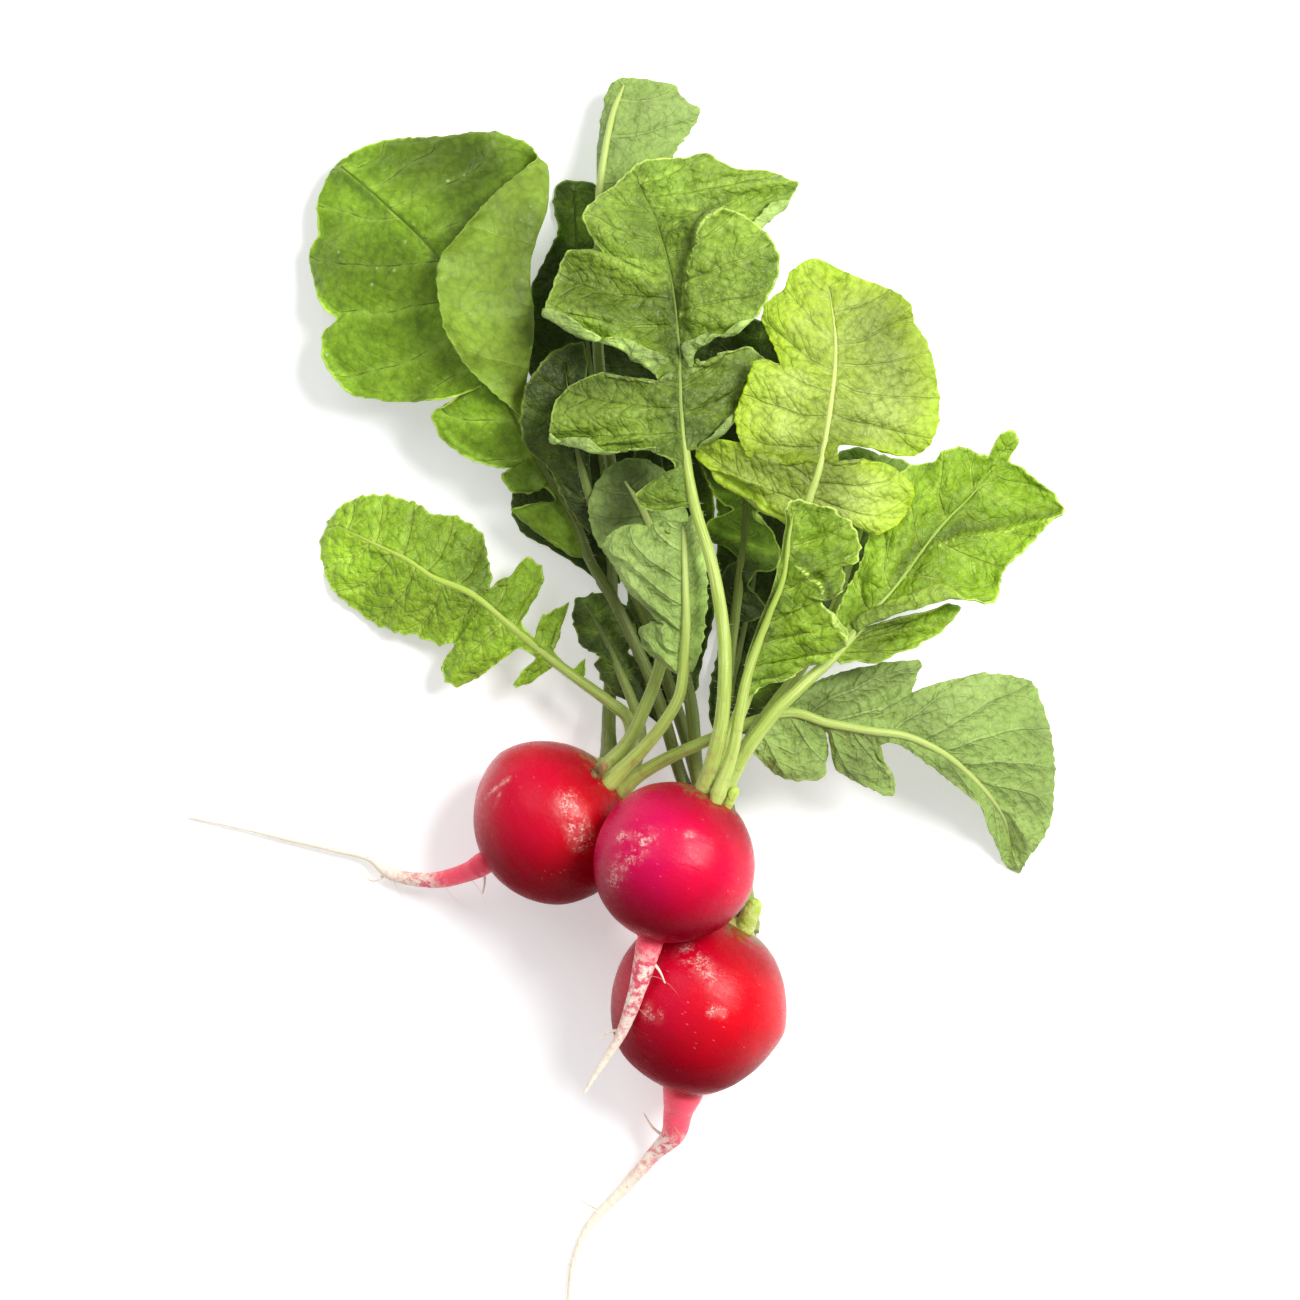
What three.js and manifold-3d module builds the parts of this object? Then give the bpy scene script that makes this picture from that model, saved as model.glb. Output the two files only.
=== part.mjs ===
// A bunch of three red radishes that lies on a table, with its leaves still on.
// Millimetres, +Z up. The origin is on the table, under the middle of the bunch.
// Each root (bulb and tail) is one solid, and so is each leaf with its stalk.

import * as THREE from 'three';
import { mergeVertices } from 'three/addons/utils/BufferGeometryUtils.js';
import Module from 'manifold-3d';

const wasm = await Module();
wasm.setup();

// Driving dimensions
const BLADE = 0.7; // thickness of a leaf blade
const BLADE_LOW = 0.25; // height of a blade's middle where it lies on the table
const STALK_BASE = 1.5; // stalk radius at the crown
const STALK_END = 1.1; // stalk radius where the blade begins
const RIB_END = 0.45; // midrib radius at the leaf's tip
const STALK_EDGE = 0.5; // flank of a stalk, as a share of its height
const LEAF_STEP = 4.5; // spacing of the rays along a leaf's margin
const TOOTH = 0.45; // how far the margin's waves go in and out
const RIPPLE = 0.05; // rise and fall of the margin, as a share of its reach
const RIPPLE_TURN = 2.3; // turn of that wave from one ray of the list to the next, in radians
const ARCH = 0.05; // how far a blade bows up between rib and margin, as a share of its reach
const ARCH_PLACE = 0.55; // where it bows most, from rib to margin
const TAUT = 0.36; // tension of the curves through a margin's points
const SMOOTH = 0.5; // tension of the curves through the points of a rib or a tail
const RIB_STEP = 0.5; // step along a midrib's list of points
const WAVY_REACH = 4; // a blade is toothed and wavy where it reaches this many rib radii
const BARE_REACH = 1.3; // and a stalk is bare where it reaches less than this many
const FLAT_SPOT = 0.3; // depth of the flat that a bulb rests on
const CROWN_RADIUS = 3.2; // flat end of a bulb, where its stalks stand
const BULB_SIDES = 28;
const BULB_RINGS = 13;
const TAIL_SIDES = 7;
const ROOTLET_SIDES = 4;
const LIMB_STEPS = 2; // rings from one point of a tail's path to the next
const TABLE_SIZE = 400; // of the block that cuts the flat spots

const RED = 0xb8142b;
const MAGENTA = 0xb3124a;
const MID_GREEN = 0x5f9a2c;
const DARK_GREEN = 0x3c6a26;
const BRIGHT_GREEN = 0x7db92f;
const YELLOW_GREEN = 0xa9cc3a;
const GREY_GREEN = 0x8fb079;
const PALE_GREEN = 0xb5cf7a;
const DRY_BROWN = 0x7b5a33;
const ROOT_ROUGHNESS = 0.35;
const LEAF_ROUGHNESS = 0.7;

const bunch = new THREE.Group();

// ---------- solids ----------

// A closed geometry as a solid that can be joined and cut.
function solidOf(geometry) {
  const bare = geometry.clone();
  bare.deleteAttribute('normal');
  bare.deleteAttribute('uv');
  const merged = mergeVertices(bare, 1e-4);
  return new wasm.Manifold(new wasm.Mesh({
    numProp: 3,
    vertProperties: new Float32Array(merged.attributes.position.array),
    triVerts: new Uint32Array(merged.index.array),
  }));
}

// Corner points and triangles as a geometry.
function geometryOf(positions, triangles) {
  const geometry = new THREE.BufferGeometry();
  geometry.setAttribute('position', new THREE.Float32BufferAttribute(positions, 3));
  geometry.setIndex(Array.from(triangles));
  geometry.computeVertexNormals();
  return geometry;
}

function addPiece(name, geometry, colour, roughness) {
  const material = new THREE.MeshStandardMaterial({ color: colour, roughness, metalness: 0 });
  const mesh = new THREE.Mesh(geometry, material);
  mesh.name = name;
  bunch.add(mesh);
}

function curveThrough(points, tension) {
  const stops = points.map(([x, y, z]) => new THREE.Vector3(x, y, z));
  return new THREE.CatmullRomCurve3(stops, false, 'catmullrom', tension);
}

// ---------- roots ----------

// A closed round limb along a path, with its radius given at each of the path's points.
function limb(points, radii, sides) {
  const path = curveThrough(points, SMOOTH);
  const steps = (points.length - 1) * LIMB_STEPS;
  const frames = path.computeFrenetFrames(steps, false);
  const length = points.length - 1;
  const positions = [];
  const triangles = [];
  for (let i = 0; i <= steps; i += 1) {
    const centre = path.getPointAt(i / steps);
    const place = path.getUtoTmapping(i / steps) * length;
    const before = Math.min(Math.floor(place), length - 1);
    const radius = THREE.MathUtils.lerp(radii[before], radii[before + 1], place - before);
    for (let k = 0; k < sides; k += 1) {
      const angle = (2 * Math.PI * k) / sides;
      const point = centre.clone()
        .addScaledVector(frames.normals[i], radius * Math.cos(angle))
        .addScaledVector(frames.binormals[i], radius * Math.sin(angle));
      positions.push(point.x, point.y, point.z);
    }
  }
  for (let i = 0; i < steps; i += 1) {
    for (let k = 0; k < sides; k += 1) {
      const a = i * sides + k;
      const b = i * sides + ((k + 1) % sides);
      triangles.push(a, b, b + sides, a, b + sides, a + sides);
    }
  }
  const end = steps * sides;
  for (let k = 1; k < sides - 1; k += 1) {
    triangles.push(0, k + 1, k);
    triangles.push(end, end + k, end + k + 1);
  }
  return geometryOf(positions, triangles);
}

// A bulb: round across, a little shorter along its axis, with a small flat crown.
function bulb({ centre, axis, radius, halfLength }) {
  const crownAngle = Math.acos(CROWN_RADIUS / radius);
  const profile = [new THREE.Vector2(0, -halfLength)];
  for (let i = 1; i <= BULB_RINGS; i += 1) {
    const angle = THREE.MathUtils.lerp(-Math.PI / 2, crownAngle, i / BULB_RINGS);
    profile.push(new THREE.Vector2(radius * Math.cos(angle), halfLength * Math.sin(angle)));
  }
  profile.push(new THREE.Vector2(0, halfLength * Math.sin(crownAngle)));
  const geometry = new THREE.LatheGeometry(profile, BULB_SIDES);
  const turn = new THREE.Quaternion().setFromUnitVectors(
    new THREE.Vector3(0, 1, 0),
    new THREE.Vector3(...axis).normalize(),
  );
  geometry.applyQuaternion(turn);
  geometry.translate(...centre);
  return geometry;
}

function addRoot({ name, colour, tail, rootlets, ...shape }) {
  let solid = solidOf(bulb(shape)).add(solidOf(limb(tail.path, tail.radii, TAIL_SIDES)));
  for (const rootlet of rootlets) {
    solid = solid.add(solidOf(limb(rootlet.path, rootlet.radii, ROOTLET_SIDES)));
  }
  const table = new THREE.BoxGeometry(TABLE_SIZE, TABLE_SIZE, TABLE_SIZE);
  table.translate(0, 0, -TABLE_SIZE / 2);
  const cut = solid.subtract(solidOf(table)).getMesh();
  addPiece(name, geometryOf(cut.vertProperties, cut.triVerts), colour, ROOT_ROUGHNESS);
}

// ---------- leaves ----------

// The middle surface of a leaf, in one list of points with half the leaf's thickness at each.
class Sheet {
  constructor() {
    this.points = [];
    this.halves = [];
    this.triangles = [];
    this.known = new Map();
  }

  add(point, half) {
    const key = point.toArray().map((value) => value.toFixed(3)).join();
    if (!this.known.has(key)) {
      this.known.set(key, this.points.length);
      this.points.push(point.clone());
      this.halves.push(half);
    }
    return this.known.get(key);
  }

  triangle(a, b, c, turned) {
    if (a === b || b === c || c === a) return;
    this.triangles.push(turned ? [a, c, b] : [a, b, c]);
  }

  // Triangles between two rows of points, each in step with its own rising parameter.
  zip(first, second, turned) {
    let i = 0;
    let j = 0;
    while (i < first.length - 1 || j < second.length - 1) {
      const stepsFirst = j === second.length - 1
        || (i < first.length - 1 && first[i + 1].t <= second[j + 1].t);
      if (stepsFirst) {
        this.triangle(first[i].index, first[i + 1].index, second[j].index, turned);
        i += 1;
      } else {
        this.triangle(first[i].index, second[j + 1].index, second[j].index, turned);
        j += 1;
      }
    }
  }

  // The leaf as a closed solid: both faces have the same triangles, and a wall joins them.
  solid() {
    const normals = this.points.map(() => new THREE.Vector3());
    const corner = new THREE.Triangle();
    const normal = new THREE.Vector3();
    for (const [a, b, c] of this.triangles) {
      corner.set(this.points[a], this.points[b], this.points[c]);
      corner.getNormal(normal).multiplyScalar(corner.getArea());
      for (const index of [a, b, c]) normals[index].add(normal);
    }
    const positions = [];
    for (const side of [1, -1]) {
      this.points.forEach((point, index) => {
        const offset = normals[index].clone().normalize().multiplyScalar(side * this.halves[index]);
        const { x, y, z } = point.clone().add(offset);
        positions.push(x, y, Math.max(z, 0));
      });
    }
    const count = this.points.length;
    const triangles = [];
    const rim = new Map();
    for (const [a, b, c] of this.triangles) {
      triangles.push(a, b, c, count + a, count + c, count + b);
      for (const [from, to] of [[a, b], [b, c], [c, a]]) {
        if (!rim.delete(`${to},${from}`)) rim.set(`${from},${to}`, [from, to]);
      }
    }
    for (const [from, to] of rim.values()) {
      triangles.push(to, from, count + from, to, count + from, count + to);
    }
    return geometryOf(positions, triangles);
  }
}

// How far apart two rays end, seen from above.
function marginGap(ray, next) {
  const [x, y] = ray.slice(-3);
  const [nextX, nextY] = next.slice(-3);
  return Math.hypot(nextX - x, nextY - y);
}

// The line of a leaf's stalk and midrib, and its radius. t counts along the points of the list.
class Rib {
  constructor(points, bladeStart, stalk) {
    this.curve = curveThrough(points, SMOOTH);
    this.tip = points.length - 1;
    this.bladeStart = bladeStart;
    this.stalk = stalk;
  }

  at(t) {
    return this.curve.getPoint(t / this.tip);
  }

  radius(t) {
    if (t < this.bladeStart) return THREE.MathUtils.lerp(this.stalk, STALK_END, t / this.bladeStart);
    const alongBlade = (t - this.bladeStart) / (this.tip - this.bladeStart);
    return THREE.MathUtils.lerp(STALK_END, RIB_END, alongBlade);
  }

  // A point on the stalk's flank, side 1 to the left and -1 to the right.
  flank(t, side) {
    const along = this.curve.getTangent(t / this.tip);
    const aside = new THREE.Vector3(-along.y, along.x, 0).normalize();
    return this.at(t).addScaledVector(aside, side * this.radius(t));
  }
}

// One row of a blade's points, from the midrib to the margin, by way of the places in stops.
function bladeRow(sheet, rib, t, stops, bow) {
  const root = rib.at(t);
  const thick = rib.radius(t);
  const reach = Math.hypot(stops[0].x - root.x, stops[0].y - root.y);
  const bare = reach < BARE_REACH * thick;
  let from = root.clone().lerp(stops[0], Math.min(1, thick / root.distanceTo(stops[0])));
  const columns = [sheet.add(from, bare ? Math.max(BLADE / 2, thick * STALK_EDGE) : BLADE / 2)];
  stops.forEach((stop, k) => {
    const middle = from.clone().lerp(stop, ARCH_PLACE);
    if (k === 0) middle.z = Math.max(middle.z + bow * reach, BLADE_LOW);
    for (const point of [middle, stop]) {
      columns.push(bare ? columns[0] : sheet.add(point, BLADE / 2));
    }
    from = stop;
  });
  return { t, columns };
}

// The rows of one side of a leaf: its bare stalk, and then its blade with a toothed, wavy margin.
function sideRows(sheet, rib, rays, side, bow) {
  const places = (rays[0].length - 1) / 3;
  const contours = [];
  for (let k = 0; k < places; k += 1) {
    contours.push(curveThrough(rays.map((ray) => ray.slice(1 + 3 * k, 4 + 3 * k)), TAUT));
  }
  const rows = [];
  for (let t = 0; t < Math.floor(rays[0][0]); t += 1) {
    const index = sheet.add(rib.flank(t, side), rib.radius(t) * STALK_EDGE);
    rows.push({ t, columns: new Array(places * 2 + 1).fill(index) });
  }
  let tooth = TOOTH;
  rays.forEach((ray, i) => {
    const next = rays[i + 1];
    const parts = next ? Math.max(1, Math.round(marginGap(ray, next) / LEAF_STEP)) : 1;
    for (let part = 0; part < parts; part += 1) {
      const place = i + part / parts;
      const t = next ? THREE.MathUtils.lerp(ray[0], next[0], part / parts) : ray[0];
      const root = rib.at(t);
      const stops = contours.map((curve) => curve.getPoint(place / (rays.length - 1)));
      const margin = stops[places - 1];
      const reach = Math.hypot(stops[0].x - root.x, stops[0].y - root.y);
      tooth = -tooth;
      if (reach > WAVY_REACH * rib.radius(t)) {
        margin.z += RIPPLE * reach * Math.sin(RIPPLE_TURN * place);
        margin.x += (tooth * (margin.x - root.x)) / reach;
        margin.y += (tooth * (margin.y - root.y)) / reach;
      }
      for (const stop of stops) stop.z = Math.max(stop.z + root.z, BLADE_LOW);
      rows.push(bladeRow(sheet, rib, t, stops, bow));
    }
  });
  return rows;
}

// A leaf is laid out on its rib, a list of [x, y, z] from the crown to the tip. Each side is a list
// of rays [t, x, y, rise, ...]: t counts along the rib's points, and each x, y, rise is a place that
// the ray reaches, with its height above the rib. The last one is the margin, and a ray with more
// than one place turns at the others, as in a fold.
function addLeaf({ name, colour, rib: points, left, right, arch = [ARCH, ARCH], stalk = STALK_BASE }) {
  const sheet = new Sheet();
  const rib = new Rib(points, Math.min(left[0][0], right[0][0]), stalk);
  const spine = [];
  for (let t = 0; t <= rib.tip; t += t < Math.floor(rib.bladeStart) ? 1 : RIB_STEP) {
    spine.push({ t, index: sheet.add(rib.at(t), rib.radius(t)) });
  }
  const lastRows = [[left, 1, arch[0]], [right, -1, arch[1]]].map(([rays, side, bow]) => {
    const turned = side < 0;
    const rows = sideRows(sheet, rib, rays, side, bow);
    sheet.zip(spine, rows.map((row) => ({ t: row.t, index: row.columns[0] })), turned);
    for (let j = 1; j < rows.length; j += 1) {
      for (let k = 1; k < rows[j].columns.length; k += 1) {
        const a = rows[j - 1].columns[k - 1];
        const b = rows[j].columns[k - 1];
        const c = rows[j].columns[k];
        const d = rows[j - 1].columns[k];
        sheet.triangle(a, b, c, turned);
        sheet.triangle(a, c, d, turned);
      }
    }
    return [spine[spine.length - 1].index, ...rows[rows.length - 1].columns]
      .map((index, k, all) => ({ t: k / (all.length - 1), index }));
  });
  sheet.zip(lastRows[0], lastRows[1], true);
  addPiece(name, sheet.solid(), colour, LEAF_ROUGHNESS);
}


addRoot({
  name: 'root_1',
  colour: RED,
  centre: [-14.8, -22.8, 17 - FLAT_SPOT],
  axis: [0.75, 0.66, 0.08],
  radius: 17,
  halfLength: 15.2,
  tail: {
    path: [
      [-24.6, -28.8, 15.6], [-28.2, -31.2, 14.6], [-31.4, -33, 12.6], [-39.2, -34.8, 7.2],
      [-47.2, -33.4, 3.2], [-51.2, -30.4, 2.4], [-59.2, -28.4, 2.2], [-73.2, -25.2, 1.6],
      [-87.2, -22.2, 0.8],
    ],
    radii: [4, 2.4, 1.8, 1.6, 1.3, 0.9, 0.7, 0.55, 0.4],
  },
  rootlets: [
    { path: [[-28.6, -31.6, 14], [-28.2, -34.8, 11], [-28.6, -37.4, 8.5]], radii: [0.5, 0.4, 0.35] },
    { path: [[-47.4, -33.2, 3], [-50, -34.8, 2], [-52.6, -34.4, 1]], radii: [0.5, 0.4, 0.35] },
  ],
});

addRoot({
  name: 'root_2',
  colour: MAGENTA,
  centre: [9.8, -31, 37.3],
  axis: [0.45, 0.89, 0.05],
  radius: 16.2,
  halfLength: 15.8,
  tail: {
    path: [
      [6.4, -42.6, 36.7], [4.8, -46.8, 36.3], [3.6, -51.2, 35], [2.4, -55.8, 33.4],
      [-0.8, -64.8, 29.4], [-5.2, -72, 26.2], [-8.2, -76.8, 24.6],
    ],
    radii: [4, 2.6, 2.2, 1.7, 1.1, 0.7, 0.4],
  },
  rootlets: [
    { path: [[4.2, -49.4, 35.6], [6.6, -52.4, 35.2], [7.8, -55, 35]], radii: [0.5, 0.4, 0.35] },
    { path: [[-0.6, -64.4, 29.4], [-3.4, -64.8, 27.6], [-5.8, -66.6, 26]], radii: [0.5, 0.4, 0.35] },
  ],
});

addRoot({
  name: 'root_3',
  colour: RED,
  centre: [14.8, -59.2, 17.8 - FLAT_SPOT],
  axis: [0.456, 0.89, 0.03],
  radius: 17.8,
  halfLength: 17.4,
  tail: {
    path: [
      [13.2, -70.4, 17], [11.6, -75.8, 15.6], [10.4, -80.8, 12.8], [9.4, -85.4, 9.8], [5.8, -89.4, 6.8],
      [-0.2, -96.2, 3.6], [-7.2, -103.8, 1.8], [-10.2, -110.8, 1.3], [-11.2, -118.8, 1], [-10.4, -126.2, 0.7],
    ],
    radii: [6, 3.6, 2.9, 2.4, 1.6, 1.3, 1, 0.8, 0.6, 0.4],
  },
  rootlets: [
    { path: [[8.6, -86.4, 8.8], [5.6, -84.4, 8], [3.6, -81.4, 7.2]], radii: [0.5, 0.4, 0.35] },
    { path: [[-4.4, -100.8, 2.4], [-7.6, -99.6, 1.4], [-10.6, -97, 0.8]], radii: [0.5, 0.4, 0.35] },
  ],
});

// Stumps of stalks that have dried or torn off, each standing just clear of its crown.
function addStump(name, path, radii, colour) {
  addPiece(name, limb(path, radii, TAIL_SIDES), colour, LEAF_ROUGHNESS);
}

addStump('stump_1', [[-5.8, -13.4, 26.2], [-4.6, -12.2, 27.6], [-3.8, -11, 28.2]], [1.2, 1, 0.6], DRY_BROWN);
addStump('stump_2', [[20.5, -18.7, 41.4], [21.3, -17.2, 42.2], [22, -16, 42.6]], [1.1, 1.1, 0.8], PALE_GREEN);
addStump('stump_3', [[23.9, -43.6, 20.8], [25, -41, 22], [26.2, -38.4, 22.6]], [1.9, 1.8, 1.3], PALE_GREEN);

// Broad fan-shaped leaf, its right half folded back over itself.
addLeaf({
  name: 'leaf_3_fan',
  colour: MID_GREEN,
  rib: [
    [21.2, -42, 13], [17.8, -32.4, 11.5], [13.6, -19.8, 10.5], [10.6, -12.8, 10.5],
    [5.8, 3.2, 12], [-2, 20.2, 13.5], [-7, 28.8, 14.5], [-10, 36.4, 15.5], [-15, 44.4, 17.5],
    [-19.2, 51.6, 20], [-24.2, 62.2, 22], [-29.6, 77.2, 23], [-38, 90, 22], [-48.2, 100.2, 17],
    [-56.8, 107.6, 10],
  ],
  left: [
    [6, -7.6, 29.4, 0], [6.2, -13.2, 31.4, -1.5], [6.6, -19.2, 35.6, -3], [7, -23, 39, -4],
    [7.3, -19.2, 40.2, -2.5], [7.7, -14, 40.8, -0.5], [8, -16.2, 43.6, -0.3],
    [8.15, -19.6, 42.2, -1.5], [8.3, -23.6, 43.6, -3], [8.5, -25.2, 46.4, -3],
    [8.8, -21.6, 48.4, -1.5], [9, -25.2, 47.4, -3], [9.3, -31.6, 49.2, -4.5],
    [9.6, -36.6, 53.2, -6], [9.9, -38.8, 58.2, -6], [10.2, -33.6, 61.6, -4],
    [10.4, -28.8, 63.6, -1], [10.6, -35.6, 61, -4], [10.8, -45.4, 60.6, -7],
    [11, -55, 62.2, -10], [11.3, -60.6, 68.6, -13], [11.5, -60.2, 74.2, -13],
    [11.65, -57.8, 77, -11.5], [11.8, -61, 80, -13], [12.1, -63.4, 88.8, -15],
    [12.6, -61.6, 93.8, -14], [13, -62, 99.8, -11], [13.5, -60.4, 104, -8],
    [14, -58.8, 107.2, -5],
  ],
  right: [
    [9.5, -20, 56.2, 0.3, -19.8, 56.4, 0.8, -20, 57.2, 1.2],
    [10, -19.6, 61.8, 0.5, -19.4, 62, 2.2, -25.6, 61.6, 3.6],
    [10.4, -19.2, 68.8, 0.6, -19, 69.2, 3.2, -32, 67.8, 5],
    [10.8, -19, 76.2, 0.6, -18.8, 76.6, 4, -36.2, 75, 6],
    [11.2, -19, 83.2, 0.4, -18.6, 83.6, 4.4, -37.6, 82.8, 6.6],
    [11.6, -18.4, 90.2, -0.4, -18, 90.6, 4, -37.2, 88.8, 6.6],
    [12, -17.2, 97.2, -1.2, -16.8, 97.6, 3, -30.8, 97.2, 6],
    [12.4, -16.6, 103.2, -2.2, -16.2, 103.6, 1.6, -24.8, 103.4, 4.6],
    [12.7, -16.8, 108, -3, -16.4, 108.4, -0.6, -18, 109.2, 1.6],
    [12.9, -24.2, 107.6, -2.6, -21.2, 110.2, -3, -19, 112, -3.2],
    [13.1, -31.2, 109.6, -2.6, -28.2, 112.6, -3.4, -26.4, 115, -4],
    [13.4, -38, 109.8, -2.4, -36.4, 112.4, -3.4, -35.2, 114, -4],
    [13.7, -45.6, 109.8, -2, -44.8, 112, -3, -44.6, 113.6, -3.6],
    [14, -50.8, 109.8, -1.5, -50, 111.4, -2, -49.4, 112.6, -2.6],
    [14, -55.2, 109, -1, -55.2, 109.6, -1.4, -55.2, 110.4, -2],
  ],
});

// Tall leaf that shows its pale underside.
addLeaf({
  name: 'leaf_3_tall',
  colour: GREY_GREEN,
  rib: [
    [22.6, -41.6, 16.8], [19.2, -32.4, 15], [16, -20.8, 13], [14, -11.8, 12.5], [12.8, 1.2, 13],
    [8.4, 16.2, 15], [2, 32.2, 16.5], [-2.8, 47.2, 17], [-4.6, 61.2, 17], [-5.6, 72.8, 17],
    [-5.4, 89.2, 16], [-5.2, 103.2, 15], [-3, 116.8, 12], [-0.4, 124, 8],
  ],
  left: [
    [10.6, -5.8, 98.2, -0.5], [11.2, -5.8, 105.2, -2], [11.6, -5.8, 111.4, -3],
    [12, -5.2, 118.4, -3], [12.6, -3.8, 122.8, -2], [13, -1.4, 125.4, -1],
  ],
  right: [
    [9.3, -4, 77.2, 0], [9.8, 2.4, 81.2, -1], [10.3, 7.6, 90.2, -1.5], [10.9, 9.2, 101.2, -1.5],
    [11.4, 9.8, 109.8, -2], [11.8, 12.6, 114.2, -2.5], [12.1, 15.2, 118.6, -3],
    [12.4, 12.4, 120.6, -2.5], [12.8, 10.2, 124, -3], [13, 6.4, 125.2, -2],
    [13, 2.4, 125.6, -1.2],
  ],
});

// Dark leaf at the bottom of the pile.
addLeaf({
  name: 'leaf_1_rear',
  colour: DARK_GREEN,
  rib: [
    [-3.4, -10.6, 15], [-3.4, -1.8, 7.2], [-3, 11.2, 4.2], [-2.8, 27.2, 2.6], [-4.4, 45.2, 2],
    [-6.4, 61.2, 2.2], [-8.2, 77.2, 2.4], [-9.8, 92.2, 2.2], [-10.4, 103.2, 1.6],
  ],
  left: [
    [2.8, -4.8, 22.8, -0.2], [2.95, -7.2, 26.2, -0.6], [3.1, -11.2, 29, -0.8],
    [3.25, -16.2, 31.8, -1], [3.45, -20.8, 34.6, -1.1], [3.7, -23.2, 38.8, -1.2],
    [4, -22.4, 44, -1.2], [4.35, -19.6, 50, -1.3], [4.7, -18.2, 56.2, -1.4],
    [5.1, -18.8, 62.8, -1.4], [5.45, -20, 68.8, -1.5], [5.8, -20.4, 74.2, -1.6],
    [6.3, -19.2, 83.2, -1.6], [6.8, -16.2, 90.2, -1.6], [7.2, -13.6, 94.8, -1.4],
    [7.6, -14.4, 100.2, -1.4], [8, -14, 104, -1.2],
  ],
  right: [
    [2.9, -1.4, 24.4, -0.5], [3.05, 0.6, 27.6, -1], [3.3, 2.4, 32.2, -1.1], [3.6, 2.8, 37.6, -1],
    [4, 2.8, 43.6, -1], [4.4, 3.2, 50.2, -1], [4.8, 4.8, 55.2, -1], [5.2, 7.6, 61.2, -1.2],
    [5.6, 8.4, 67.6, -1.2], [6, 7.2, 75.2, -1.2], [6.4, 4, 82, -1.2], [6.8, -0.8, 88, -1],
    [7.1, -4.8, 92.2, -1], [7.5, -5.6, 98.2, -1.2], [8, -5.8, 104.4, -1.2], [8, -10, 105.2, -1],
  ],
});

// Upright dark leaf left of the middle.
addLeaf({
  name: 'leaf_3_dark',
  colour: DARK_GREEN,
  rib: [
    [21.4, -43.2, 9.4], [19.2, -32.8, 7], [15.6, -19.8, 5.6], [12.4, -7.8, 5.4], [7.2, 8.2, 7],
    [2.4, 21.2, 11], [-3.6, 32.2, 17], [-6.8, 40.2, 21], [-9.6, 50.2, 24.5], [-11.2, 60.2, 26.5],
    [-12.2, 68, 26],
  ],
  left: [
    [6.4, -7.2, 34.4, -0.2], [6.9, -12, 40, -0.6], [7.4, -15.4, 47.6, 0], [8, -20.4, 52.2, 1],
    [8.5, -21.2, 57.4, 2], [9, -20.4, 63, 2.6], [9.5, -17.6, 67.6, 2.6], [10, -14.6, 70.8, 1],
  ],
  right: [
    [6.4, -4.6, 35.2, -0.2], [7.2, -6.6, 45.2, -0.2], [8, -7.2, 53.2, 0.2], [9, -7.6, 62.2, 0.6],
    [9.6, -7.6, 69.2, 0.4], [10, -8.8, 72.6, 0.2],
  ],
});

// Mottled leaf in the middle of the pile.
addLeaf({
  name: 'leaf_1_inner',
  colour: GREY_GREEN,
  rib: [
    [-4.2, -12.4, 22], [0.4, -7.2, 24], [3.4, -1.2, 26], [6.8, 8.2, 27.5], [8.4, 19.2, 28],
    [7.2, 29.2, 28], [3.8, 38.2, 27], [-0.2, 44.8, 25],
  ],
  left: [
    [4.6, 6, 24.2, -0.2], [5.1, -0.2, 25.8, -1.6], [5.5, -4, 30, -2.2], [6, -6.8, 34.4, -2.4],
    [6.3, -7.8, 39.6, -2.2], [6.7, -6.8, 43.8, -2], [7, -4.2, 46.8, -1.5],
  ],
  right: [
    [4.6, 10, 24.2, -0.2], [5.2, 13.4, 29.2, -1], [5.7, 13, 36.8, -1], [6.2, 10.8, 42.8, -1],
    [6.7, 7.6, 47.2, -1], [7, 3.2, 49.4, -1], [7, -0.8, 49.2, -1],
  ],
});

// Leaf in front of the middle, pale underside up.
addLeaf({
  name: 'leaf_1_front',
  colour: GREY_GREEN,
  rib: [
    [-3.2, -15, 24.5], [-0.4, -12.2, 26.5], [4, -7.8, 30], [8.2, -2.4, 34], [10.8, 2.8, 37],
    [11.6, 10.2, 39.5], [12, 17.2, 41], [11.8, 25.2, 41.5], [11.6, 32.2, 40.5],
    [11.4, 35.8, 39.5],
  ],
  left: [
    [4.4, 9.4, 7, -0.3], [4.65, 5.8, 10, -1.6], [4.9, 3.2, 12, -2.2], [5.1, 2.4, 15.8, -2.4],
    [5.5, 6.2, 17.4, -1.2], [5.9, 2.8, 20.4, -2], [6.3, -0.2, 23, -3], [6.8, -3, 28.8, -4],
    [7.3, -4.6, 32, -4.5], [7.8, -2.8, 35, -4], [8.2, 1.6, 36.4, -2.5], [8.5, 4, 35, -2],
    [8.8, 6, 36.8, -1.5], [9, 8.8, 36.4, -1],
  ],
  right: [
    [4.6, 13.2, 6.8, -0.5], [5.2, 15, 10.8, -1], [5.8, 16, 15.2, -1.6], [6.5, 16.4, 21.2, -2],
    [7.2, 16.4, 27.2, -2], [7.9, 16, 33.2, -2], [8.6, 15.4, 38.8, -2], [9, 13.2, 37, -1],
  ],
});

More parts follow.
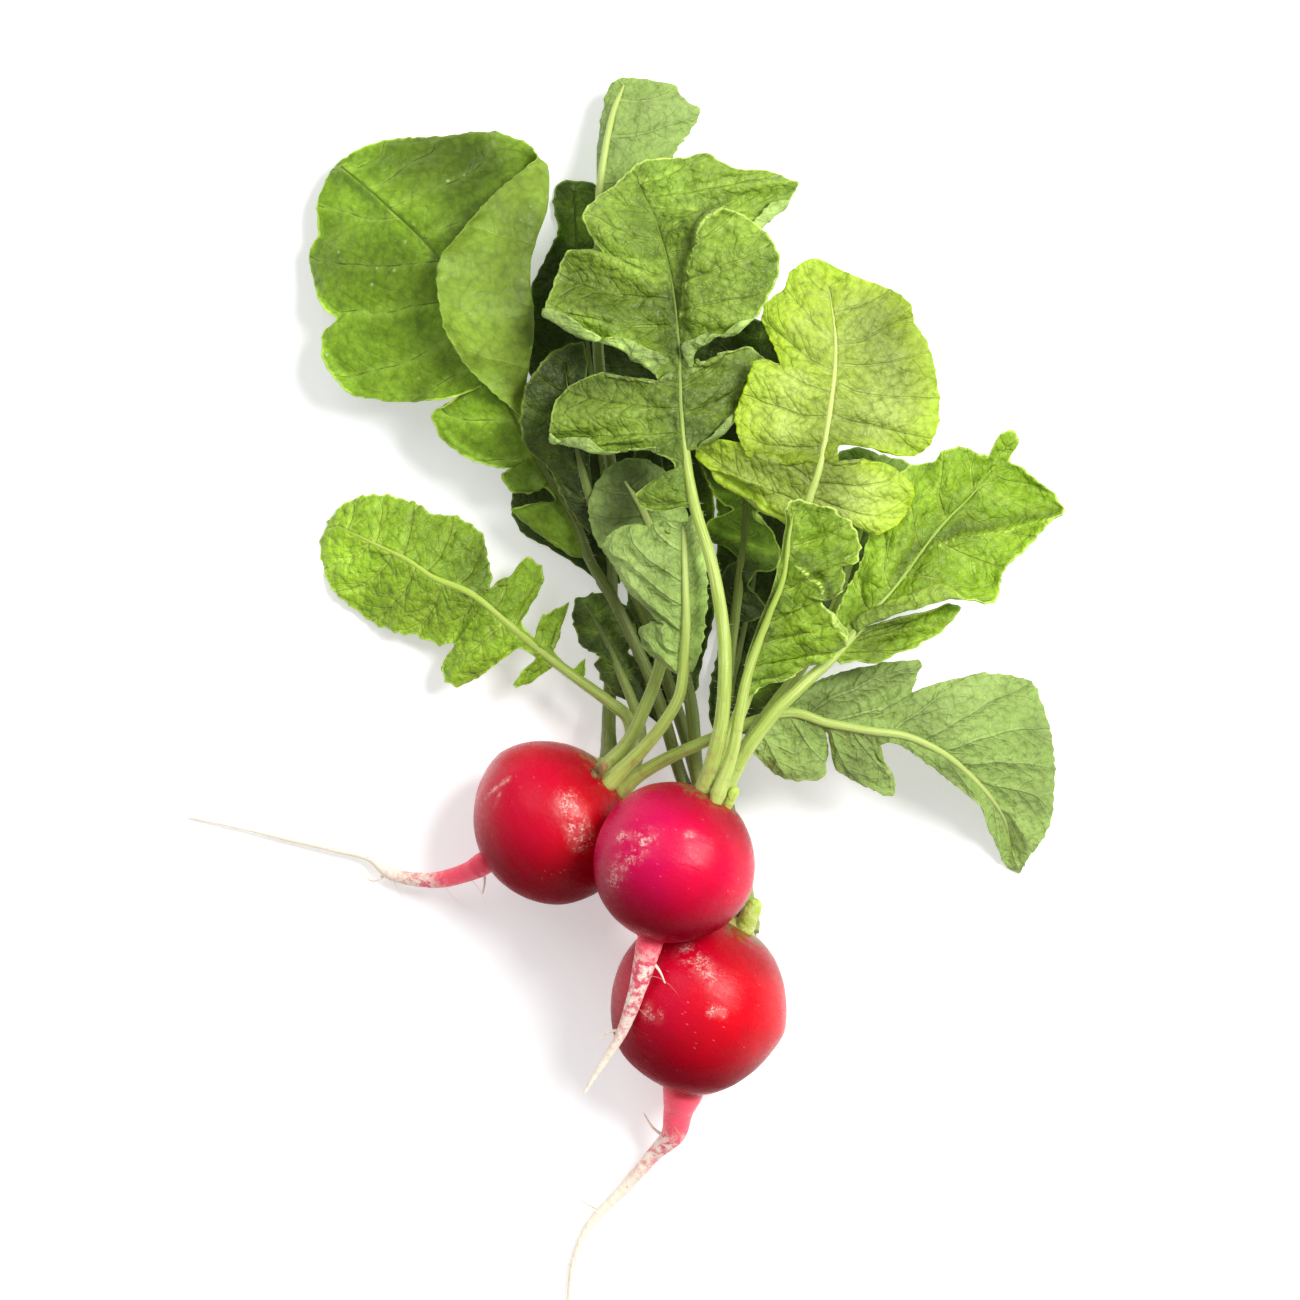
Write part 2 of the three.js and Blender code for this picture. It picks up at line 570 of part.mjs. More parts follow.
// Main leaf on top of the bunch.
addLeaf({
  name: 'leaf_2_centre',
  colour: MID_GREEN,
  stalk: 1.6,
  rib: [
    [15.8, -16, 40.5], [17.4, -10.4, 43.5], [19.2, -1.2, 46.5], [19.6, 11.2, 48],
    [18.4, 21.6, 47.5], [16.6, 30, 46], [13.8, 39.2, 43.5], [12, 48.8, 41.5], [11, 59.2, 39.5],
    [10.6, 72.2, 37], [9.2, 84.2, 34], [6.4, 95.2, 30.5], [2.8, 103.6, 26.5],
  ],
  left: [
    [6.05, 12.4, 39.6, -0.2], [6.25, 7.2, 38.8, -1.2], [6.4, 3.2, 39.2, -1.8],
    [6.6, 1.8, 41.8, -1.8], [6.8, 5.2, 44.8, -1], [7, 9.6, 46.6, -0.3], [7.2, 8.8, 49, -0.5],
    [7.3, 4.4, 50.6, -1.2], [7.45, -1.6, 52, -2.2], [7.6, -8.2, 51.6, -3],
    [7.75, -13.2, 52, -3.6], [7.9, -15.2, 54.2, -4], [8.05, -14.6, 59.6, -4],
    [8.2, -11.4, 63.6, -3.4], [8.35, -4.8, 66.2, -2], [8.5, 1.2, 64.4, -1], [8.65, 7.2, 63.2, 0],
    [8.8, 4.8, 66.6, 0.8], [9, -1.6, 71.2, 0.8], [9.25, -9.6, 74.6, 0], [9.5, -16, 78.8, -1.2],
    [9.8, -14.6, 84, -1.4], [10.1, -12.2, 90, -1], [10.3, -8.8, 91, -0.5],
    [10.45, -3.6, 88.8, 0], [10.65, -6.6, 92.6, -0.5], [10.95, -8.8, 97.6, -1],
    [11.35, -5.6, 101.6, -1.5], [11.7, -2.8, 103.6, -1.5], [12, 0.2, 106.2, -1.5],
    [12, 2.8, 108, -1.5],
  ],
  right: [
    [7.2, 14.2, 51, -0.3], [7.5, 19.2, 54.8, -3], [7.8, 23.6, 60, -5.6], [8, 27.2, 64.8, -7],
    [8.2, 27.6, 68.8, -7], [8.35, 24.4, 71.6, -5.4], [8.55, 20, 70, -2.2],
    [8.75, 15.6, 67.6, -0.5], [8.9, 12.8, 66, 0.3], [9, 13.6, 71.2, 1], [9.15, 17.6, 73.8, 2],
    [9.35, 22.4, 75, 2.6], [9.55, 26.6, 78, 3], [9.85, 30.2, 84.6, 3.4], [10.1, 30.6, 89.6, 3.4],
    [10.4, 28, 94.2, 3], [10.7, 22.8, 98, 2.8], [10.9, 18.2, 99.2, 2.4], [11, 12.8, 97.4, 1],
    [11.2, 21.8, 96, -2.4], [11.35, 27.4, 95.4, -3], [11.5, 31.8, 99.6, -4],
    [11.6, 34.8, 103.8, -5], [11.7, 32.4, 105.2, -4.4], [11.8, 28.6, 106.6, -3.4],
    [11.9, 22.4, 107, -2.6], [12, 16.6, 109.8, -2], [12, 12.4, 109.2, -2],
    [12, 7.2, 109.2, -1.6],
  ],
});

// Yellow-green leaf to the right.
addLeaf({
  name: 'leaf_2_pale',
  colour: YELLOW_GREEN,
  rib: [
    [16.8, -16.2, 36.5], [20.4, -7.2, 37], [24.8, 4.8, 37], [30, 20.2, 38], [34.2, 34.2, 40],
    [36.4, 41.2, 41], [38.8, 48.8, 41.5], [41, 62.6, 40], [41.6, 72.2, 37], [40.4, 83.2, 31],
  ],
  left: [
    [4.2, 32.8, 35.6, -0.3], [4.4, 29.2, 37.8, -1.4], [4.6, 22.2, 43, -3], [4.8, 17.2, 46.6, -4],
    [5, 14.2, 49.2, -5], [5.2, 14, 51.6, -5], [5.45, 19.2, 53, -4], [5.8, 28.4, 50.2, -2],
    [6, 34.8, 48.4, -0.6], [6.1, 30.8, 48, -1], [6.2, 27.6, 49, -2], [6.3, 24, 49.8, -2],
    [6.5, 22, 53.8, -1.6], [6.7, 21.6, 58.6, -1.2], [6.9, 23.4, 63.2, -1],
    [7.05, 25.2, 68.4, -1], [7.15, 27.6, 69, -1], [7.25, 30.6, 67, -1.5],
    [7.35, 29.4, 71.2, -2.6], [7.6, 27, 76.4, -3.5], [7.9, 27.6, 80.4, -3.5],
    [8.3, 31.6, 83.6, -2.5], [8.6, 32.6, 86.8, -2.6], [9, 36.6, 89, -2],
  ],
  right: [
    [4.4, 37.2, 37.2, -0.3], [4.6, 41.6, 36, -1.8], [4.8, 46.4, 35.8, -3], [5, 49.4, 34.2, -3.6],
    [5.2, 54.2, 36.2, -4], [5.4, 56.8, 40.4, -4], [5.55, 57.2, 43.8, -4], [5.7, 52.8, 47.6, -3],
    [5.85, 47.6, 48.8, -1.8], [6, 42.8, 47.6, -0.8], [6.2, 42.4, 52, 0], [6.35, 48, 51.4, -1],
    [6.5, 54.2, 50, -2.5], [6.65, 57.8, 49.8, -3.4], [6.85, 60.6, 52.2, -4],
    [7.1, 62, 56.2, -4.6], [7.4, 62.2, 63.2, -5], [7.7, 61.4, 68.8, -5], [7.9, 60, 72.8, -5],
    [8.15, 57.6, 76.2, -4.6], [8.4, 56.8, 79.6, -4], [8.65, 52.8, 83, -3.2],
    [8.9, 48, 84.8, -2.6], [9, 44.4, 86.6, -2], [9, 40, 88.4, -2],
  ],
});

// Curled leaf that stands above the right-hand stems.
addLeaf({
  name: 'leaf_2_curled',
  colour: BRIGHT_GREEN,
  stalk: 1.25,
  rib: [
    [18.4, -17.2, 43.4], [21.2, -8.8, 44.8], [22.6, -1.2, 46], [24, 5.6, 47], [26.4, 12.6, 48],
    [29, 19.2, 48.5], [31.4, 25.6, 48.5], [32.4, 33, 48], [33.4, 38.8, 47],
  ],
  left: [
    [2.8, 22.8, 4, -0.5], [3.6, 24, 9.8, -1.6], [4.6, 26.4, 16.8, -2], [5.6, 29, 23.2, -2],
    [6.4, 30.8, 30, -2], [7.3, 31.8, 36, -2], [8, 32.6, 40.8, -1.4],
  ],
  right: [
    [2.4, 24, 2, -0.3], [2.7, 26.4, 2.8, -1.2], [2.95, 29.6, 4.4, -1.8], [3.2, 34.8, 6.2, -2.4],
    [3.5, 40.4, 9, -3], [3.8, 43.4, 10.8, -3], [4.1, 44.2, 14.2, -2.4], [4.4, 42.4, 17.6, -1.2],
    [4.7, 39.2, 20.8, 0], [5, 42.2, 21.6, -1.4], [5.4, 44, 25.2, -2], [5.8, 44, 27.8, -1.2],
    [6.2, 46.6, 29.6, -2.6], [6.7, 46.8, 33, -2.6], [7.1, 45, 36.4, -2], [7.5, 41.8, 38.4, -1.5],
    [7.8, 38.4, 40, -1], [8, 35.2, 41.4, -1],
  ],
});

// Pointed leaf, folded along its length.
addLeaf({
  name: 'leaf_2_pointed',
  colour: BRIGHT_GREEN,
  arch: [ARCH, -0.12],
  rib: [
    [19.2, -17.4, 38.5], [23.6, -9.2, 40.5], [29.6, -1.2, 41.5], [34.8, 4, 41], [40, 8.8, 39.5],
    [46.8, 16.2, 37], [54, 24.2, 34], [62, 35, 30], [68.4, 41.6, 27], [72.4, 46.4, 25],
  ],
  left: [
    [4.5, 42, 13.2, -0.3], [4.9, 41.6, 18.8, -1.4], [5.3, 44, 24, -2.2], [5.6, 46.8, 29.2, -2.6],
    [6, 48.4, 35.2, -3.2], [6.4, 50.6, 41.2, -3.2], [6.8, 53.8, 46, -3], [7.1, 57, 48.6, -3],
    [7.4, 60.8, 49, -2], [7.7, 63.4, 51.2, -1.6], [8, 66.8, 51.8, -1.6], [8.4, 70, 50.6, -1],
    [8.65, 72.2, 50.2, -0.6], [8.8, 74, 53.6, -1], [9, 76.6, 55, -1.6], [9, 78.4, 53, -1.6],
    [9, 76.6, 49.2, -1],
  ],
  right: [
    [4.15, 42.8, 8.4, -1], [4.2, 46.4, 9.4, -3.4], [4.25, 50, 8.4, -5.4], [4.3, 54.2, 10.6, -7],
    [4.35, 58.8, 12.2, -8.4], [4.4, 62.4, 14.6, -9], [4.45, 65.4, 17.2, -9.6],
    [4.5, 66.6, 20.4, -9.6], [4.53, 59.8, 18.8, -7], [4.57, 50.8, 16.8, -3.6],
    [4.65, 45.4, 13.8, 0], [4.9, 48.4, 16.4, 1.4], [5.3, 54.6, 18.4, 2.6],
    [5.8, 60.8, 19.8, 3.2], [6.3, 66.8, 21.2, 3.2], [6.7, 73.6, 21, 3.2], [7, 74.8, 25.2, 3],
    [7.4, 76.8, 28.6, 2.6], [7.8, 80, 31.4, 2.4], [8.1, 83.2, 34.6, 2], [8.5, 85.2, 36.8, 1.6],
    [8.8, 87.8, 38.8, 1], [8.95, 84.8, 42.2, 0.4], [9, 81.6, 45.4, 0], [9, 78.4, 48, -0.6],
  ],
});

// Long leaf that droops to the surface on the right, underside up.
addLeaf({
  name: 'leaf_1_drooping',
  colour: GREY_GREEN,
  rib: [
    [-0.6, -16.4, 21.5], [2.4, -13.8, 23.5], [8.2, -10.4, 26], [16.2, -6.8, 28.5],
    [24.8, -3.2, 29], [32.8, -1.2, 28], [39.8, -3.2, 26.5], [48.4, -4.8, 25.5], [56, -6, 24],
    [63.2, -9.4, 20.5], [69.6, -14.8, 15], [74.8, -21, 8.5], [77.2, -27.2, 3],
  ],
  left: [
    [4.9, 32.8, 0.8, -0.4], [5.2, 37.2, 4.8, -1.2], [5.4, 44.8, 7.4, -2], [5.6, 51.8, 8.6, -2.6],
    [5.8, 58.8, 9.2, -3], [6.1, 58, 5.6, -2.6], [6.4, 56.6, 2.4, -2], [6.7, 51.6, -0.4, -0.6],
    [6.95, 53.2, 0.8, -0.6], [7.2, 56.4, 2.6, -1.2], [7.6, 63.2, 5, -2.4], [8, 70.6, 6.6, -4],
    [8.4, 77.4, 6.2, -5.6], [8.8, 81.8, 4.4, -6.8], [9.2, 84.6, -3.6, -8], [9.7, 85.8, -12, -8],
    [10.3, 85.4, -21.6, -7], [11, 82.6, -28, -4], [11.5, 80.4, -30.8, -2.4],
    [12, 78.6, -33.6, -2.7],
  ],
  right: [
    [3.8, 23.6, -5, -0.3], [4, 25.4, -9.2, -2.4], [4.3, 29.4, -13.4, -4.6],
    [4.7, 33.2, -14.8, -6], [5.1, 39, -14.6, -7], [5.4, 40.4, -9.4, -5], [5.7, 39.8, -5.6, -2],
    [6, 40.4, -6.4, -1.4], [6.2, 42.2, -12.8, -5], [6.5, 50.6, -17.6, -8],
    [6.7, 53.4, -18, -8.6], [6.8, 53.6, -14.8, -7], [6.9, 51.6, -11.2, -4.6],
    [7.05, 51, -7.8, -2], [7.5, 53.8, -7.4, -0.8], [8.2, 58.4, -10.4, -1.2],
    [9, 65.6, -15.8, -2.2], [9.8, 70.6, -20.2, -2.6], [10.7, 72.8, -25.2, -2.4],
    [11.5, 74.6, -29.4, -2], [12, 76, -32.4, -2.4],
  ],
});

// Bright leaf that lies out to the left.
addLeaf({
  name: 'leaf_1_left',
  colour: BRIGHT_GREEN,
  rib: [
    [-2.2, -13, 18], [1, -7.2, 18], [0.4, -2.4, 18], [-3, 0.6, 17.5], [-9.6, 5.4, 16],
    [-15, 9.4, 14.5], [-20.8, 14, 13], [-30.2, 22, 11], [-38.2, 25.6, 9.5], [-43.6, 29.2, 8.5],
    [-49.8, 32.2, 6.5], [-57.6, 36, 3],
  ],
  left: [
    [4.8, -15, 7.6, -0.4], [4.95, -19.2, 4.4, -2], [5.1, -23, 3.6, -3], [5.2, -21.2, 6.2, -2.2],
    [5.4, -17.6, 9, -0.6], [5.8, -21.2, 11.6, -0.5], [6, -24.8, 9.4, -1.6],
    [6.15, -29.2, 5.8, -3], [6.3, -33.8, 3.6, -4.2], [6.45, -36, 4.8, -4.8],
    [6.6, -37, 7.6, -4.8], [6.75, -34.8, 11, -4], [6.95, -30.4, 14.4, -2],
    [7.2, -32.8, 13.8, -2.6], [7.45, -34.6, 12.2, -3.4], [7.7, -37.8, 12, -4],
    [8, -41.8, 14, -4], [8.5, -45.4, 14.4, -4.4], [9, -50.2, 15.8, -5], [9.5, -53.8, 18.4, -5.4],
    [10, -58.8, 22.8, -5], [10.5, -61.2, 27.4, -4.2], [11, -61.6, 32.6, -2.6],
    [11, -60, 36.8, -2.4],
  ],
  right: [
    [3.9, -8.2, 6.4, -0.3], [4, -8, 10.2, -0.6], [4.15, -10.6, 7.4, -0.3],
    [4.9, -14.4, 11, -0.3], [5.05, -13.8, 14.8, -0.8], [5.2, -11, 21, -2],
    [5.4, -15.8, 18.6, -1.5], [5.6, -17.6, 16.2, -1], [5.8, -17.8, 13.2, -0.4],
    [6.1, -20.8, 16.6, -0.5], [6.25, -19, 20, -1.6], [6.4, -17, 23.4, -2.6],
    [6.5, -16.2, 27, -3], [6.65, -19.2, 30.2, -3], [6.85, -22.4, 26.4, -2],
    [7, -24.6, 25.2, -1.6], [7.1, -26.8, 23.2, -0.8], [7.3, -26.4, 26, -1.6],
    [7.6, -27.4, 30.6, -2.6], [8, -28, 34, -3.2], [8.4, -30.6, 36.8, -3.4],
    [8.8, -34.6, 38.6, -3.4], [9.2, -38.2, 38.6, -3.4], [9.6, -41.4, 40.8, -3.4],
    [10, -45.8, 42.2, -3.4], [10.5, -51.6, 42.4, -3.2], [11, -56.4, 40.8, -2.6],
  ],
});

// Small crumpled leaf close to the crown.
addLeaf({
  name: 'leaf_1_young',
  colour: DARK_GREEN,
  rib: [
    [0, -14.4, 15.3], [2.8, -7.8, 12], [2, -1.2, 11.6], [-1.2, 6.8, 11.2], [-4.8, 14.8, 10],
    [-8, 20.4, 9],
  ],
  left: [
    [2.2, 0.4, 1.2, -0.3], [2.7, -3.2, 2.8, -1.8], [3.1, -6.4, 7.6, -2.4], [3.4, -5.2, 10.2, -1],
    [3.8, -9.6, 11.8, -2.4], [4.3, -10.6, 16.4, -2.8], [4.7, -11, 20.4, -2.2],
    [5, -9.8, 22.6, -1.6],
  ],
  right: [
    [2.2, 3.6, 0.2, -0.3], [2.7, 4.8, 3.2, -1.4], [3.1, 4, 7.6, -1.8], [3.5, 0.8, 10.8, -1],
    [3.9, 2.4, 14.4, -1.6], [4.3, 2, 18.8, -1.8], [4.6, -1.2, 21.2, -1.4], [5, -4.8, 22.8, -1],
  ],
});

// Leaf behind the middle, right of the main stem.
addLeaf({
  name: 'leaf_3_rear',
  colour: DARK_GREEN,
  rib: [
    [24.8, -43.4, 13.5], [23.2, -32.4, 9], [20.4, -19.8, 7], [19.2, -6.8, 7], [20.4, 7.2, 9.5],
    [22.2, 21.2, 13], [23.6, 34.2, 16], [24.4, 48.2, 19], [25.2, 62.2, 21], [26.2, 73.2, 21],
  ],
  left: [
    [4.4, 20.4, 12.4, -0.3], [4.7, 18.4, 15.6, -1.2], [5, 18, 21.2, -1.8],
    [5.3, 19.2, 27.2, -1.4], [5.6, 22.4, 29.2, -0.3], [5.8, 19.6, 32, -1], [6, 16.4, 33.2, -1.8],
    [6.2, 16.4, 37, -1.8], [6.45, 21.2, 38.6, -0.5], [6.8, 17.8, 41.2, -2],
    [7.3, 14.8, 49.2, -3], [7.8, 15.2, 57.2, -3], [8.3, 14.8, 64, -3], [8.6, 12.8, 69.2, -2.8],
    [8.8, 14.8, 74, -2.4], [9, 19.6, 77, -1.6],
  ],
  right: [
    [4.7, 23.6, 16.8, -0.3], [4.85, 25.6, 17, -0.8], [5, 28.6, 18.8, -1.6],
    [5.2, 26.8, 21.2, -1], [5.45, 24.4, 23.6, -0.3], [5.7, 26.2, 26.6, -0.8],
    [5.9, 29.8, 27, -1.8], [6.1, 31, 30.8, -2], [6.35, 28.8, 35.6, -1.4],
    [6.6, 25.2, 37.2, -0.3], [7, 29.8, 41.2, -1.8], [7.4, 32.8, 49.2, -2.4],
    [7.9, 33.8, 58.2, -3], [8.4, 32.8, 67.2, -3], [8.8, 30.4, 74.2, -2.5], [9, 27.6, 77, -1.5],
  ],
});

// Leaf beneath the right-hand leaves.
addLeaf({
  name: 'leaf_2_under',
  colour: DARK_GREEN,
  rib: [
    [19, -17.4, 33.5], [23.2, -9.2, 33], [28.4, -1.2, 33], [34.8, 7.6, 32], [40.8, 18.2, 29],
    [44.8, 29.2, 25], [48.4, 40.2, 21], [50.8, 47.6, 17.5],
  ],
  left: [
    [3.8, 38.4, 16.8, -0.3], [4.2, 37.6, 23.2, -1.4], [4.8, 37.2, 31.2, -2.2],
    [5.4, 38.4, 39.2, -2.6], [6, 40, 46.2, -2.6], [6.5, 42, 50.4, -2], [7, 46, 51.8, -1.5],
  ],
  right: [
    [3.8, 43.2, 17.6, -0.3], [4.2, 48.4, 21.2, -2.6], [4.8, 52, 27.2, -3.6],
    [5.4, 54.8, 35.2, -3.6], [6, 56.8, 42.2, -3], [6.5, 57.6, 46.8, -3], [7, 55.4, 49, -2],
    [7, 51.2, 50.2, -1],
  ],
});

// Dark leaf spread low under the middle of the bunch.
addLeaf({
  name: 'leaf_1_low',
  colour: DARK_GREEN,
  rib: [
    [-2.2, -12.8, 12], [0.2, -7.6, 8], [3.2, -1.2, 5], [5.8, 7.6, 4], [8, 17.2, 4.4],
    [8.8, 28.2, 5], [8.4, 39.2, 5], [7.2, 48.2, 4.6], [6, 54.8, 4],
  ],
  left: [
    [2.7, 4, 5.2, -0.3], [3, 1.8, 9.2, -0.4], [3.3, 0.8, 13.2, 0], [3.8, 0.2, 18.8, 0.2],
    [4.3, 0, 24.2, 0.4], [4.8, 0, 29.2, 0.4], [5.3, 0.4, 34.2, 0.2], [5.8, 0, 39.6, 0],
    [6.3, 0.4, 45.2, -0.2], [6.8, 1.2, 50, -0.4], [7.3, 2.2, 54, -0.6], [7.7, 3.2, 56.4, -0.8],
    [8, 4.8, 58, -0.8],
  ],
  right: [
    [2.05, 6, -3.2, -0.6], [2.25, 8.4, -2.4, -1.4], [2.45, 11.6, 0.4, -1.2],
    [2.7, 14.2, 2.8, -0.8], [3.05, 15.2, 7, -0.8], [3.4, 16, 11.2, -0.8],
    [3.8, 17.2, 15.6, -0.8], [4.3, 18.4, 21.2, -0.6], [4.8, 18.2, 27.2, -0.6],
    [5.3, 17.2, 32.2, -0.6], [5.8, 18, 37.2, -0.6], [6.3, 17.6, 42.2, -0.6],
    [6.8, 15.6, 47.2, -0.6], [7.2, 14.4, 51.2, -0.6], [7.6, 11.6, 54.8, -0.6],
    [8, 8.8, 57.6, -0.6],
  ],
});

// Dark leaf spread low under the right-hand stalks.
addLeaf({
  name: 'leaf_3_low',
  colour: DARK_GREEN,
  rib: [
    [24.2, -45, 7], [22.6, -32.8, 4], [19.6, -19.8, 3], [18.8, -8.4, 2.6], [20.8, 3.2, 2.6],
    [23.8, 16.2, 2.6], [26, 29.2, 2.6], [26, 42.2, 2.6], [24.4, 52.2, 2.4],
  ],
  left: [
    [3.35, 17.6, -5.2, 0], [3.6, 16.6, -2, -0.2], [3.85, 16.4, 1.6, -0.4],
    [4.1, 16.8, 5.2, -0.5], [4.3, 17.6, 8.4, -0.6], [4.5, 18.4, 11.6, -0.8],
    [4.75, 18.8, 16.8, -1], [5.1, 18.8, 21.6, -1], [5.5, 18.4, 26.2, -1], [5.9, 18, 31.2, -1],
    [6.3, 18.4, 36.2, -1], [6.65, 18, 40.8, -1], [7, 17.6, 45.2, -1], [7.4, 18.4, 50.2, -1],
    [7.7, 20, 53.6, -1], [8, 22.4, 55.6, -1],
  ],
  right: [
    [3.35, 22.2, -6, -0.1], [3.5, 26, -5, -0.4], [3.7, 30, -1.8, -0.7], [3.95, 32.8, 1.8, -1],
    [4.25, 34.4, 5.8, -1], [4.55, 35.2, 10.2, -1], [4.87, 35, 15.2, -1], [5.2, 34.8, 20.8, -1],
    [5.6, 34.6, 27.2, -1], [6, 35, 33.2, -1], [6.45, 34.8, 38.8, -1], [6.9, 34.4, 44.4, -1],
    [7.35, 32.4, 49.2, -1], [7.7, 29.6, 53, -1], [8, 26.8, 55.2, -1],
  ],
});

export default bunch;
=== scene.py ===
"""A bunch of fresh radishes: glossy roots with thin tails, and veined leaves on grooved stalks."""

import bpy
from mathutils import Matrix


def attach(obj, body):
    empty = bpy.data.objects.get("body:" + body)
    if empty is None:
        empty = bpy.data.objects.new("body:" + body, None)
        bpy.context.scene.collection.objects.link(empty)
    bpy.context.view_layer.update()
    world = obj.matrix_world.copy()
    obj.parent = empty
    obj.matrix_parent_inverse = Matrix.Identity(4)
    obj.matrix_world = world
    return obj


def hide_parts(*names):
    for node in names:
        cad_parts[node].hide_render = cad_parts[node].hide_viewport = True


bl_info = {
    "name": "Bunch of Radishes",
    "version": (1, 0, 0),
    "blender": (4, 5, 0),
    "location": "View3D > Sidebar > Radishes",
    "description": "Builds a bunch of fresh radishes that lies on a table, with its leaves still on",
    "category": "Add Mesh",
}

import itertools
import math
from dataclasses import dataclass, replace

import bpy
import numpy as np
from bpy.props import FloatProperty, FloatVectorProperty, IntProperty, PointerProperty
from mathutils import Vector

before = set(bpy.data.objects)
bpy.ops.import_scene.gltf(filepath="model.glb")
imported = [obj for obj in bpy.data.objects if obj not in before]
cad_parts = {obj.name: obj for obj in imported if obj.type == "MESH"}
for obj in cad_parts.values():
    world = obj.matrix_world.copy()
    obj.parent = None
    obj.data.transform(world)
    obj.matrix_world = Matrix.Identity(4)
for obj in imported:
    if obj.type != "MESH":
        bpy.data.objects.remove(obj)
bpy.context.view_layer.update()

MM = 0.001
BODY = "root"

# The leaves' lay-out, in millimetres. Each leaf is laid out on its rib, a list of [x, y, z] from the
# crown to the tip. Each side is a list of rays [t, x, y, rise, ...]: t counts along the rib's points,
# and each x, y, rise is a place that the ray reaches, with its height above the rib. The last one is
# the margin, and a ray with more than one place turns at the others, as in a fold. Folds are lists of
# (kind, rise, width, route), shades are patches of painted light and shade on a blade's colour, each
# (x, y, radius, steps of twice as bright), and curls are (first ray, last ray, width), counted in one
# round from the left side by the tip to the right side.
STALK_BASE = 1.5  # radius of a stalk at the crown and where its blade starts, and of the rib's tip
STALK_END = 1.1
RIB_END = 0.45
BLADE_LOW = 0.25  # the middle of a blade is at least this high
ARCH = 0.05  # how high a blade arches from rib to margin, as a share of its reach, and where
ARCH_PLACE = 0.55
RIPPLE = 0.05  # how far a margin waves from ray to ray, as a share of its reach, and the turn of each
RIPPLE_TURN = 2.3
TAUT = 0.36  # tension of the curve of a margin, and of all other curves
SMOOTH = 0.5
WAVY_REACH = 4  # a blade is wavy where it reaches this many rib radii


# ---------- curves and noise ----------

def hermite(start, end, start_slope, end_slope, s):
    """The cubic between two values with those slopes, at s from 0 to 1."""
    square, cube = s * s, s * s * s
    return (
        (2 * cube - 3 * square + 1) * start + (cube - 2 * square + s) * start_slope
        + (3 * square - 2 * cube) * end + (cube - square) * end_slope
    )


def spline(points, places, tension):
    """Points on the smooth curve through a list of points; places count along the list."""
    points = np.asarray(points, float)
    longer = np.vstack([2 * points[0] - points[1], points, 2 * points[-1] - points[-2]])
    slopes = tension * (longer[2:] - longer[:-2])
    before = np.clip(np.floor(places).astype(int), 0, len(points) - 2)
    s = (places - before)[:, None]
    return hermite(points[before], points[before + 1], slopes[before], slopes[before + 1], s)


def steady(values, places):
    """A smooth curve through single numbers that never overshoots them."""
    values = np.asarray(values, float)
    step = np.diff(values)
    slopes = np.zeros(len(values))
    same_way = step[:-1] * step[1:] > 0
    harmonic = 2 * step[:-1] * step[1:] / np.where(same_way, step[:-1] + step[1:], 1)
    slopes[1:-1] = np.where(same_way, harmonic, 0)
    before = np.clip(np.floor(places).astype(int), 0, len(values) - 2)
    s = places - before
    return hermite(values[before], values[before + 1], slopes[before], slopes[before + 1], s)


def noise(points, size, seed):
    """Smooth noise from -1 to 1 whose lumps are about that size."""
    scaled = np.asarray(points, float) / size + 11.7 * seed
    cell = np.floor(scaled).astype(np.int64)
    part = scaled - cell
    part = part * part * (3 - 2 * part)
    total = np.zeros(scaled.shape[:-1])
    primes = np.array([73856093, 19349663, 83492791])
    for corner in itertools.product((0, 1), repeat=3):
        key = ((cell + corner) * primes).sum(-1) & 0x7FFFFFFF
        key = ((key ^ (key >> 13)) * 1274126177) & 0x7FFFFFFF
        weight = np.where(np.array(corner, bool), part, 1 - part).prod(-1)
        total += weight * (key / 0x3FFFFFFF - 1)
    return total


def fade(value, low, high):
    """A smooth step from 0 at low to 1 at high."""
    s = np.clip((value - low) / (high - low), 0, 1)
    return s * s * (3 - 2 * s)


def bell(distance, width):
    """1 where the distance is 0, and falling away over that width."""
    return np.exp(-(distance / width) ** 2)


def unit(vectors):
    """The same directions with a length of 1."""
    return vectors / np.maximum(np.linalg.norm(vectors, axis=-1, keepdims=True), 1e-9)


def between(place, first, last, low, high):
    """The value at a place on the straight line from low at first to high at last."""
    return ((last - place) * low + (place - first) * high) / (last - first)


def length_from_start(line):
    """How far each point of a line is along it."""
    return np.concatenate([[0], np.cumsum(np.linalg.norm(np.diff(line, axis=0), axis=1))])


def rows_through(controls, counts):
    """Smooth rows through each row of control points, with that many steps between the points."""
    before = 2 * controls[:, :1] - controls[:, 1:2]
    after = 2 * controls[:, -1:] - controls[:, -2:-1]
    points = np.concatenate([before, controls, after], axis=1)
    gaps = np.sqrt(np.maximum(np.linalg.norm(np.diff(points, axis=1), axis=-1), 1e-4))
    knots = np.concatenate([np.zeros((len(points), 1)), np.cumsum(gaps, axis=1)], axis=1)[..., None]
    pieces = [controls[:, :1]]
    for k, count in enumerate(counts):
        p = [points[:, k + i, None] for i in range(4)]
        at = [knots[:, k + i, None] for i in range(4)]
        s = np.linspace(0, 1, count + 1)[1:].reshape(1, -1, 1)
        place = at[1] + s * (at[2] - at[1])
        low = [between(place, at[i], at[i + 1], p[i], p[i + 1]) for i in range(3)]
        mid = [between(place, at[i], at[i + 2], low[i], low[i + 1]) for i in range(2)]
        pieces.append(between(place, at[1], at[2], *mid))
    return np.concatenate(pieces, axis=1)


# ---------- leaves: where they lie ----------

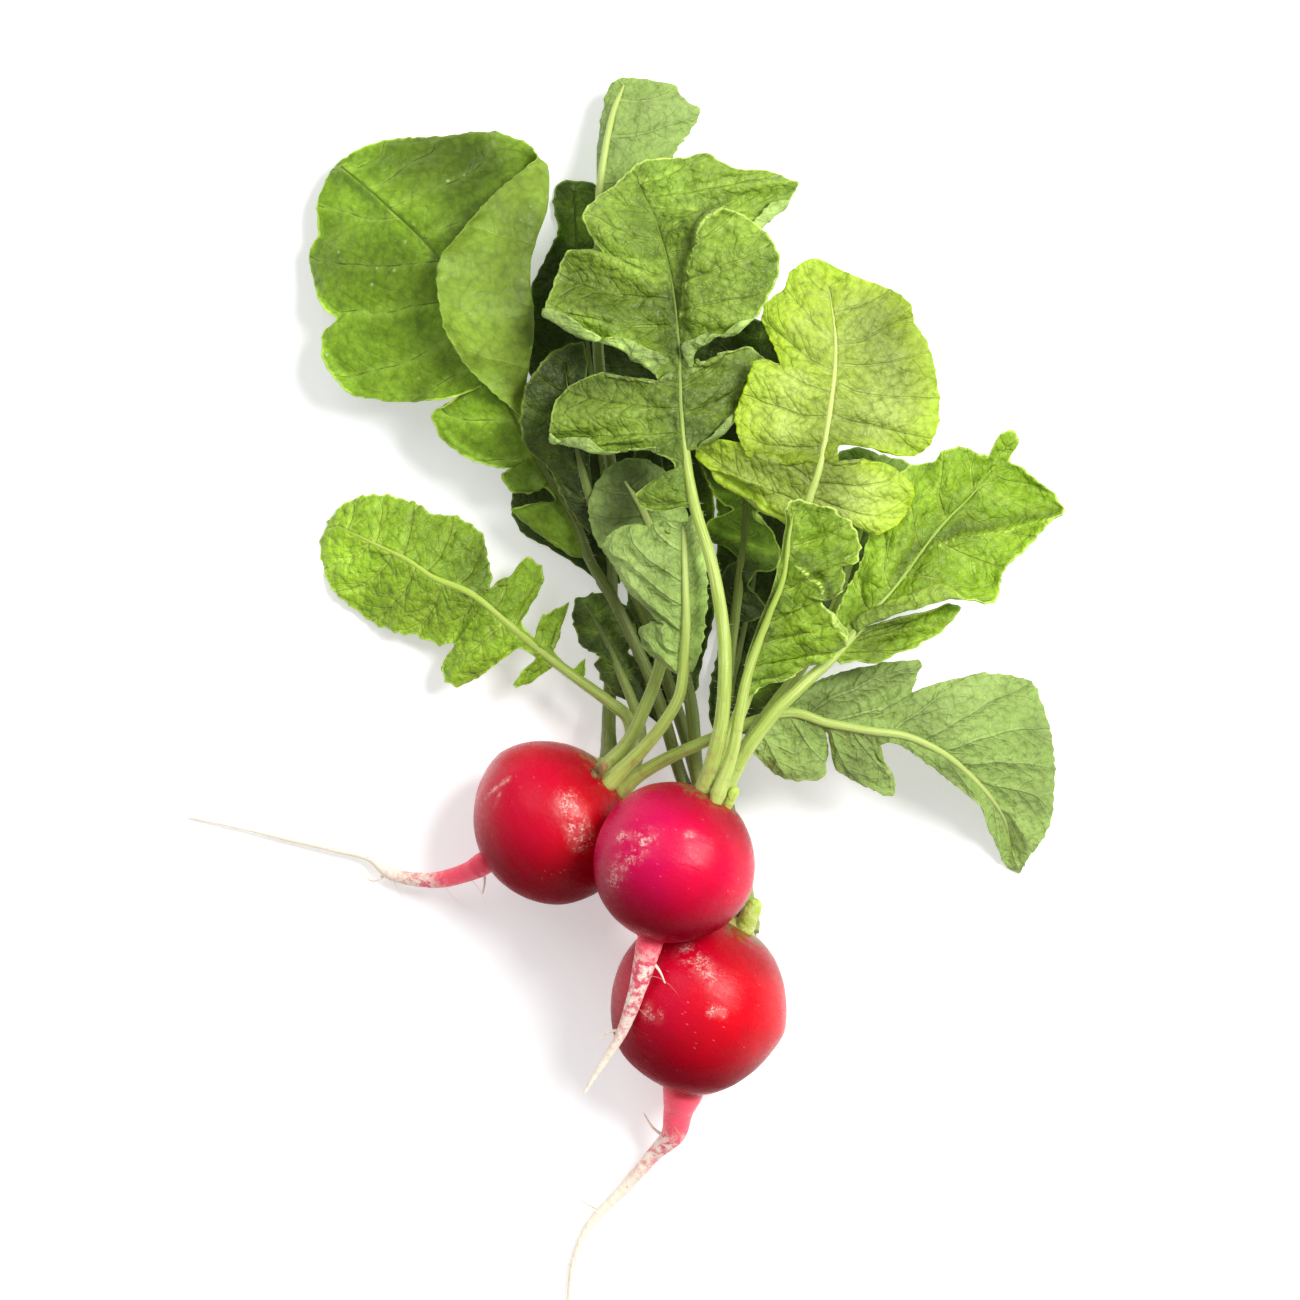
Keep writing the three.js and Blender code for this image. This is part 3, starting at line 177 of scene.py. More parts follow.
@dataclass
class Leaf:
    """One leaf: its lay-out in millimetres and what its blade is like."""

    name: str
    look: str
    slot: str
    rib: list
    left: list
    right: list
    arch: tuple = (ARCH, ARCH)
    stalk: float = STALK_BASE
    upside_down: bool = False
    tooth: float = 0.55
    wave: float = 0.7
    blister: float = 0.4
    swell: float = 0.9
    vein_gap: float = 8.0
    coarse: float = 1.0
    rib_below: float = 0.55
    folds: tuple = ()
    # patches of painted light and shade on the blade's colour
    shades: tuple = ()
    slant: float = 0.55
    # how much darker a stalk is painted below its blade, in steps of twice as bright: partly the stalk's own
    # darker colour, partly painted shade
    stalk_shade: float = 0.0
    curls: tuple = ()

    @property
    def tip(self):
        return len(self.rib) - 1

    @property
    def blade_start(self):
        return min(self.left[0][0], self.right[0][0])

    def at(self, t):
        return spline(self.rib, t, SMOOTH)

    def radius(self, t):
        stalk = self.stalk + (STALK_END - self.stalk) * t / self.blade_start
        share = (t - self.blade_start) / (self.tip - self.blade_start)
        return np.where(t < self.blade_start, stalk, STALK_END + (RIB_END - STALK_END) * share)


# ---------- leaves: the fine blade ----------

SLANT = 1.1  # how far a side branch runs along its vein for each millimetre across
BRANCH_GAP = 4.6  # between the branches of one vein
TOOTH_GAP = 3.0  # between the teeth of a margin, and the finer ones on them
FINE_TOOTH_GAP = 1.3
TOOTH_REACH = 0.9  # how far in from the margin the teeth and the waves are felt
WAVE_REACH = 3.2
ROLL = 0.3  # width of the rounded rim of a blade, with its steps and its turn
ROLL_STEPS = 6
ROLL_TURN = math.radians(35)
CURL_TURN = math.radians(163)  # of a margin that is folded back over the blade
CURL_RADIUS = 0.75  # of its bend
CURL_STEPS = 7  # across the part that is folded back
STEP_FROM, STEP_TO = -0.5, 0.4  # across a step of a fold, where it begins and ends to rise
STEP_FADE = 2.5  # how softly a step dies out at its ends
NO_STEP = 9.0  # how far a step seems to be where there is none
PALE_STEP = 1.7  # how much narrower the pale rim is on a step than on a margin
SHADOW, SHADOW_WIDTH = 1.1, 1.8  # of a step, on its low side
# limits of the painted light and shade on a blade, in steps of twice as bright
DARKEST, LIGHTEST = -1.9, 2.8
WAVES = ((1.0, 6.0, 0.5), (0.7, 2.7, 0.8))  # height, size and seed of each layer of a margin's waves
PUCKERS = ((0.75, 5.0, 0.6), (0.5, 2.6, 0.7))  # and of the puckers of a blade
VEIN_DENT, VEIN_DENT_WIDTH = 1.5, 1.1
BRANCH_DENT, BRANCH_DENT_WIDTH = 0.4, 0.8
RIM_THIN = 0.55  # thickness of a blade at its rim, as a share
RIM_THICK_FROM = 3  # how far in it is at its full thickness
NO_FOLD_FROM = 0.86  # where the turns of a fold are put on a ray that has none
WIDEST = 87.35  # how far right a blade reaches
LOWEST_TOP, LOWEST_BOTTOM = 0.06, 0.01  # how far down its two faces reach


def even_rays(leaf):
    """All rays of a leaf in one round, from its left side by the tip to its right side."""
    places = max((len(side[0]) - 1) // 3 for side in (leaf.left, leaf.right))
    t, stops, phase, side_of, bow = [], [], [], [], []
    for side, rays, arch in ((1, leaf.left, leaf.arch[0]), (-1, leaf.right, leaf.arch[1])):
        rows = []
        for i, ray in enumerate(rays):
            reached = np.array(ray[1:]).reshape(-1, 3)
            if len(reached) < places:
                root = leaf.at(np.array([float(ray[0])]))[0]
                share = np.linspace(NO_FOLD_FROM, 1, places)[:, None]
                start = np.array([root[0], root[1], 0])
                reached = start + share * (reached[-1] - start)
            rows.append((ray[0], reached, RIPPLE_TURN * i, side, arch))
        if side < 0:
            rows.reverse()
        for row in rows:
            for target, value in zip((t, stops, phase, side_of, bow), row):
                target.append(value)
    return [np.array(values, float) for values in (t, stops, phase, side_of, bow)]


def teeth(along, gap, seed):
    """The in and out of a toothed margin, from 0 in a hollow to 1 at a point."""
    draw = np.random.default_rng(seed)
    count = int(along[-1] / gap) + 3
    points = np.cumsum(gap * draw.uniform(0.6, 1.4, count))
    sizes = draw.uniform(0.45, 1, count)
    place = np.interp(along, points, np.arange(count))
    share = place - np.floor(place)
    height = np.interp(place, np.arange(count), sizes)
    return height * (1 - np.sin(math.pi * share) ** 0.8)


def row_places(leaf, t, stops, row_gap):
    """Where the fine rows lie among the rays: an even step along the margin and the rib."""
    dense = np.linspace(0, len(t) - 1, (len(t) - 1) * 16 + 1)
    margin = spline(stops[:, -1], dense, TAUT)
    root = leaf.at(steady(t, dense))
    step = np.linalg.norm(np.diff(margin, axis=0), axis=1)
    step += 0.3 * np.linalg.norm(np.diff(root, axis=0), axis=1) + 1e-4
    length = np.concatenate([[0], np.cumsum(step)])
    rows = max(24, int(length[-1] / row_gap))
    return np.interp(np.linspace(0, length[-1], rows), length, dense)


def middle_surface(leaf, row_gap, column_gap):
    """The middle of a blade as a grid of rows from the rib outwards, with what each row is like."""
    t, stops, phase, side_of, bow = even_rays(leaf)
    place = row_places(leaf, t, stops, row_gap)
    index = np.arange(len(t))
    row_t = steady(t, place)
    side = np.interp(place, index, side_of)
    root = leaf.at(row_t)
    thick = leaf.radius(row_t)[:, None]
    reached = np.stack([spline(stops[:, k], place, TAUT) for k in range(stops.shape[1])], axis=1)
    reach = np.linalg.norm(reached[:, 0, :2] - root[:, :2], axis=1)[:, None]
    wavy = fade(reach / thick, 0.5 * WAVY_REACH, WAVY_REACH)[:, 0]
    reached[:, -1, 2] += wavy * RIPPLE * reach[:, 0] * np.sin(np.interp(place, index, phase))
    reached[:, :, 2] = np.maximum(reached[:, :, 2] + root[:, 2:], BLADE_LOW)
    away = np.linalg.norm(reached[:, 0] - root, axis=1)[:, None]
    start = root + (reached[:, 0] - root) * np.minimum(1, 0.4 * thick / away)
    middle = start + ARCH_PLACE * (reached[:, 0] - start)
    middle[:, 2] = np.maximum(middle[:, 2] + np.interp(place, index, bow) * reach[:, 0], BLADE_LOW)
    controls = [start, middle, reached[:, 0]]
    if reached.shape[1] > 1:
        controls += [reached[:, 1], 0.45 * reached[:, 1] + 0.55 * reached[:, 2], reached[:, 2]]
    controls = np.stack(controls, axis=1)
    lengths = np.percentile(np.linalg.norm(np.diff(controls, axis=1), axis=-1), 85, axis=0)
    counts = [max(3, int(round(length / column_gap))) for length in lengths]
    grid = rows_through(controls, counts)
    near_tip = np.clip(leaf.tip - row_t, 0, 1)
    return grid, {"place": place, "side": side * near_tip, "wavy": wavy, "reach": reach[:, 0]}


def grid_normals(grid):
    """The normals of a grid of rows, also where some of its points lie on each other."""
    along = np.gradient(grid, axis=0)
    across = np.gradient(grid, axis=1)
    normals = unit(np.cross(along, across))
    weak = np.linalg.norm(normals, axis=-1) < 0.5
    normals[weak] = (0, 0, 1)
    for _ in range(2):
        spread = normals.copy()
        spread[1:] += normals[:-1]
        spread[:-1] += normals[1:]
        spread[:, 1:] += normals[:, :-1]
        spread[:, :-1] += normals[:, 1:]
        normals = unit(spread)
    return normals


def lengths_along(grid):
    """How far each point is from the rib, along its row."""
    steps = np.linalg.norm(np.diff(grid, axis=1), axis=-1)
    return np.concatenate([np.zeros((len(grid), 1)), np.cumsum(steps, axis=1)], axis=1)


def shares_along(grid):
    """The same as a share of the row."""
    far = lengths_along(grid)
    return far / np.maximum(far[:, -1:], 1e-6)


def from_margin(grid):
    """How far each point is from the margin, along its row."""
    far = lengths_along(grid)
    return far[:, -1:] - far


def layered(points, layers, seed):
    """Noise in layers, each with its height, its size and its own seed."""
    return sum(height * noise(points, size, seed + more) for height, size, more in layers)


def tooth_margin(grid, leaf, rows, seed):
    """Gives the margin of a blade its teeth and its waves."""
    along = length_from_start(grid[:, -1])
    outwards = unit(grid[:, -1] - grid[:, -3])
    from_edge = from_margin(grid)
    jags = teeth(along, TOOTH_GAP, seed) - 0.75 + 0.35 * teeth(along, FINE_TOOTH_GAP, seed + 50)
    depth = leaf.tooth * rows["wavy"] * jags
    rows["flap_teeth"] = depth * rows["curl"]
    depth = depth * (1 - rows["curl"])
    grid = grid + outwards[:, None] * (depth[:, None] * np.exp(-from_edge / TOOTH_REACH))[..., None]
    line = np.stack([along, 0 * along, 0 * along], axis=1)
    lift = leaf.wave * rows["wavy"] * layered(line, WAVES, seed) * (1 - 0.6 * rows["curl"])
    return grid + grid_normals(grid) * (lift[:, None] * np.exp(-from_edge / WAVE_REACH))[..., None]


def vein_lines(grid, leaf, rows, seed):
    """For each point: its place among the veins, their spacing, and how far it is along one."""
    column = int(0.6 * (grid.shape[1] - 1))
    across = unit(np.gradient(grid, axis=1))
    along = np.gradient(grid, axis=0)
    sideways = along - across * (along * across).sum(-1, keepdims=True)
    spread = np.linalg.norm(sideways, axis=-1)
    turn = np.cumsum(spread[:, column] / leaf.vein_gap)
    vein = turn[:, None] - leaf.slant * rows["side"][:, None] * shares_along(grid) ** 1.5
    vein = vein + 0.13 * noise(grid, 9.0, seed + 0.1) + 0.04 * noise(grid, 3.5, seed + 0.2)
    step = np.maximum(np.gradient(turn)[:, None], 1e-4)
    gap = np.clip(spread / step, 0.4, 1.6 * leaf.vein_gap)
    return vein, gap, lengths_along(grid) + 1.3 * noise(grid, 6.0, seed + 0.3)


def vein_distance(vein, gap):
    """How far a point is from the nearest line, where the lines lie at whole numbers."""
    return np.abs(vein - np.round(vein)) * gap


def branch_place(vein, gap, far):
    """Counts the side branches that a point has passed, along its own vein."""
    return (far - SLANT * vein_distance(vein, gap)) / BRANCH_GAP


def fold_heights(leaf, grid):
    """How far folds lift each point (steps on their right side), how far a step is, and its shadow."""
    total, shadow, aside, past = (np.zeros(grid.shape[:2]) for _ in range(4))
    from_step = np.full(total.shape, NO_STEP)
    for kind, rise, width, route in leaf.folds:
        line = spline(route, np.linspace(0, len(route) - 1, 8 * len(route)), SMOOTH)
        best = np.full(total.shape, np.inf)
        for start, end in zip(line[:-1], line[1:]):
            way = (end - start) / np.linalg.norm(end - start)
            away = grid[..., :2] - start
            along = away @ way
            inside = np.clip(along, 0, np.linalg.norm(end - start))
            gap = np.linalg.norm(away - inside[..., None] * way, axis=-1)
            nearer = gap < best
            best = np.where(nearer, gap, best)
            aside = np.where(nearer, away @ np.array([way[1], -way[0]]), aside)
            past = np.where(nearer, np.where(along < 0, -along, along - inside), past)
        if kind == "ridge":
            total += rise * bell(best, width)
            continue
        ends = bell(past, STEP_FADE)
        total += rise * ends * fade(aside, STEP_FROM, STEP_TO) * np.exp(-np.maximum(aside, 0) / width)
        away = np.abs(aside - STEP_TO) + best - np.abs(aside)
        from_step = np.minimum(from_step, PALE_STEP * away + NO_STEP * (1 - ends))
        shadow += SHADOW * ends * (1 - fade(aside, -0.7, 0.1)) * bell(aside, SHADOW_WIDTH)
    return total, from_step, shadow


def painted_light_and_shade_of(leaf, grid):
    """The painted light and shade of each point of a blade, in steps of twice as bright."""
    total = np.zeros(grid.shape[:2])
    for x, y, radius, amount in leaf.shades:
        apart = (grid[..., 0] - x) ** 2 + (grid[..., 1] - y) ** 2
        total += amount * np.exp(-apart / radius ** 2)
    return np.clip(total + 0.12 * noise(grid, 9.0, 3.3), DARKEST, LIGHTEST)


def curls_of(leaf, place):
    """How far the rim is folded back at each row, from 0 to 1, by how much, and whether up or down."""
    share = np.zeros(len(place))
    width = np.full(len(place), ROLL)
    way = np.full(len(place), -1.0)
    for first, last, curl in leaf.curls:
        ends = min(0.9, 0.4 * (last - first))
        here = fade(place, first, first + ends) * (1 - fade(place, last - ends, last))
        share = share + here
        width = width + (abs(curl) - ROLL) * here
        way = way + (math.copysign(1, curl) + 1) * here
    return share, width, way


def curled_edge(grid, normals, leaf, rows):
    """The rolled or folded rim beyond a grid's last column, and the grid drawn in to make room."""
    share, width, way = (rows[key] for key in ("curl", "width", "way"))
    turn = ROLL_TURN + (CURL_TURN - ROLL_TURN) * share
    radius = ROLL / ROLL_TURN + (CURL_RADIUS - ROLL / ROLL_TURN) * share
    outwards = unit(grid[:, -1] - grid[:, -3])
    upwards = way[:, None] * normals[:, -1]
    room = radius * np.sin(np.minimum(turn, math.pi / 2))
    grid = grid - outwards[:, None] * (room[:, None] * shares_along(grid) ** 3)[..., None]
    edge = grid[:, -1]
    rolls = []
    for step in range(1, ROLL_STEPS + 1):
        angle = turn * step / ROLL_STEPS
        out, up = radius * np.sin(angle), radius * (1 - np.cos(angle))
        rolls.append(edge + out[:, None] * outwards + up[:, None] * upwards)
    if leaf.curls:
        flap = np.maximum(width - radius * turn + rows["flap_teeth"], 0.02) * share + 0.02
        back = np.cos(turn)[:, None] * outwards + np.sin(turn)[:, None] * upwards
        droop = np.sin(turn)[:, None] * upwards
        bend = rolls[-1]
        for step in range(1, CURL_STEPS + 1):
            reach = (flap * step / CURL_STEPS)[:, None]
            rolls.append(bend + reach * (back - 0.55 * (step / CURL_STEPS) * droop))
    return np.concatenate([grid, np.stack(rolls, axis=1)], axis=1)


def sheet_mesh(name, top, bottom, values):
    """A closed thin sheet between two grids, with a value of each kind at each point."""
    rows, columns = top.shape[:2]
    count = rows * columns
    index = np.arange(count).reshape(rows, columns)
    a, b, c, d = index[:-1, :-1], index[1:, :-1], index[1:, 1:], index[:-1, 1:]
    upper = np.stack([a, b, c, d], axis=-1).reshape(-1, 4)
    lower = upper[:, ::-1] + count
    round_edge = np.concatenate([index[:-1, 0], index[-1, :-1], index[:0:-1, -1], index[0, :0:-1]])
    following = np.roll(round_edge, -1)
    walls = np.stack([round_edge, round_edge + count, following + count, following], axis=-1)
    faces = np.concatenate([upper, lower, walls])
    mesh = bpy.data.meshes.new(name)
    points = np.concatenate([top.reshape(-1, 3), bottom.reshape(-1, 3)]) * MM
    mesh.from_pydata(points.tolist(), [], faces.tolist())
    store_values(mesh, values)
    mesh.shade_smooth()
    mesh.update()
    return mesh


def blade_mesh(leaf, seed, sizes):
    """The blade of a leaf: veined, puckered, toothed and rolled at the rim."""
    row_gap, column_gap = (gap / MM * leaf.coarse for gap in (sizes.row_gap, sizes.column_gap))
    grid, rows = middle_surface(leaf, row_gap, column_gap)
    rows["curl"], rows["width"], rows["way"] = curls_of(leaf, rows["place"])
    grid = tooth_margin(grid, leaf, rows, seed)
    lift, from_step, shadow = fold_heights(leaf, grid)
    columns = grid.shape[1]
    grid[..., 2] += lift * fade(lengths_along(grid), 0.3, 3)
    grid = curled_edge(grid, grid_normals(grid), leaf, rows)
    vein, gap, far = vein_lines(grid, leaf, rows, seed)
    near_vein = vein_distance(vein, gap)
    branch = branch_place(vein, gap, far)
    near_branch = vein_distance(branch, BRANCH_GAP) / math.hypot(1, SLANT)
    true_far = lengths_along(grid)
    rim = from_margin(grid)
    rim_colour = rim.copy()
    rim_colour[:, :columns] = np.minimum(rim[:, :columns], from_step)
    open_blade = fade(rim, 0.2, 2.5) * fade(true_far, 0.5, 3)
    dents = VEIN_DENT * bell(near_vein, VEIN_DENT_WIDTH) + BRANCH_DENT * bell(near_branch, BRANCH_DENT_WIDTH)
    facing = -1 if leaf.upside_down else 1
    rise = facing * leaf.blister * (layered(grid, PUCKERS, seed) - dents)
    rise = rise + leaf.swell * noise(grid, 13.0, seed + 0.9)
    grid = grid + grid_normals(grid) * (open_blade * rise)[..., None]
    normals = grid_normals(grid)
    half = 0.5 * sizes.blade / MM * (RIM_THIN + (1 - RIM_THIN) * fade(rim, 0, RIM_THICK_FROM))
    top = grid + normals * half[..., None]
    bottom = grid - normals * half[..., None]
    for face, low in ((top, LOWEST_TOP), (bottom, LOWEST_BOTTOM)):
        face[..., 0] = np.minimum(face[..., 0], WIDEST)
        face[..., 2] = np.maximum(face[..., 2], low)
    # Painted light and shade: the leaf's shade patches, less the painted shadow on the low side of each step
    shade = painted_light_and_shade_of(leaf, grid)
    shade[:, :columns] -= shadow
    pairs = {"vein": vein, "gap": gap, "far": true_far, "branch": branch, "rim": rim_colour, "shade": shade}
    values = {kind: np.stack([value, value]) for kind, value in pairs.items()}
    under = np.full_like(vein, leaf.upside_down)
    values["under"] = np.stack([under, 1 - under])
    return sheet_mesh(leaf.name + "_blade", top, bottom, values)


LEAVES = [
    # Broad fan-shaped leaf, its right half folded back over itself
    Leaf(
        name="leaf_3_fan", look="fan", slot="leaf_mid", stalk_shade=-1.4, tooth=0.45, wave=0.8, blister=0.12,
        swell=1.7, vein_gap=12.0, rib_below=1.05,
        shades=(
            (-39.2, 108.2, 8, -0.9), (-27.2, 109.2, 6.8, -0.9), (-32.2, 98.2, 4.8, -0.6),
            (-57.2, 88.8, 5.2, -0.55), (-46.8, 87.6, 6, -0.55), (-55.2, 103.2, 7.6, 0.4),
            (-44.2, 96.2, 4.8, 0.4), (-59.2, 77.2, 6.8, 0.3), (-19.8, 81.2, 5.2, -0.6),
            (-19.8, 71.2, 4.8, -0.8), (-22.2, 64.2, 3.6, -0.7), (-19.2, 96.2, 4, -0.5),
            (-28.2, 94.2, 3.2, 0.4), (-39.2, 68.8, 5.2, -0.5), (-33.2, 74.2, 4, 0.35), (-31.2, 58.2, 6, 0.7),
            (-20.2, 45.2, 4, -0.8), (-16.2, 38.2, 5.2, -0.8), (-18.4, 90.2, 4, -0.35),
            (-18.8, 81.2, 4, -0.35), (-41.2, 61.2, 2.6, -1.2), (-37.2, 113.2, 6, -0.3),
            (-28.8, 106.2, 5, -0.3), (-27.2, 88.8, 9, -0.25), (-33.2, 111.2, 10, -0.25),
            (-39.2, 103.2, 9, -0.2), (-19.2, 91.2, 8, -0.2), (-49.2, 99.2, 8, 0.2), (-55.2, 75.2, 12, 0.15),
            (-30.2, 94.2, 6, 0.2),
        ),
        rib=[
            [21.2, -42, 13], [17.8, -32.4, 11.5], [13.6, -19.8, 10.5], [10.6, -12.8, 10.5], [5.8, 3.2, 12],
            [-2, 20.2, 13.5], [-7, 28.8, 14.5], [-10, 36.4, 15.5], [-15, 44.4, 17.5], [-19.2, 51.6, 20],
            [-24.2, 62.2, 22], [-29.6, 77.2, 23], [-38, 90, 22], [-48.2, 100.2, 17], [-56.8, 107.6, 10],
        ],
        left=[
            [6, -7.6, 29.4, 0], [6.2, -13.2, 31.4, -1.5], [6.6, -19.2, 35.6, -3], [7, -23, 39, -4],
            [7.3, -19.2, 40.2, -2.5], [7.7, -14, 40.8, -0.5], [8, -16.2, 43.6, -0.3],
            [8.15, -19.6, 42.2, -1.5], [8.3, -23.6, 43.6, -3], [8.5, -25.2, 46.4, -3],
            [8.8, -21.6, 48.4, -1.5], [9, -25.2, 47.4, -3], [9.3, -31.6, 49.2, -4.5], [9.6, -36.6, 53.2, -6],
            [9.9, -38.8, 58.2, -6], [10.2, -33.6, 61.6, -4], [10.4, -28.8, 63.6, -1], [10.6, -35.6, 61, -4],
            [10.8, -45.4, 60.6, -7], [11, -55, 62.2, -10], [11.3, -60.6, 68.6, -13],
            [11.5, -60.2, 74.2, -13], [11.65, -57.8, 77, -11.5], [11.8, -61, 80, -13],
            [12.1, -63.4, 88.8, -15], [12.6, -61.6, 93.8, -14], [13, -62, 99.8, -11], [13.5, -60.4, 104, -8],
            [14, -58.8, 107.2, -5],
        ],
        right=[
            [9.5, -20, 56.2, 0.3, -19.8, 56.4, 0.8, -20, 57.2, 1.2],
            [10, -19.6, 61.8, 0.5, -19.4, 62, 2.2, -25.6, 61.6, 3.6],
            [10.4, -19.2, 68.8, 0.6, -19, 69.2, 3.2, -32, 67.8, 5],
            [10.8, -19, 76.2, 0.6, -18.8, 76.6, 4, -36.2, 75, 6],
            [11.2, -19, 83.2, 0.4, -18.6, 83.6, 4.4, -37.6, 82.8, 6.6],
            [11.6, -18.4, 90.2, -0.4, -18, 90.6, 4, -37.2, 88.8, 6.6],
            [12, -17.2, 97.2, -1.2, -16.8, 97.6, 3, -30.8, 97.2, 6],
            [12.4, -16.6, 103.2, -2.2, -16.2, 103.6, 1.6, -24.8, 103.4, 4.6],
            [12.7, -16.8, 108, -3, -16.4, 108.4, -0.6, -18, 109.2, 1.6],
            [12.9, -24.2, 107.6, -2.6, -21.2, 110.2, -3, -19, 112, -3.2],
            [13.1, -31.2, 109.6, -2.6, -28.2, 112.6, -3.4, -26.4, 115, -4],
            [13.4, -38, 109.8, -2.4, -36.4, 112.4, -3.4, -35.2, 114, -4],
            [13.7, -45.6, 109.8, -2, -44.8, 112, -3, -44.6, 113.6, -3.6],
            [14, -50.8, 109.8, -1.5, -50, 111.4, -2, -49.4, 112.6, -2.6],
            [14, -55.2, 109, -1, -55.2, 109.6, -1.4, -55.2, 110.4, -2],
        ],
    ),
    # Tall leaf that shows its pale underside
    Leaf(
        name="leaf_3_tall", look="pale_back", slot="leaf_grey", upside_down=True, stalk_shade=-1, tooth=0.7,
        blister=0.26, vein_gap=9.0,
        shades=((2.8, 119.2, 6.8, -0.2), (-2.4, 111.2, 3.6, -0.35)),
        rib=[
            [22.6, -41.6, 16.8], [19.2, -32.4, 15], [16, -20.8, 13], [14, -11.8, 12.5], [12.8, 1.2, 13],
            [8.4, 16.2, 15], [2, 32.2, 16.5], [-2.8, 47.2, 17], [-4.6, 61.2, 17], [-5.6, 72.8, 17],
            [-5.4, 89.2, 16], [-5.2, 103.2, 15], [-3, 116.8, 12], [-0.4, 124, 8],
        ],
        left=[
            [10.6, -5.8, 98.2, -0.5], [11.2, -5.8, 105.2, -2], [11.6, -5.8, 111.4, -3],
            [12, -5.2, 118.4, -3], [12.6, -3.8, 122.8, -2], [13, -1.4, 125.4, -1],
        ],
        right=[
            [9.3, -4, 77.2, 0], [9.8, 2.4, 81.2, -1], [10.3, 7.6, 90.2, -1.5], [10.9, 9.2, 101.2, -1.5],
            [11.4, 9.8, 109.8, -2], [11.8, 12.6, 114.2, -2.5], [12.1, 15.2, 118.6, -3],
            [12.4, 12.4, 120.6, -2.5], [12.8, 10.2, 124, -3], [13, 6.4, 125.2, -2], [13, 2.4, 125.6, -1.2],
        ],
    ),
    # Dark leaf at the bottom of the pile, in painted shade
    Leaf(
        name="leaf_1_rear", look="dark", slot="leaf_dark", stalk_shade=-1.2, coarse=1.7,
        shades=((-10, 102.2, 4, 1.7), (-9.6, 94.2, 4, 1.9), (2.8, 71.2, 6, -0.3), (-9.6, 98.2, 4.4, 0.9)),
        rib=[
            [-3.4, -10.6, 15], [-3.4, -1.8, 7.2], [-3, 11.2, 4.2], [-2.8, 27.2, 2.6], [-4.4, 45.2, 2],
            [-6.4, 61.2, 2.2], [-8.2, 77.2, 2.4], [-9.8, 92.2, 2.2], [-10.4, 103.2, 1.6],
        ],
        left=[
            [2.8, -4.8, 22.8, -0.2], [2.95, -7.2, 26.2, -0.6], [3.1, -11.2, 29, -0.8],
            [3.25, -16.2, 31.8, -1], [3.45, -20.8, 34.6, -1.1], [3.7, -23.2, 38.8, -1.2],
            [4, -22.4, 44, -1.2], [4.35, -19.6, 50, -1.3], [4.7, -18.2, 56.2, -1.4],
            [5.1, -18.8, 62.8, -1.4], [5.45, -20, 68.8, -1.5], [5.8, -20.4, 74.2, -1.6],
            [6.3, -19.2, 83.2, -1.6], [6.8, -16.2, 90.2, -1.6], [7.2, -13.6, 94.8, -1.4],
            [7.6, -14.4, 100.2, -1.4], [8, -14, 104, -1.2],
        ],
        right=[
            [2.9, -1.4, 24.4, -0.5], [3.05, 0.6, 27.6, -1], [3.3, 2.4, 32.2, -1.1], [3.6, 2.8, 37.6, -1],
            [4, 2.8, 43.6, -1], [4.4, 3.2, 50.2, -1], [4.8, 4.8, 55.2, -1], [5.2, 7.6, 61.2, -1.2],
            [5.6, 8.4, 67.6, -1.2], [6, 7.2, 75.2, -1.2], [6.4, 4, 82, -1.2], [6.8, -0.8, 88, -1],
            [7.1, -4.8, 92.2, -1], [7.5, -5.6, 98.2, -1.2], [8, -5.8, 104.4, -1.2], [8, -10, 105.2, -1],
        ],
    ),
    # Upright dark leaf left of the middle, in painted shade
    Leaf(
        name="leaf_3_dark", look="dark", slot="leaf_dark", stalk_shade=-1.2, coarse=1.2,
        shades=((-17.2, 57.2, 4, 0.9), (-14.8, 49.8, 4, 0.9)),
        rib=[
            [21.4, -43.2, 9.4], [19.2, -32.8, 7], [15.6, -19.8, 5.6], [12.4, -7.8, 5.4], [7.2, 8.2, 7],
            [2.4, 21.2, 11], [-3.6, 32.2, 17], [-6.8, 40.2, 21], [-9.6, 50.2, 24.5], [-11.2, 60.2, 26.5],
            [-12.2, 68, 26],
        ],
        left=[
            [6.4, -7.2, 34.4, -0.2], [6.9, -12, 40, -0.6], [7.4, -15.4, 47.6, 0], [8, -20.4, 52.2, 1],
            [8.5, -21.2, 57.4, 2], [9, -20.4, 63, 2.6], [9.5, -17.6, 67.6, 2.6], [10, -14.6, 70.8, 1],
        ],
        right=[
            [6.4, -4.6, 35.2, -0.2], [7.2, -6.6, 45.2, -0.2], [8, -7.2, 53.2, 0.2], [9, -7.6, 62.2, 0.6],
            [9.6, -7.6, 69.2, 0.4], [10, -8.8, 72.6, 0.2],
        ],
    ),
    # Mottled leaf in the middle of the pile
    Leaf(
        name="leaf_1_inner", look="pale_back", slot="leaf_grey", upside_down=True, stalk_shade=-0.4,
        coarse=1.3, blister=0.5,
        shades=(
            (2.8, 45.2, 4.8, -0.9), (-1.6, 39.2, 4.4, -0.8), (-5.2, 35.2, 3.2, -0.6),
            (-0.2, 43.6, 5.2, -0.6),
        ),
        rib=[
            [-4.2, -12.4, 22], [0.4, -7.2, 24], [3.4, -1.2, 26], [6.8, 8.2, 27.5], [8.4, 19.2, 28],
            [7.2, 29.2, 28], [3.8, 38.2, 27], [-0.2, 44.8, 25],
        ],
        left=[
            [4.6, 6, 24.2, -0.2], [5.1, -0.2, 25.8, -1.6], [5.5, -4, 30, -2.2], [6, -6.8, 34.4, -2.4],
            [6.3, -7.8, 39.6, -2.2], [6.7, -6.8, 43.8, -2], [7, -4.2, 46.8, -1.5],
        ],
        right=[
            [4.6, 10, 24.2, -0.2], [5.2, 13.4, 29.2, -1], [5.7, 13, 36.8, -1], [6.2, 10.8, 42.8, -1],
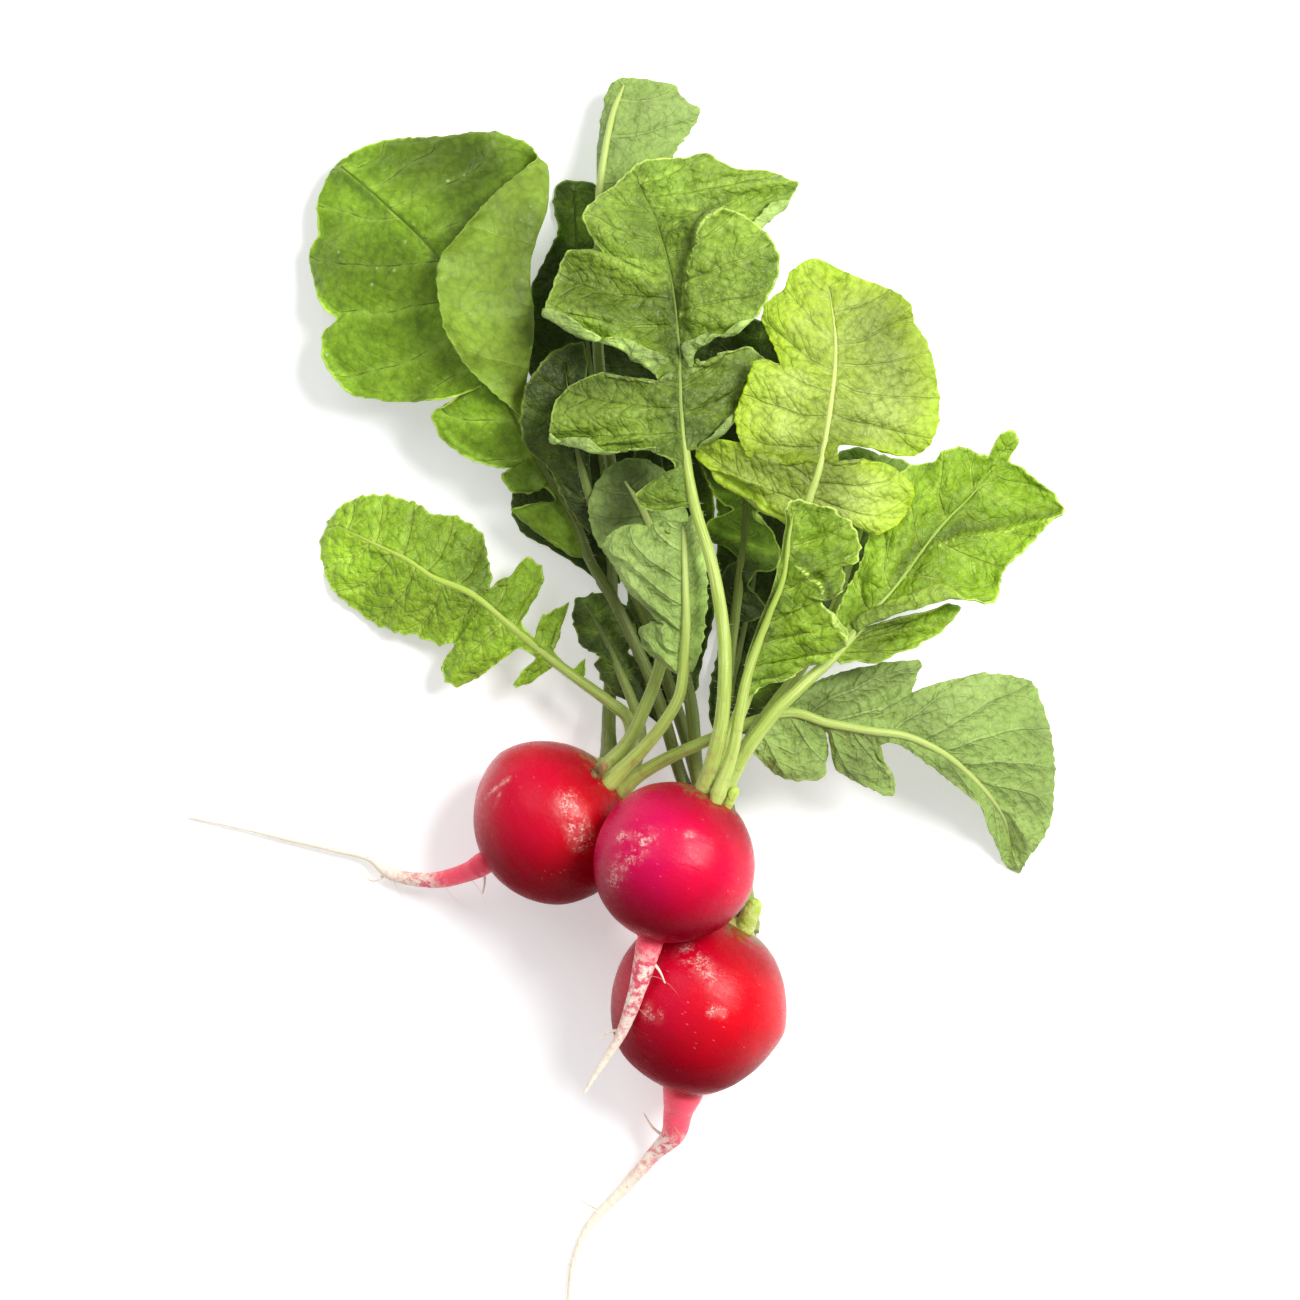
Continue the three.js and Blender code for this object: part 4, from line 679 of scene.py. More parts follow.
            [6.7, 7.6, 47.2, -1], [7, 3.2, 49.4, -1], [7, -0.8, 49.2, -1],
        ],
    ),
    # Leaf in front of the middle, pale underside up
    Leaf(
        name="leaf_1_front", look="pale_back", slot="leaf_grey", upside_down=True, tooth=0.8, blister=0.7,
        vein_gap=5, slant=1.7,
        shades=(
            (2.8, 17.2, 4, -0.6), (1.8, 10.2, 2.8, -0.9), (6.8, 26.2, 3.6, -0.3), (14.2, 21.2, 2.2, 0.6),
            (14.2, 29.2, 2.2, 0.6), (14.2, 13.2, 2.2, 0.6),
        ),
        rib=[
            [-3.2, -15, 24.5], [-0.4, -12.2, 26.5], [4, -7.8, 30], [8.2, -2.4, 34], [10.8, 2.8, 37],
            [11.6, 10.2, 39.5], [12, 17.2, 41], [11.8, 25.2, 41.5], [11.6, 32.2, 40.5], [11.4, 35.8, 39.5],
        ],
        left=[
            [4.4, 9.4, 7, -0.3], [4.65, 5.8, 10, -1.6], [4.9, 3.2, 12, -2.2], [5.1, 2.4, 15.8, -2.4],
            [5.5, 6.2, 17.4, -1.2], [5.9, 2.8, 20.4, -2], [6.3, -0.2, 23, -3], [6.8, -3, 28.8, -4],
            [7.3, -4.6, 32, -4.5], [7.8, -2.8, 35, -4], [8.2, 1.6, 36.4, -2.5], [8.5, 4, 35, -2],
            [8.8, 6, 36.8, -1.5], [9, 8.8, 36.4, -1],
        ],
        right=[
            [4.6, 13.2, 6.8, -0.5], [5.2, 15, 10.8, -1], [5.8, 16, 15.2, -1.6], [6.5, 16.4, 21.2, -2],
            [7.2, 16.4, 27.2, -2], [7.9, 16, 33.2, -2], [8.6, 15.4, 38.8, -2], [9, 13.2, 37, -1],
        ],
    ),
    # Main leaf on top of the bunch
    Leaf(
        name="leaf_2_centre", look="mid", slot="leaf_mid", stalk=1.6, tooth=0.45, blister=0.42, vein_gap=9.0,
        rib_below=0.95,
        curls=((6.2, 11.5, 4.4), (16.3, 20.5, 6.6), (46.8, 51.3, 4.2), (56.3, 59.4, 3.6), (37.2, 40.2, 5)),
        folds=(
            ("step", 3.8, 9, [[10.6, 77.6], [11.4, 83], [12.8, 90], [15.2, 96.4], [19.6, 99.6]]),
            ("ridge", 1.6, 3.2, [[-13, 78], [-6, 77], [2, 70], [7, 62]]),
            ("ridge", 1.3, 3.5, [[-8, 97], [-1, 92], [5, 84]]),
            ("ridge", -1.2, 3, [[-9, 86], [-1, 82], [6, 74]]),
            ("ridge", 1.2, 3.5, [[8, 104], [12, 98], [14, 92]]),
        ),
        shades=(
            (8.4, 81.2, 3.6, -0.75), (9.2, 71.2, 3.6, -0.8), (10.8, 61.2, 4.8, -0.7),
            (12.8, 54.8, 3.2, -0.6), (7.8, 106.2, 4.8, 0.6), (5.8, 100.2, 4, 0.3), (32.4, 104.8, 4.4, 0.5),
            (26.4, 99.2, 4.4, 0.3), (1.2, 87.2, 4, 0.3), (-10.2, 84.2, 5.2, -0.75), (-4.8, 81.2, 5.6, -0.6),
            (2.8, 78.8, 5.2, -0.5), (-12.8, 65.2, 5.2, -0.6), (-5.2, 62.2, 5.6, -0.65),
            (2.8, 63.6, 4.8, -0.65), (22.8, 67.6, 4.4, -1), (18.8, 60.8, 4.8, -1.1), (17.6, 53.2, 3.2, -0.6),
            (-7.2, 75.8, 2.6, 0.8), (-1.2, 72.2, 2.6, 0.8), (4.4, 67.6, 2.4, 0.7), (19.8, 72.2, 2.6, 0.6),
            (23.8, 75.6, 2.4, 0.5), (7.8, 48.2, 4, -0.6), (-4.2, 71.6, 3, 0.6), (8.8, 101.2, 6, 0.3),
            (2.8, 95.2, 9, 0.15), (23.8, 93.2, 8, 0.15), (2.8, 96.2, 7, -0.3), (12.8, 96.2, 4.4, 0.2),
            (5.8, 84.2, 5, 0.25), (21.8, 81.2, 5.6, -0.2),
        ),
        rib=[
            [15.8, -16, 40.5], [17.4, -10.4, 43.5], [19.2, -1.2, 46.5], [19.6, 11.2, 48], [18.4, 21.6, 47.5],
            [16.6, 30, 46], [13.8, 39.2, 43.5], [12, 48.8, 41.5], [11, 59.2, 39.5], [10.6, 72.2, 37],
            [9.2, 84.2, 34], [6.4, 95.2, 30.5], [2.8, 103.6, 26.5],
        ],
        left=[
            [6.05, 12.4, 39.6, -0.2], [6.25, 7.2, 38.8, -1.2], [6.4, 3.2, 39.2, -1.8],
            [6.6, 1.8, 41.8, -1.8], [6.8, 5.2, 44.8, -1], [7, 9.6, 46.6, -0.3], [7.2, 8.8, 49, -0.5],
            [7.3, 4.4, 50.6, -1.2], [7.45, -1.6, 52, -2.2], [7.6, -8.2, 51.6, -3], [7.75, -13.2, 52, -3.6],
            [7.9, -15.2, 54.2, -4], [8.05, -14.6, 59.6, -4], [8.2, -11.4, 63.6, -3.4],
            [8.35, -4.8, 66.2, -2], [8.5, 1.2, 64.4, -1], [8.65, 7.2, 63.2, 0], [8.8, 4.8, 66.6, 0.8],
            [9, -1.6, 71.2, 0.8], [9.25, -9.6, 74.6, 0], [9.5, -16, 78.8, -1.2], [9.8, -14.6, 84, -1.4],
            [10.1, -12.2, 90, -1], [10.3, -8.8, 91, -0.5], [10.45, -3.6, 88.8, 0], [10.65, -6.6, 92.6, -0.5],
            [10.95, -8.8, 97.6, -1], [11.35, -5.6, 101.6, -1.5], [11.7, -2.8, 103.6, -1.5],
            [12, 0.2, 106.2, -1.5], [12, 2.8, 108, -1.5],
        ],
        right=[
            [7.2, 14.2, 51, -0.3], [7.5, 19.2, 54.8, -3], [7.8, 23.6, 60, -5.6], [8, 27.2, 64.8, -7],
            [8.2, 27.6, 68.8, -7], [8.35, 24.4, 71.6, -5.4], [8.55, 20, 70, -2.2], [8.75, 15.6, 67.6, -0.5],
            [8.9, 12.8, 66, 0.3], [9, 13.6, 71.2, 1], [9.15, 17.6, 73.8, 2], [9.35, 22.4, 75, 2.6],
            [9.55, 26.6, 78, 3], [9.85, 30.2, 84.6, 3.4], [10.1, 30.6, 89.6, 3.4], [10.4, 28, 94.2, 3],
            [10.7, 22.8, 98, 2.8], [10.9, 18.2, 99.2, 2.4], [11, 12.8, 97.4, 1], [11.2, 21.8, 96, -2.4],
            [11.35, 27.4, 95.4, -3], [11.5, 31.8, 99.6, -4], [11.6, 34.8, 103.8, -5],
            [11.7, 32.4, 105.2, -4.4], [11.8, 28.6, 106.6, -3.4], [11.9, 22.4, 107, -2.6],
            [12, 16.6, 109.8, -2], [12, 12.4, 109.2, -2], [12, 7.2, 109.2, -1.6],
        ],
    ),
    # Yellow-green leaf to the right
    Leaf(
        name="leaf_2_pale", look="yellow", slot="leaf_yellow", tooth=0.45, wave=0.8, blister=0.42,
        vein_gap=9.0,
        curls=((0.4, 3.6, 1.8),),
        shades=(
            (50.8, 77.6, 5.6, -0.5), (48.8, 69.2, 5.6, -0.35), (55.2, 64.8, 5.6, -0.35),
            (43.8, 57.2, 5.2, -0.4), (40.8, 47.2, 5.6, -0.65), (40.8, 37.2, 4.4, -0.5),
            (28.4, 49.2, 4.4, -0.5), (34.8, 44.2, 4.8, -0.35), (52.8, 73.2, 10, -0.22),
            (54.8, 75.2, 9, -0.3), (50.8, 55.2, 8, -0.3), (34.8, 45.2, 8, -0.35), (22.8, 45.2, 7, -0.35),
            (14.8, 53.2, 6, -0.3), (38.8, 53.2, 6, -0.2),
        ),
        rib=[
            [16.8, -16.2, 36.5], [20.4, -7.2, 37], [24.8, 4.8, 37], [30, 20.2, 38], [34.2, 34.2, 40],
            [36.4, 41.2, 41], [38.8, 48.8, 41.5], [41, 62.6, 40], [41.6, 72.2, 37], [40.4, 83.2, 31],
        ],
        left=[
            [4.2, 32.8, 35.6, -0.3], [4.4, 29.2, 37.8, -1.4], [4.6, 22.2, 43, -3], [4.8, 17.2, 46.6, -4],
            [5, 14.2, 49.2, -5], [5.2, 14, 51.6, -5], [5.45, 19.2, 53, -4], [5.8, 28.4, 50.2, -2],
            [6, 34.8, 48.4, -0.6], [6.1, 30.8, 48, -1], [6.2, 27.6, 49, -2], [6.3, 24, 49.8, -2],
            [6.5, 22, 53.8, -1.6], [6.7, 21.6, 58.6, -1.2], [6.9, 23.4, 63.2, -1], [7.05, 25.2, 68.4, -1],
            [7.15, 27.6, 69, -1], [7.25, 30.6, 67, -1.5], [7.35, 29.4, 71.2, -2.6], [7.6, 27, 76.4, -3.5],
            [7.9, 27.6, 80.4, -3.5], [8.3, 31.6, 83.6, -2.5], [8.6, 32.6, 86.8, -2.6], [9, 36.6, 89, -2],
        ],
        right=[
            [4.4, 37.2, 37.2, -0.3], [4.6, 41.6, 36, -1.8], [4.8, 46.4, 35.8, -3], [5, 49.4, 34.2, -3.6],
            [5.2, 54.2, 36.2, -4], [5.4, 56.8, 40.4, -4], [5.55, 57.2, 43.8, -4], [5.7, 52.8, 47.6, -3],
            [5.85, 47.6, 48.8, -1.8], [6, 42.8, 47.6, -0.8], [6.2, 42.4, 52, 0], [6.35, 48, 51.4, -1],
            [6.5, 54.2, 50, -2.5], [6.65, 57.8, 49.8, -3.4], [6.85, 60.6, 52.2, -4], [7.1, 62, 56.2, -4.6],
            [7.4, 62.2, 63.2, -5], [7.7, 61.4, 68.8, -5], [7.9, 60, 72.8, -5], [8.15, 57.6, 76.2, -4.6],
            [8.4, 56.8, 79.6, -4], [8.65, 52.8, 83, -3.2], [8.9, 48, 84.8, -2.6], [9, 44.4, 86.6, -2],
            [9, 40, 88.4, -2],
        ],
    ),
    # Curled leaf that stands above the right-hand stems
    Leaf(
        name="leaf_2_curled", look="fresh", slot="leaf_bright", stalk=1.25, tooth=0.9, wave=1.9,
        blister=0.85, swell=1.6, vein_gap=7.0,
        folds=(
            ("step", 2.2, 5, [[33.6, 28.6], [35, 27.2], [38.2, 24.2], [39.8, 20.8], [43.4, 14.6]]),
            ("ridge", 1.2, 1.8, [[33.8, 38], [34.4, 33], [34, 29]]),
            ("ridge", -1.4, 2, [[36.5, 36], [38.5, 31], [38, 26.5]]),
            ("ridge", 1, 1.6, [[31, 20], [34.5, 16], [38, 11]]),
        ),
        shades=(
            (42.4, 23.2, 3.2, -0.6), (42, 30.2, 2.8, -0.4), (28.4, 21.2, 2.8, -1.5), (25.8, 14.2, 3.2, -0.7),
            (37.8, 34.8, 2.8, 0.2), (25.4, 18.8, 2.8, -0.8), (26.8, 15.2, 2.4, -0.8),
        ),
        rib=[
            [18.4, -17.2, 43.4], [21.2, -8.8, 44.8], [22.6, -1.2, 46], [24, 5.6, 47], [26.4, 12.6, 48],
            [29, 19.2, 48.5], [31.4, 25.6, 48.5], [32.4, 33, 48], [33.4, 38.8, 47],
        ],
        left=[
            [2.8, 22.8, 4, -0.5], [3.6, 24, 9.8, -1.6], [4.6, 26.4, 16.8, -2], [5.6, 29, 23.2, -2],
            [6.4, 30.8, 30, -2], [7.3, 31.8, 36, -2], [8, 32.6, 40.8, -1.4],
        ],
        right=[
            [2.4, 24, 2, -0.3], [2.7, 26.4, 2.8, -1.2], [2.95, 29.6, 4.4, -1.8], [3.2, 34.8, 6.2, -2.4],
            [3.5, 40.4, 9, -3], [3.8, 43.4, 10.8, -3], [4.1, 44.2, 14.2, -2.4], [4.4, 42.4, 17.6, -1.2],
            [4.7, 39.2, 20.8, 0], [5, 42.2, 21.6, -1.4], [5.4, 44, 25.2, -2], [5.8, 44, 27.8, -1.2],
            [6.2, 46.6, 29.6, -2.6], [6.7, 46.8, 33, -2.6], [7.1, 45, 36.4, -2], [7.5, 41.8, 38.4, -1.5],
            [7.8, 38.4, 40, -1], [8, 35.2, 41.4, -1],
        ],
    ),
    # Pointed leaf, folded along its length
    Leaf(
        name="leaf_2_pointed", look="pointed", slot="leaf_bright", arch=(ARCH, -0.12), tooth=0.7, wave=0.8,
        blister=0.35, vein_gap=9.0, rib_below=0.7,
        curls=((26.4, 31, 6.5),),
        folds=(
            ("step", 2.6, 9, [[55, 25.4], [57.2, 29.6], [65.4, 33.8], [76.4, 36], [86, 38.2]]),
            ("ridge", 1.6, 3, [[50, 27], [56, 36], [63, 46]]),
            ("ridge", 1.4, 3.5, [[66, 42], [75, 41], [82, 41]]),
            ("ridge", -1.2, 2.5, [[60, 37], [68, 44], [75, 50]]),
        ),
        shades=(
            (66.8, 36.2, 5.2, -0.6), (57.8, 29.2, 4.4, -0.5), (48.8, 13.2, 5.2, -1), (54.8, 16.8, 4, -0.6),
            (61.8, 23.2, 4, -0.25),
        ),
        rib=[
            [19.2, -17.4, 38.5], [23.6, -9.2, 40.5], [29.6, -1.2, 41.5], [34.8, 4, 41], [40, 8.8, 39.5],
            [46.8, 16.2, 37], [54, 24.2, 34], [62, 35, 30], [68.4, 41.6, 27], [72.4, 46.4, 25],
        ],
        left=[
            [4.5, 42, 13.2, -0.3], [4.9, 41.6, 18.8, -1.4], [5.3, 44, 24, -2.2], [5.6, 46.8, 29.2, -2.6],
            [6, 48.4, 35.2, -3.2], [6.4, 50.6, 41.2, -3.2], [6.8, 53.8, 46, -3], [7.1, 57, 48.6, -3],
            [7.4, 60.8, 49, -2], [7.7, 63.4, 51.2, -1.6], [8, 66.8, 51.8, -1.6], [8.4, 70, 50.6, -1],
            [8.65, 72.2, 50.2, -0.6], [8.8, 74, 53.6, -1], [9, 76.6, 55, -1.6], [9, 78.4, 53, -1.6],
            [9, 76.6, 49.2, -1],
        ],
        right=[
            [4.15, 42.8, 8.4, -1], [4.2, 46.4, 9.4, -3.4], [4.25, 50, 8.4, -5.4], [4.3, 54.2, 10.6, -7],
            [4.35, 58.8, 12.2, -8.4], [4.4, 62.4, 14.6, -9], [4.45, 65.4, 17.2, -9.6],
            [4.5, 66.6, 20.4, -9.6], [4.53, 59.8, 18.8, -7], [4.57, 50.8, 16.8, -3.6], [4.65, 45.4, 13.8, 0],
            [4.9, 48.4, 16.4, 1.4], [5.3, 54.6, 18.4, 2.6], [5.8, 60.8, 19.8, 3.2], [6.3, 66.8, 21.2, 3.2],
            [6.7, 73.6, 21, 3.2], [7, 74.8, 25.2, 3], [7.4, 76.8, 28.6, 2.6], [7.8, 80, 31.4, 2.4],
            [8.1, 83.2, 34.6, 2], [8.5, 85.2, 36.8, 1.6], [8.8, 87.8, 38.8, 1], [8.95, 84.8, 42.2, 0.4],
            [9, 81.6, 45.4, 0], [9, 78.4, 48, -0.6],
        ],
    ),
    # Long leaf that droops to the surface on the right, underside up
    Leaf(
        name="leaf_1_drooping", look="pale_back", slot="leaf_grey", upside_down=True, tooth=0.6, wave=0.6,
        blister=0.32,
        shades=(
            (37.8, -0.4, 4.4, -0.9), (44.8, 3.2, 5.2, -0.5), (51.8, 8.2, 5.6, -0.5),
            (59.8, -2.8, 5.6, -0.35), (46.8, -9.2, 4, -0.5), (82.8, -4.8, 3.6, -0.4), (82, -18.8, 3.6, -0.4),
            (42.8, 8.8, 3.2, -0.7), (63.8, -13.8, 3.6, -0.7), (44.8, -13.8, 3.6, -0.4),
        ),
        rib=[
            [-0.6, -16.4, 21.5], [2.4, -13.8, 23.5], [8.2, -10.4, 26], [16.2, -6.8, 28.5], [24.8, -3.2, 29],
            [32.8, -1.2, 28], [39.8, -3.2, 26.5], [48.4, -4.8, 25.5], [56, -6, 24], [63.2, -9.4, 20.5],
            [69.6, -14.8, 15], [74.8, -21, 8.5], [77.2, -27.2, 3],
        ],
        left=[
            [4.9, 32.8, 0.8, -0.4], [5.2, 37.2, 4.8, -1.2], [5.4, 44.8, 7.4, -2], [5.6, 51.8, 8.6, -2.6],
            [5.8, 58.8, 9.2, -3], [6.1, 58, 5.6, -2.6], [6.4, 56.6, 2.4, -2], [6.7, 51.6, -0.4, -0.6],
            [6.95, 53.2, 0.8, -0.6], [7.2, 56.4, 2.6, -1.2], [7.6, 63.2, 5, -2.4], [8, 70.6, 6.6, -4],
            [8.4, 77.4, 6.2, -5.6], [8.8, 81.8, 4.4, -6.8], [9.2, 84.6, -3.6, -8], [9.7, 85.8, -12, -8],
            [10.3, 85.4, -21.6, -7], [11, 82.6, -28, -4], [11.5, 80.4, -30.8, -2.4], [12, 78.6, -33.6, -2.7],
        ],
        right=[
            [3.8, 23.6, -5, -0.3], [4, 25.4, -9.2, -2.4], [4.3, 29.4, -13.4, -4.6], [4.7, 33.2, -14.8, -6],
            [5.1, 39, -14.6, -7], [5.4, 40.4, -9.4, -5], [5.7, 39.8, -5.6, -2], [6, 40.4, -6.4, -1.4],
            [6.2, 42.2, -12.8, -5], [6.5, 50.6, -17.6, -8], [6.7, 53.4, -18, -8.6], [6.8, 53.6, -14.8, -7],
            [6.9, 51.6, -11.2, -4.6], [7.05, 51, -7.8, -2], [7.5, 53.8, -7.4, -0.8],
            [8.2, 58.4, -10.4, -1.2], [9, 65.6, -15.8, -2.2], [9.8, 70.6, -20.2, -2.6],
            [10.7, 72.8, -25.2, -2.4], [11.5, 74.6, -29.4, -2], [12, 76, -32.4, -2.4],
        ],
    ),
    # Bright leaf that lies out to the left
    Leaf(
        name="leaf_1_left", look="bright", slot="leaf_bright", stalk_shade=-0.2, tooth=0.9, blister=0.42,
        shades=(
            (-37.2, 34.2, 5.6, -0.45), (-29.2, 29.2, 5.2, -0.65), (-31.2, 23.2, 4.8, -0.5),
            (-42.2, 19.2, 5.6, -0.5), (-58.2, 29.2, 3.6, 0.4), (-39.2, 12.2, 2.4, 0.4),
            (-56.2, 29.2, 6, 0.3), (-55.2, 37.2, 4.4, 0.15), (-27.6, 32.2, 4, -0.3), (-49.2, 31.2, 6, 0.2),
            (-27.6, 29.2, 3.2, -0.4),
        ),
        rib=[
            [-2.2, -13, 18], [1, -7.2, 18], [0.4, -2.4, 18], [-3, 0.6, 17.5], [-9.6, 5.4, 16],
            [-15, 9.4, 14.5], [-20.8, 14, 13], [-30.2, 22, 11], [-38.2, 25.6, 9.5], [-43.6, 29.2, 8.5],
            [-49.8, 32.2, 6.5], [-57.6, 36, 3],
        ],
        left=[
            [4.8, -15, 7.6, -0.4], [4.95, -19.2, 4.4, -2], [5.1, -23, 3.6, -3], [5.2, -21.2, 6.2, -2.2],
            [5.4, -17.6, 9, -0.6], [5.8, -21.2, 11.6, -0.5], [6, -24.8, 9.4, -1.6], [6.15, -29.2, 5.8, -3],
            [6.3, -33.8, 3.6, -4.2], [6.45, -36, 4.8, -4.8], [6.6, -37, 7.6, -4.8], [6.75, -34.8, 11, -4],
            [6.95, -30.4, 14.4, -2], [7.2, -32.8, 13.8, -2.6], [7.45, -34.6, 12.2, -3.4],
            [7.7, -37.8, 12, -4], [8, -41.8, 14, -4], [8.5, -45.4, 14.4, -4.4], [9, -50.2, 15.8, -5],
            [9.5, -53.8, 18.4, -5.4], [10, -58.8, 22.8, -5], [10.5, -61.2, 27.4, -4.2],
            [11, -61.6, 32.6, -2.6], [11, -60, 36.8, -2.4],
        ],
        right=[
            [3.9, -8.2, 6.4, -0.3], [4, -8, 10.2, -0.6], [4.15, -10.6, 7.4, -0.3], [4.9, -14.4, 11, -0.3],
            [5.05, -13.8, 14.8, -0.8], [5.2, -11, 21, -2], [5.4, -15.8, 18.6, -1.5], [5.6, -17.6, 16.2, -1],
            [5.8, -17.8, 13.2, -0.4], [6.1, -20.8, 16.6, -0.5], [6.25, -19, 20, -1.6],
            [6.4, -17, 23.4, -2.6], [6.5, -16.2, 27, -3], [6.65, -19.2, 30.2, -3], [6.85, -22.4, 26.4, -2],
            [7, -24.6, 25.2, -1.6], [7.1, -26.8, 23.2, -0.8], [7.3, -26.4, 26, -1.6],
            [7.6, -27.4, 30.6, -2.6], [8, -28, 34, -3.2], [8.4, -30.6, 36.8, -3.4], [8.8, -34.6, 38.6, -3.4],
            [9.2, -38.2, 38.6, -3.4], [9.6, -41.4, 40.8, -3.4], [10, -45.8, 42.2, -3.4],
            [10.5, -51.6, 42.4, -3.2], [11, -56.4, 40.8, -2.6],
        ],
    ),
    # Small crumpled leaf close to the crown, in painted shade
    Leaf(
        name="leaf_1_young", look="dark", slot="leaf_dark", stalk_shade=-0.6, coarse=1.3, tooth=0.8,
        wave=1.2, blister=0.7,
        shades=(
            (-6.2, 15.2, 4.8, 1.7), (-2.8, 7.2, 4, 1.5), (-7.2, 20.2, 3.2, 1.3), (-10.8, 18.2, 2.8, -1),
            (-8.6, 10.2, 2.8, -1),
        ),
        rib=[
            [0, -14.4, 15.3], [2.8, -7.8, 12], [2, -1.2, 11.6], [-1.2, 6.8, 11.2], [-4.8, 14.8, 10],
            [-8, 20.4, 9],
        ],
        left=[
            [2.2, 0.4, 1.2, -0.3], [2.7, -3.2, 2.8, -1.8], [3.1, -6.4, 7.6, -2.4], [3.4, -5.2, 10.2, -1],
            [3.8, -9.6, 11.8, -2.4], [4.3, -10.6, 16.4, -2.8], [4.7, -11, 20.4, -2.2], [5, -9.8, 22.6, -1.6],
        ],
        right=[
            [2.2, 3.6, 0.2, -0.3], [2.7, 4.8, 3.2, -1.4], [3.1, 4, 7.6, -1.8], [3.5, 0.8, 10.8, -1],
            [3.9, 2.4, 14.4, -1.6], [4.3, 2, 18.8, -1.8], [4.6, -1.2, 21.2, -1.4], [5, -4.8, 22.8, -1],
        ],
    ),
    # Leaf behind the middle, right of the main stem, in painted shade
    Leaf(
        name="leaf_3_rear", look="dark", slot="leaf_dark", stalk_shade=-0.8, coarse=1.5,
        shades=(
            (17.8, 39.6, 4.8, 2.1), (23.8, 34.6, 4.4, 2), (28, 30.8, 3.6, 1.7), (26.8, 73.6, 3.6, 1.6),
            (21.8, 40.2, 4, 0.8), (17.8, 37.2, 5.2, 1.5), (23.8, 36.8, 5.2, 1.5), (28.8, 32.2, 4.8, 1.3),
            (15.8, 43.2, 4, 1),
        ),
        rib=[
            [24.8, -43.4, 13.5], [23.2, -32.4, 9], [20.4, -19.8, 7], [19.2, -6.8, 7], [20.4, 7.2, 9.5],
            [22.2, 21.2, 13], [23.6, 34.2, 16], [24.4, 48.2, 19], [25.2, 62.2, 21], [26.2, 73.2, 21],
        ],
        left=[
            [4.4, 20.4, 12.4, -0.3], [4.7, 18.4, 15.6, -1.2], [5, 18, 21.2, -1.8], [5.3, 19.2, 27.2, -1.4],
            [5.6, 22.4, 29.2, -0.3], [5.8, 19.6, 32, -1], [6, 16.4, 33.2, -1.8], [6.2, 16.4, 37, -1.8],
            [6.45, 21.2, 38.6, -0.5], [6.8, 17.8, 41.2, -2], [7.3, 14.8, 49.2, -3], [7.8, 15.2, 57.2, -3],
            [8.3, 14.8, 64, -3], [8.6, 12.8, 69.2, -2.8], [8.8, 14.8, 74, -2.4], [9, 19.6, 77, -1.6],
        ],
        right=[
            [4.7, 23.6, 16.8, -0.3], [4.85, 25.6, 17, -0.8], [5, 28.6, 18.8, -1.6], [5.2, 26.8, 21.2, -1],
            [5.45, 24.4, 23.6, -0.3], [5.7, 26.2, 26.6, -0.8], [5.9, 29.8, 27, -1.8], [6.1, 31, 30.8, -2],
            [6.35, 28.8, 35.6, -1.4], [6.6, 25.2, 37.2, -0.3], [7, 29.8, 41.2, -1.8],
            [7.4, 32.8, 49.2, -2.4], [7.9, 33.8, 58.2, -3], [8.4, 32.8, 67.2, -3], [8.8, 30.4, 74.2, -2.5],
            [9, 27.6, 77, -1.5],
        ],
    ),
    # Leaf beneath the right-hand leaves
    Leaf(
        name="leaf_2_under", look="pale_back", slot="leaf_dark", coarse=1.4,
        shades=((40, 32.2, 5.2, -2.2), (36.8, 21.2, 6, -2), (34.8, 1.2, 8, -1), (48.8, 50.2, 6, -0.3)),
        rib=[
            [19, -17.4, 33.5], [23.2, -9.2, 33], [28.4, -1.2, 33], [34.8, 7.6, 32], [40.8, 18.2, 29],
            [44.8, 29.2, 25], [48.4, 40.2, 21], [50.8, 47.6, 17.5],
        ],
        left=[
            [3.8, 38.4, 16.8, -0.3], [4.2, 37.6, 23.2, -1.4], [4.8, 37.2, 31.2, -2.2],
            [5.4, 38.4, 39.2, -2.6], [6, 40, 46.2, -2.6], [6.5, 42, 50.4, -2], [7, 46, 51.8, -1.5],
        ],
        right=[
            [3.8, 43.2, 17.6, -0.3], [4.2, 48.4, 21.2, -2.6], [4.8, 52, 27.2, -3.6], [5.4, 54.8, 35.2, -3.6],
            [6, 56.8, 42.2, -3], [6.5, 57.6, 46.8, -3], [7, 55.4, 49, -2], [7, 51.2, 50.2, -1],
        ],
    ),
    # Dark leaf spread low under the middle of the bunch, in painted shade
    Leaf(
        name="leaf_1_low", look="dark", slot="leaf_dark", stalk_shade=-1.3, coarse=1.5,
        shades=((15.6, 21.2, 2.8, 1.7), (15.6, 29.2, 2.4, 1.7), (17.2, 40.2, 2.8, 2)),
        rib=[
            [-2.2, -12.8, 12], [0.2, -7.6, 8], [3.2, -1.2, 5], [5.8, 7.6, 4], [8, 17.2, 4.4], [8.8, 28.2, 5],
            [8.4, 39.2, 5], [7.2, 48.2, 4.6], [6, 54.8, 4],
        ],
        left=[
            [2.7, 4, 5.2, -0.3], [3, 1.8, 9.2, -0.4], [3.3, 0.8, 13.2, 0], [3.8, 0.2, 18.8, 0.2],
            [4.3, 0, 24.2, 0.4], [4.8, 0, 29.2, 0.4], [5.3, 0.4, 34.2, 0.2], [5.8, 0, 39.6, 0],
            [6.3, 0.4, 45.2, -0.2], [6.8, 1.2, 50, -0.4], [7.3, 2.2, 54, -0.6], [7.7, 3.2, 56.4, -0.8],
            [8, 4.8, 58, -0.8],
        ],
        right=[
            [2.05, 6, -3.2, -0.6], [2.25, 8.4, -2.4, -1.4], [2.45, 11.6, 0.4, -1.2], [2.7, 14.2, 2.8, -0.8],
            [3.05, 15.2, 7, -0.8], [3.4, 16, 11.2, -0.8], [3.8, 17.2, 15.6, -0.8], [4.3, 18.4, 21.2, -0.6],
            [4.8, 18.2, 27.2, -0.6], [5.3, 17.2, 32.2, -0.6], [5.8, 18, 37.2, -0.6], [6.3, 17.6, 42.2, -0.6],
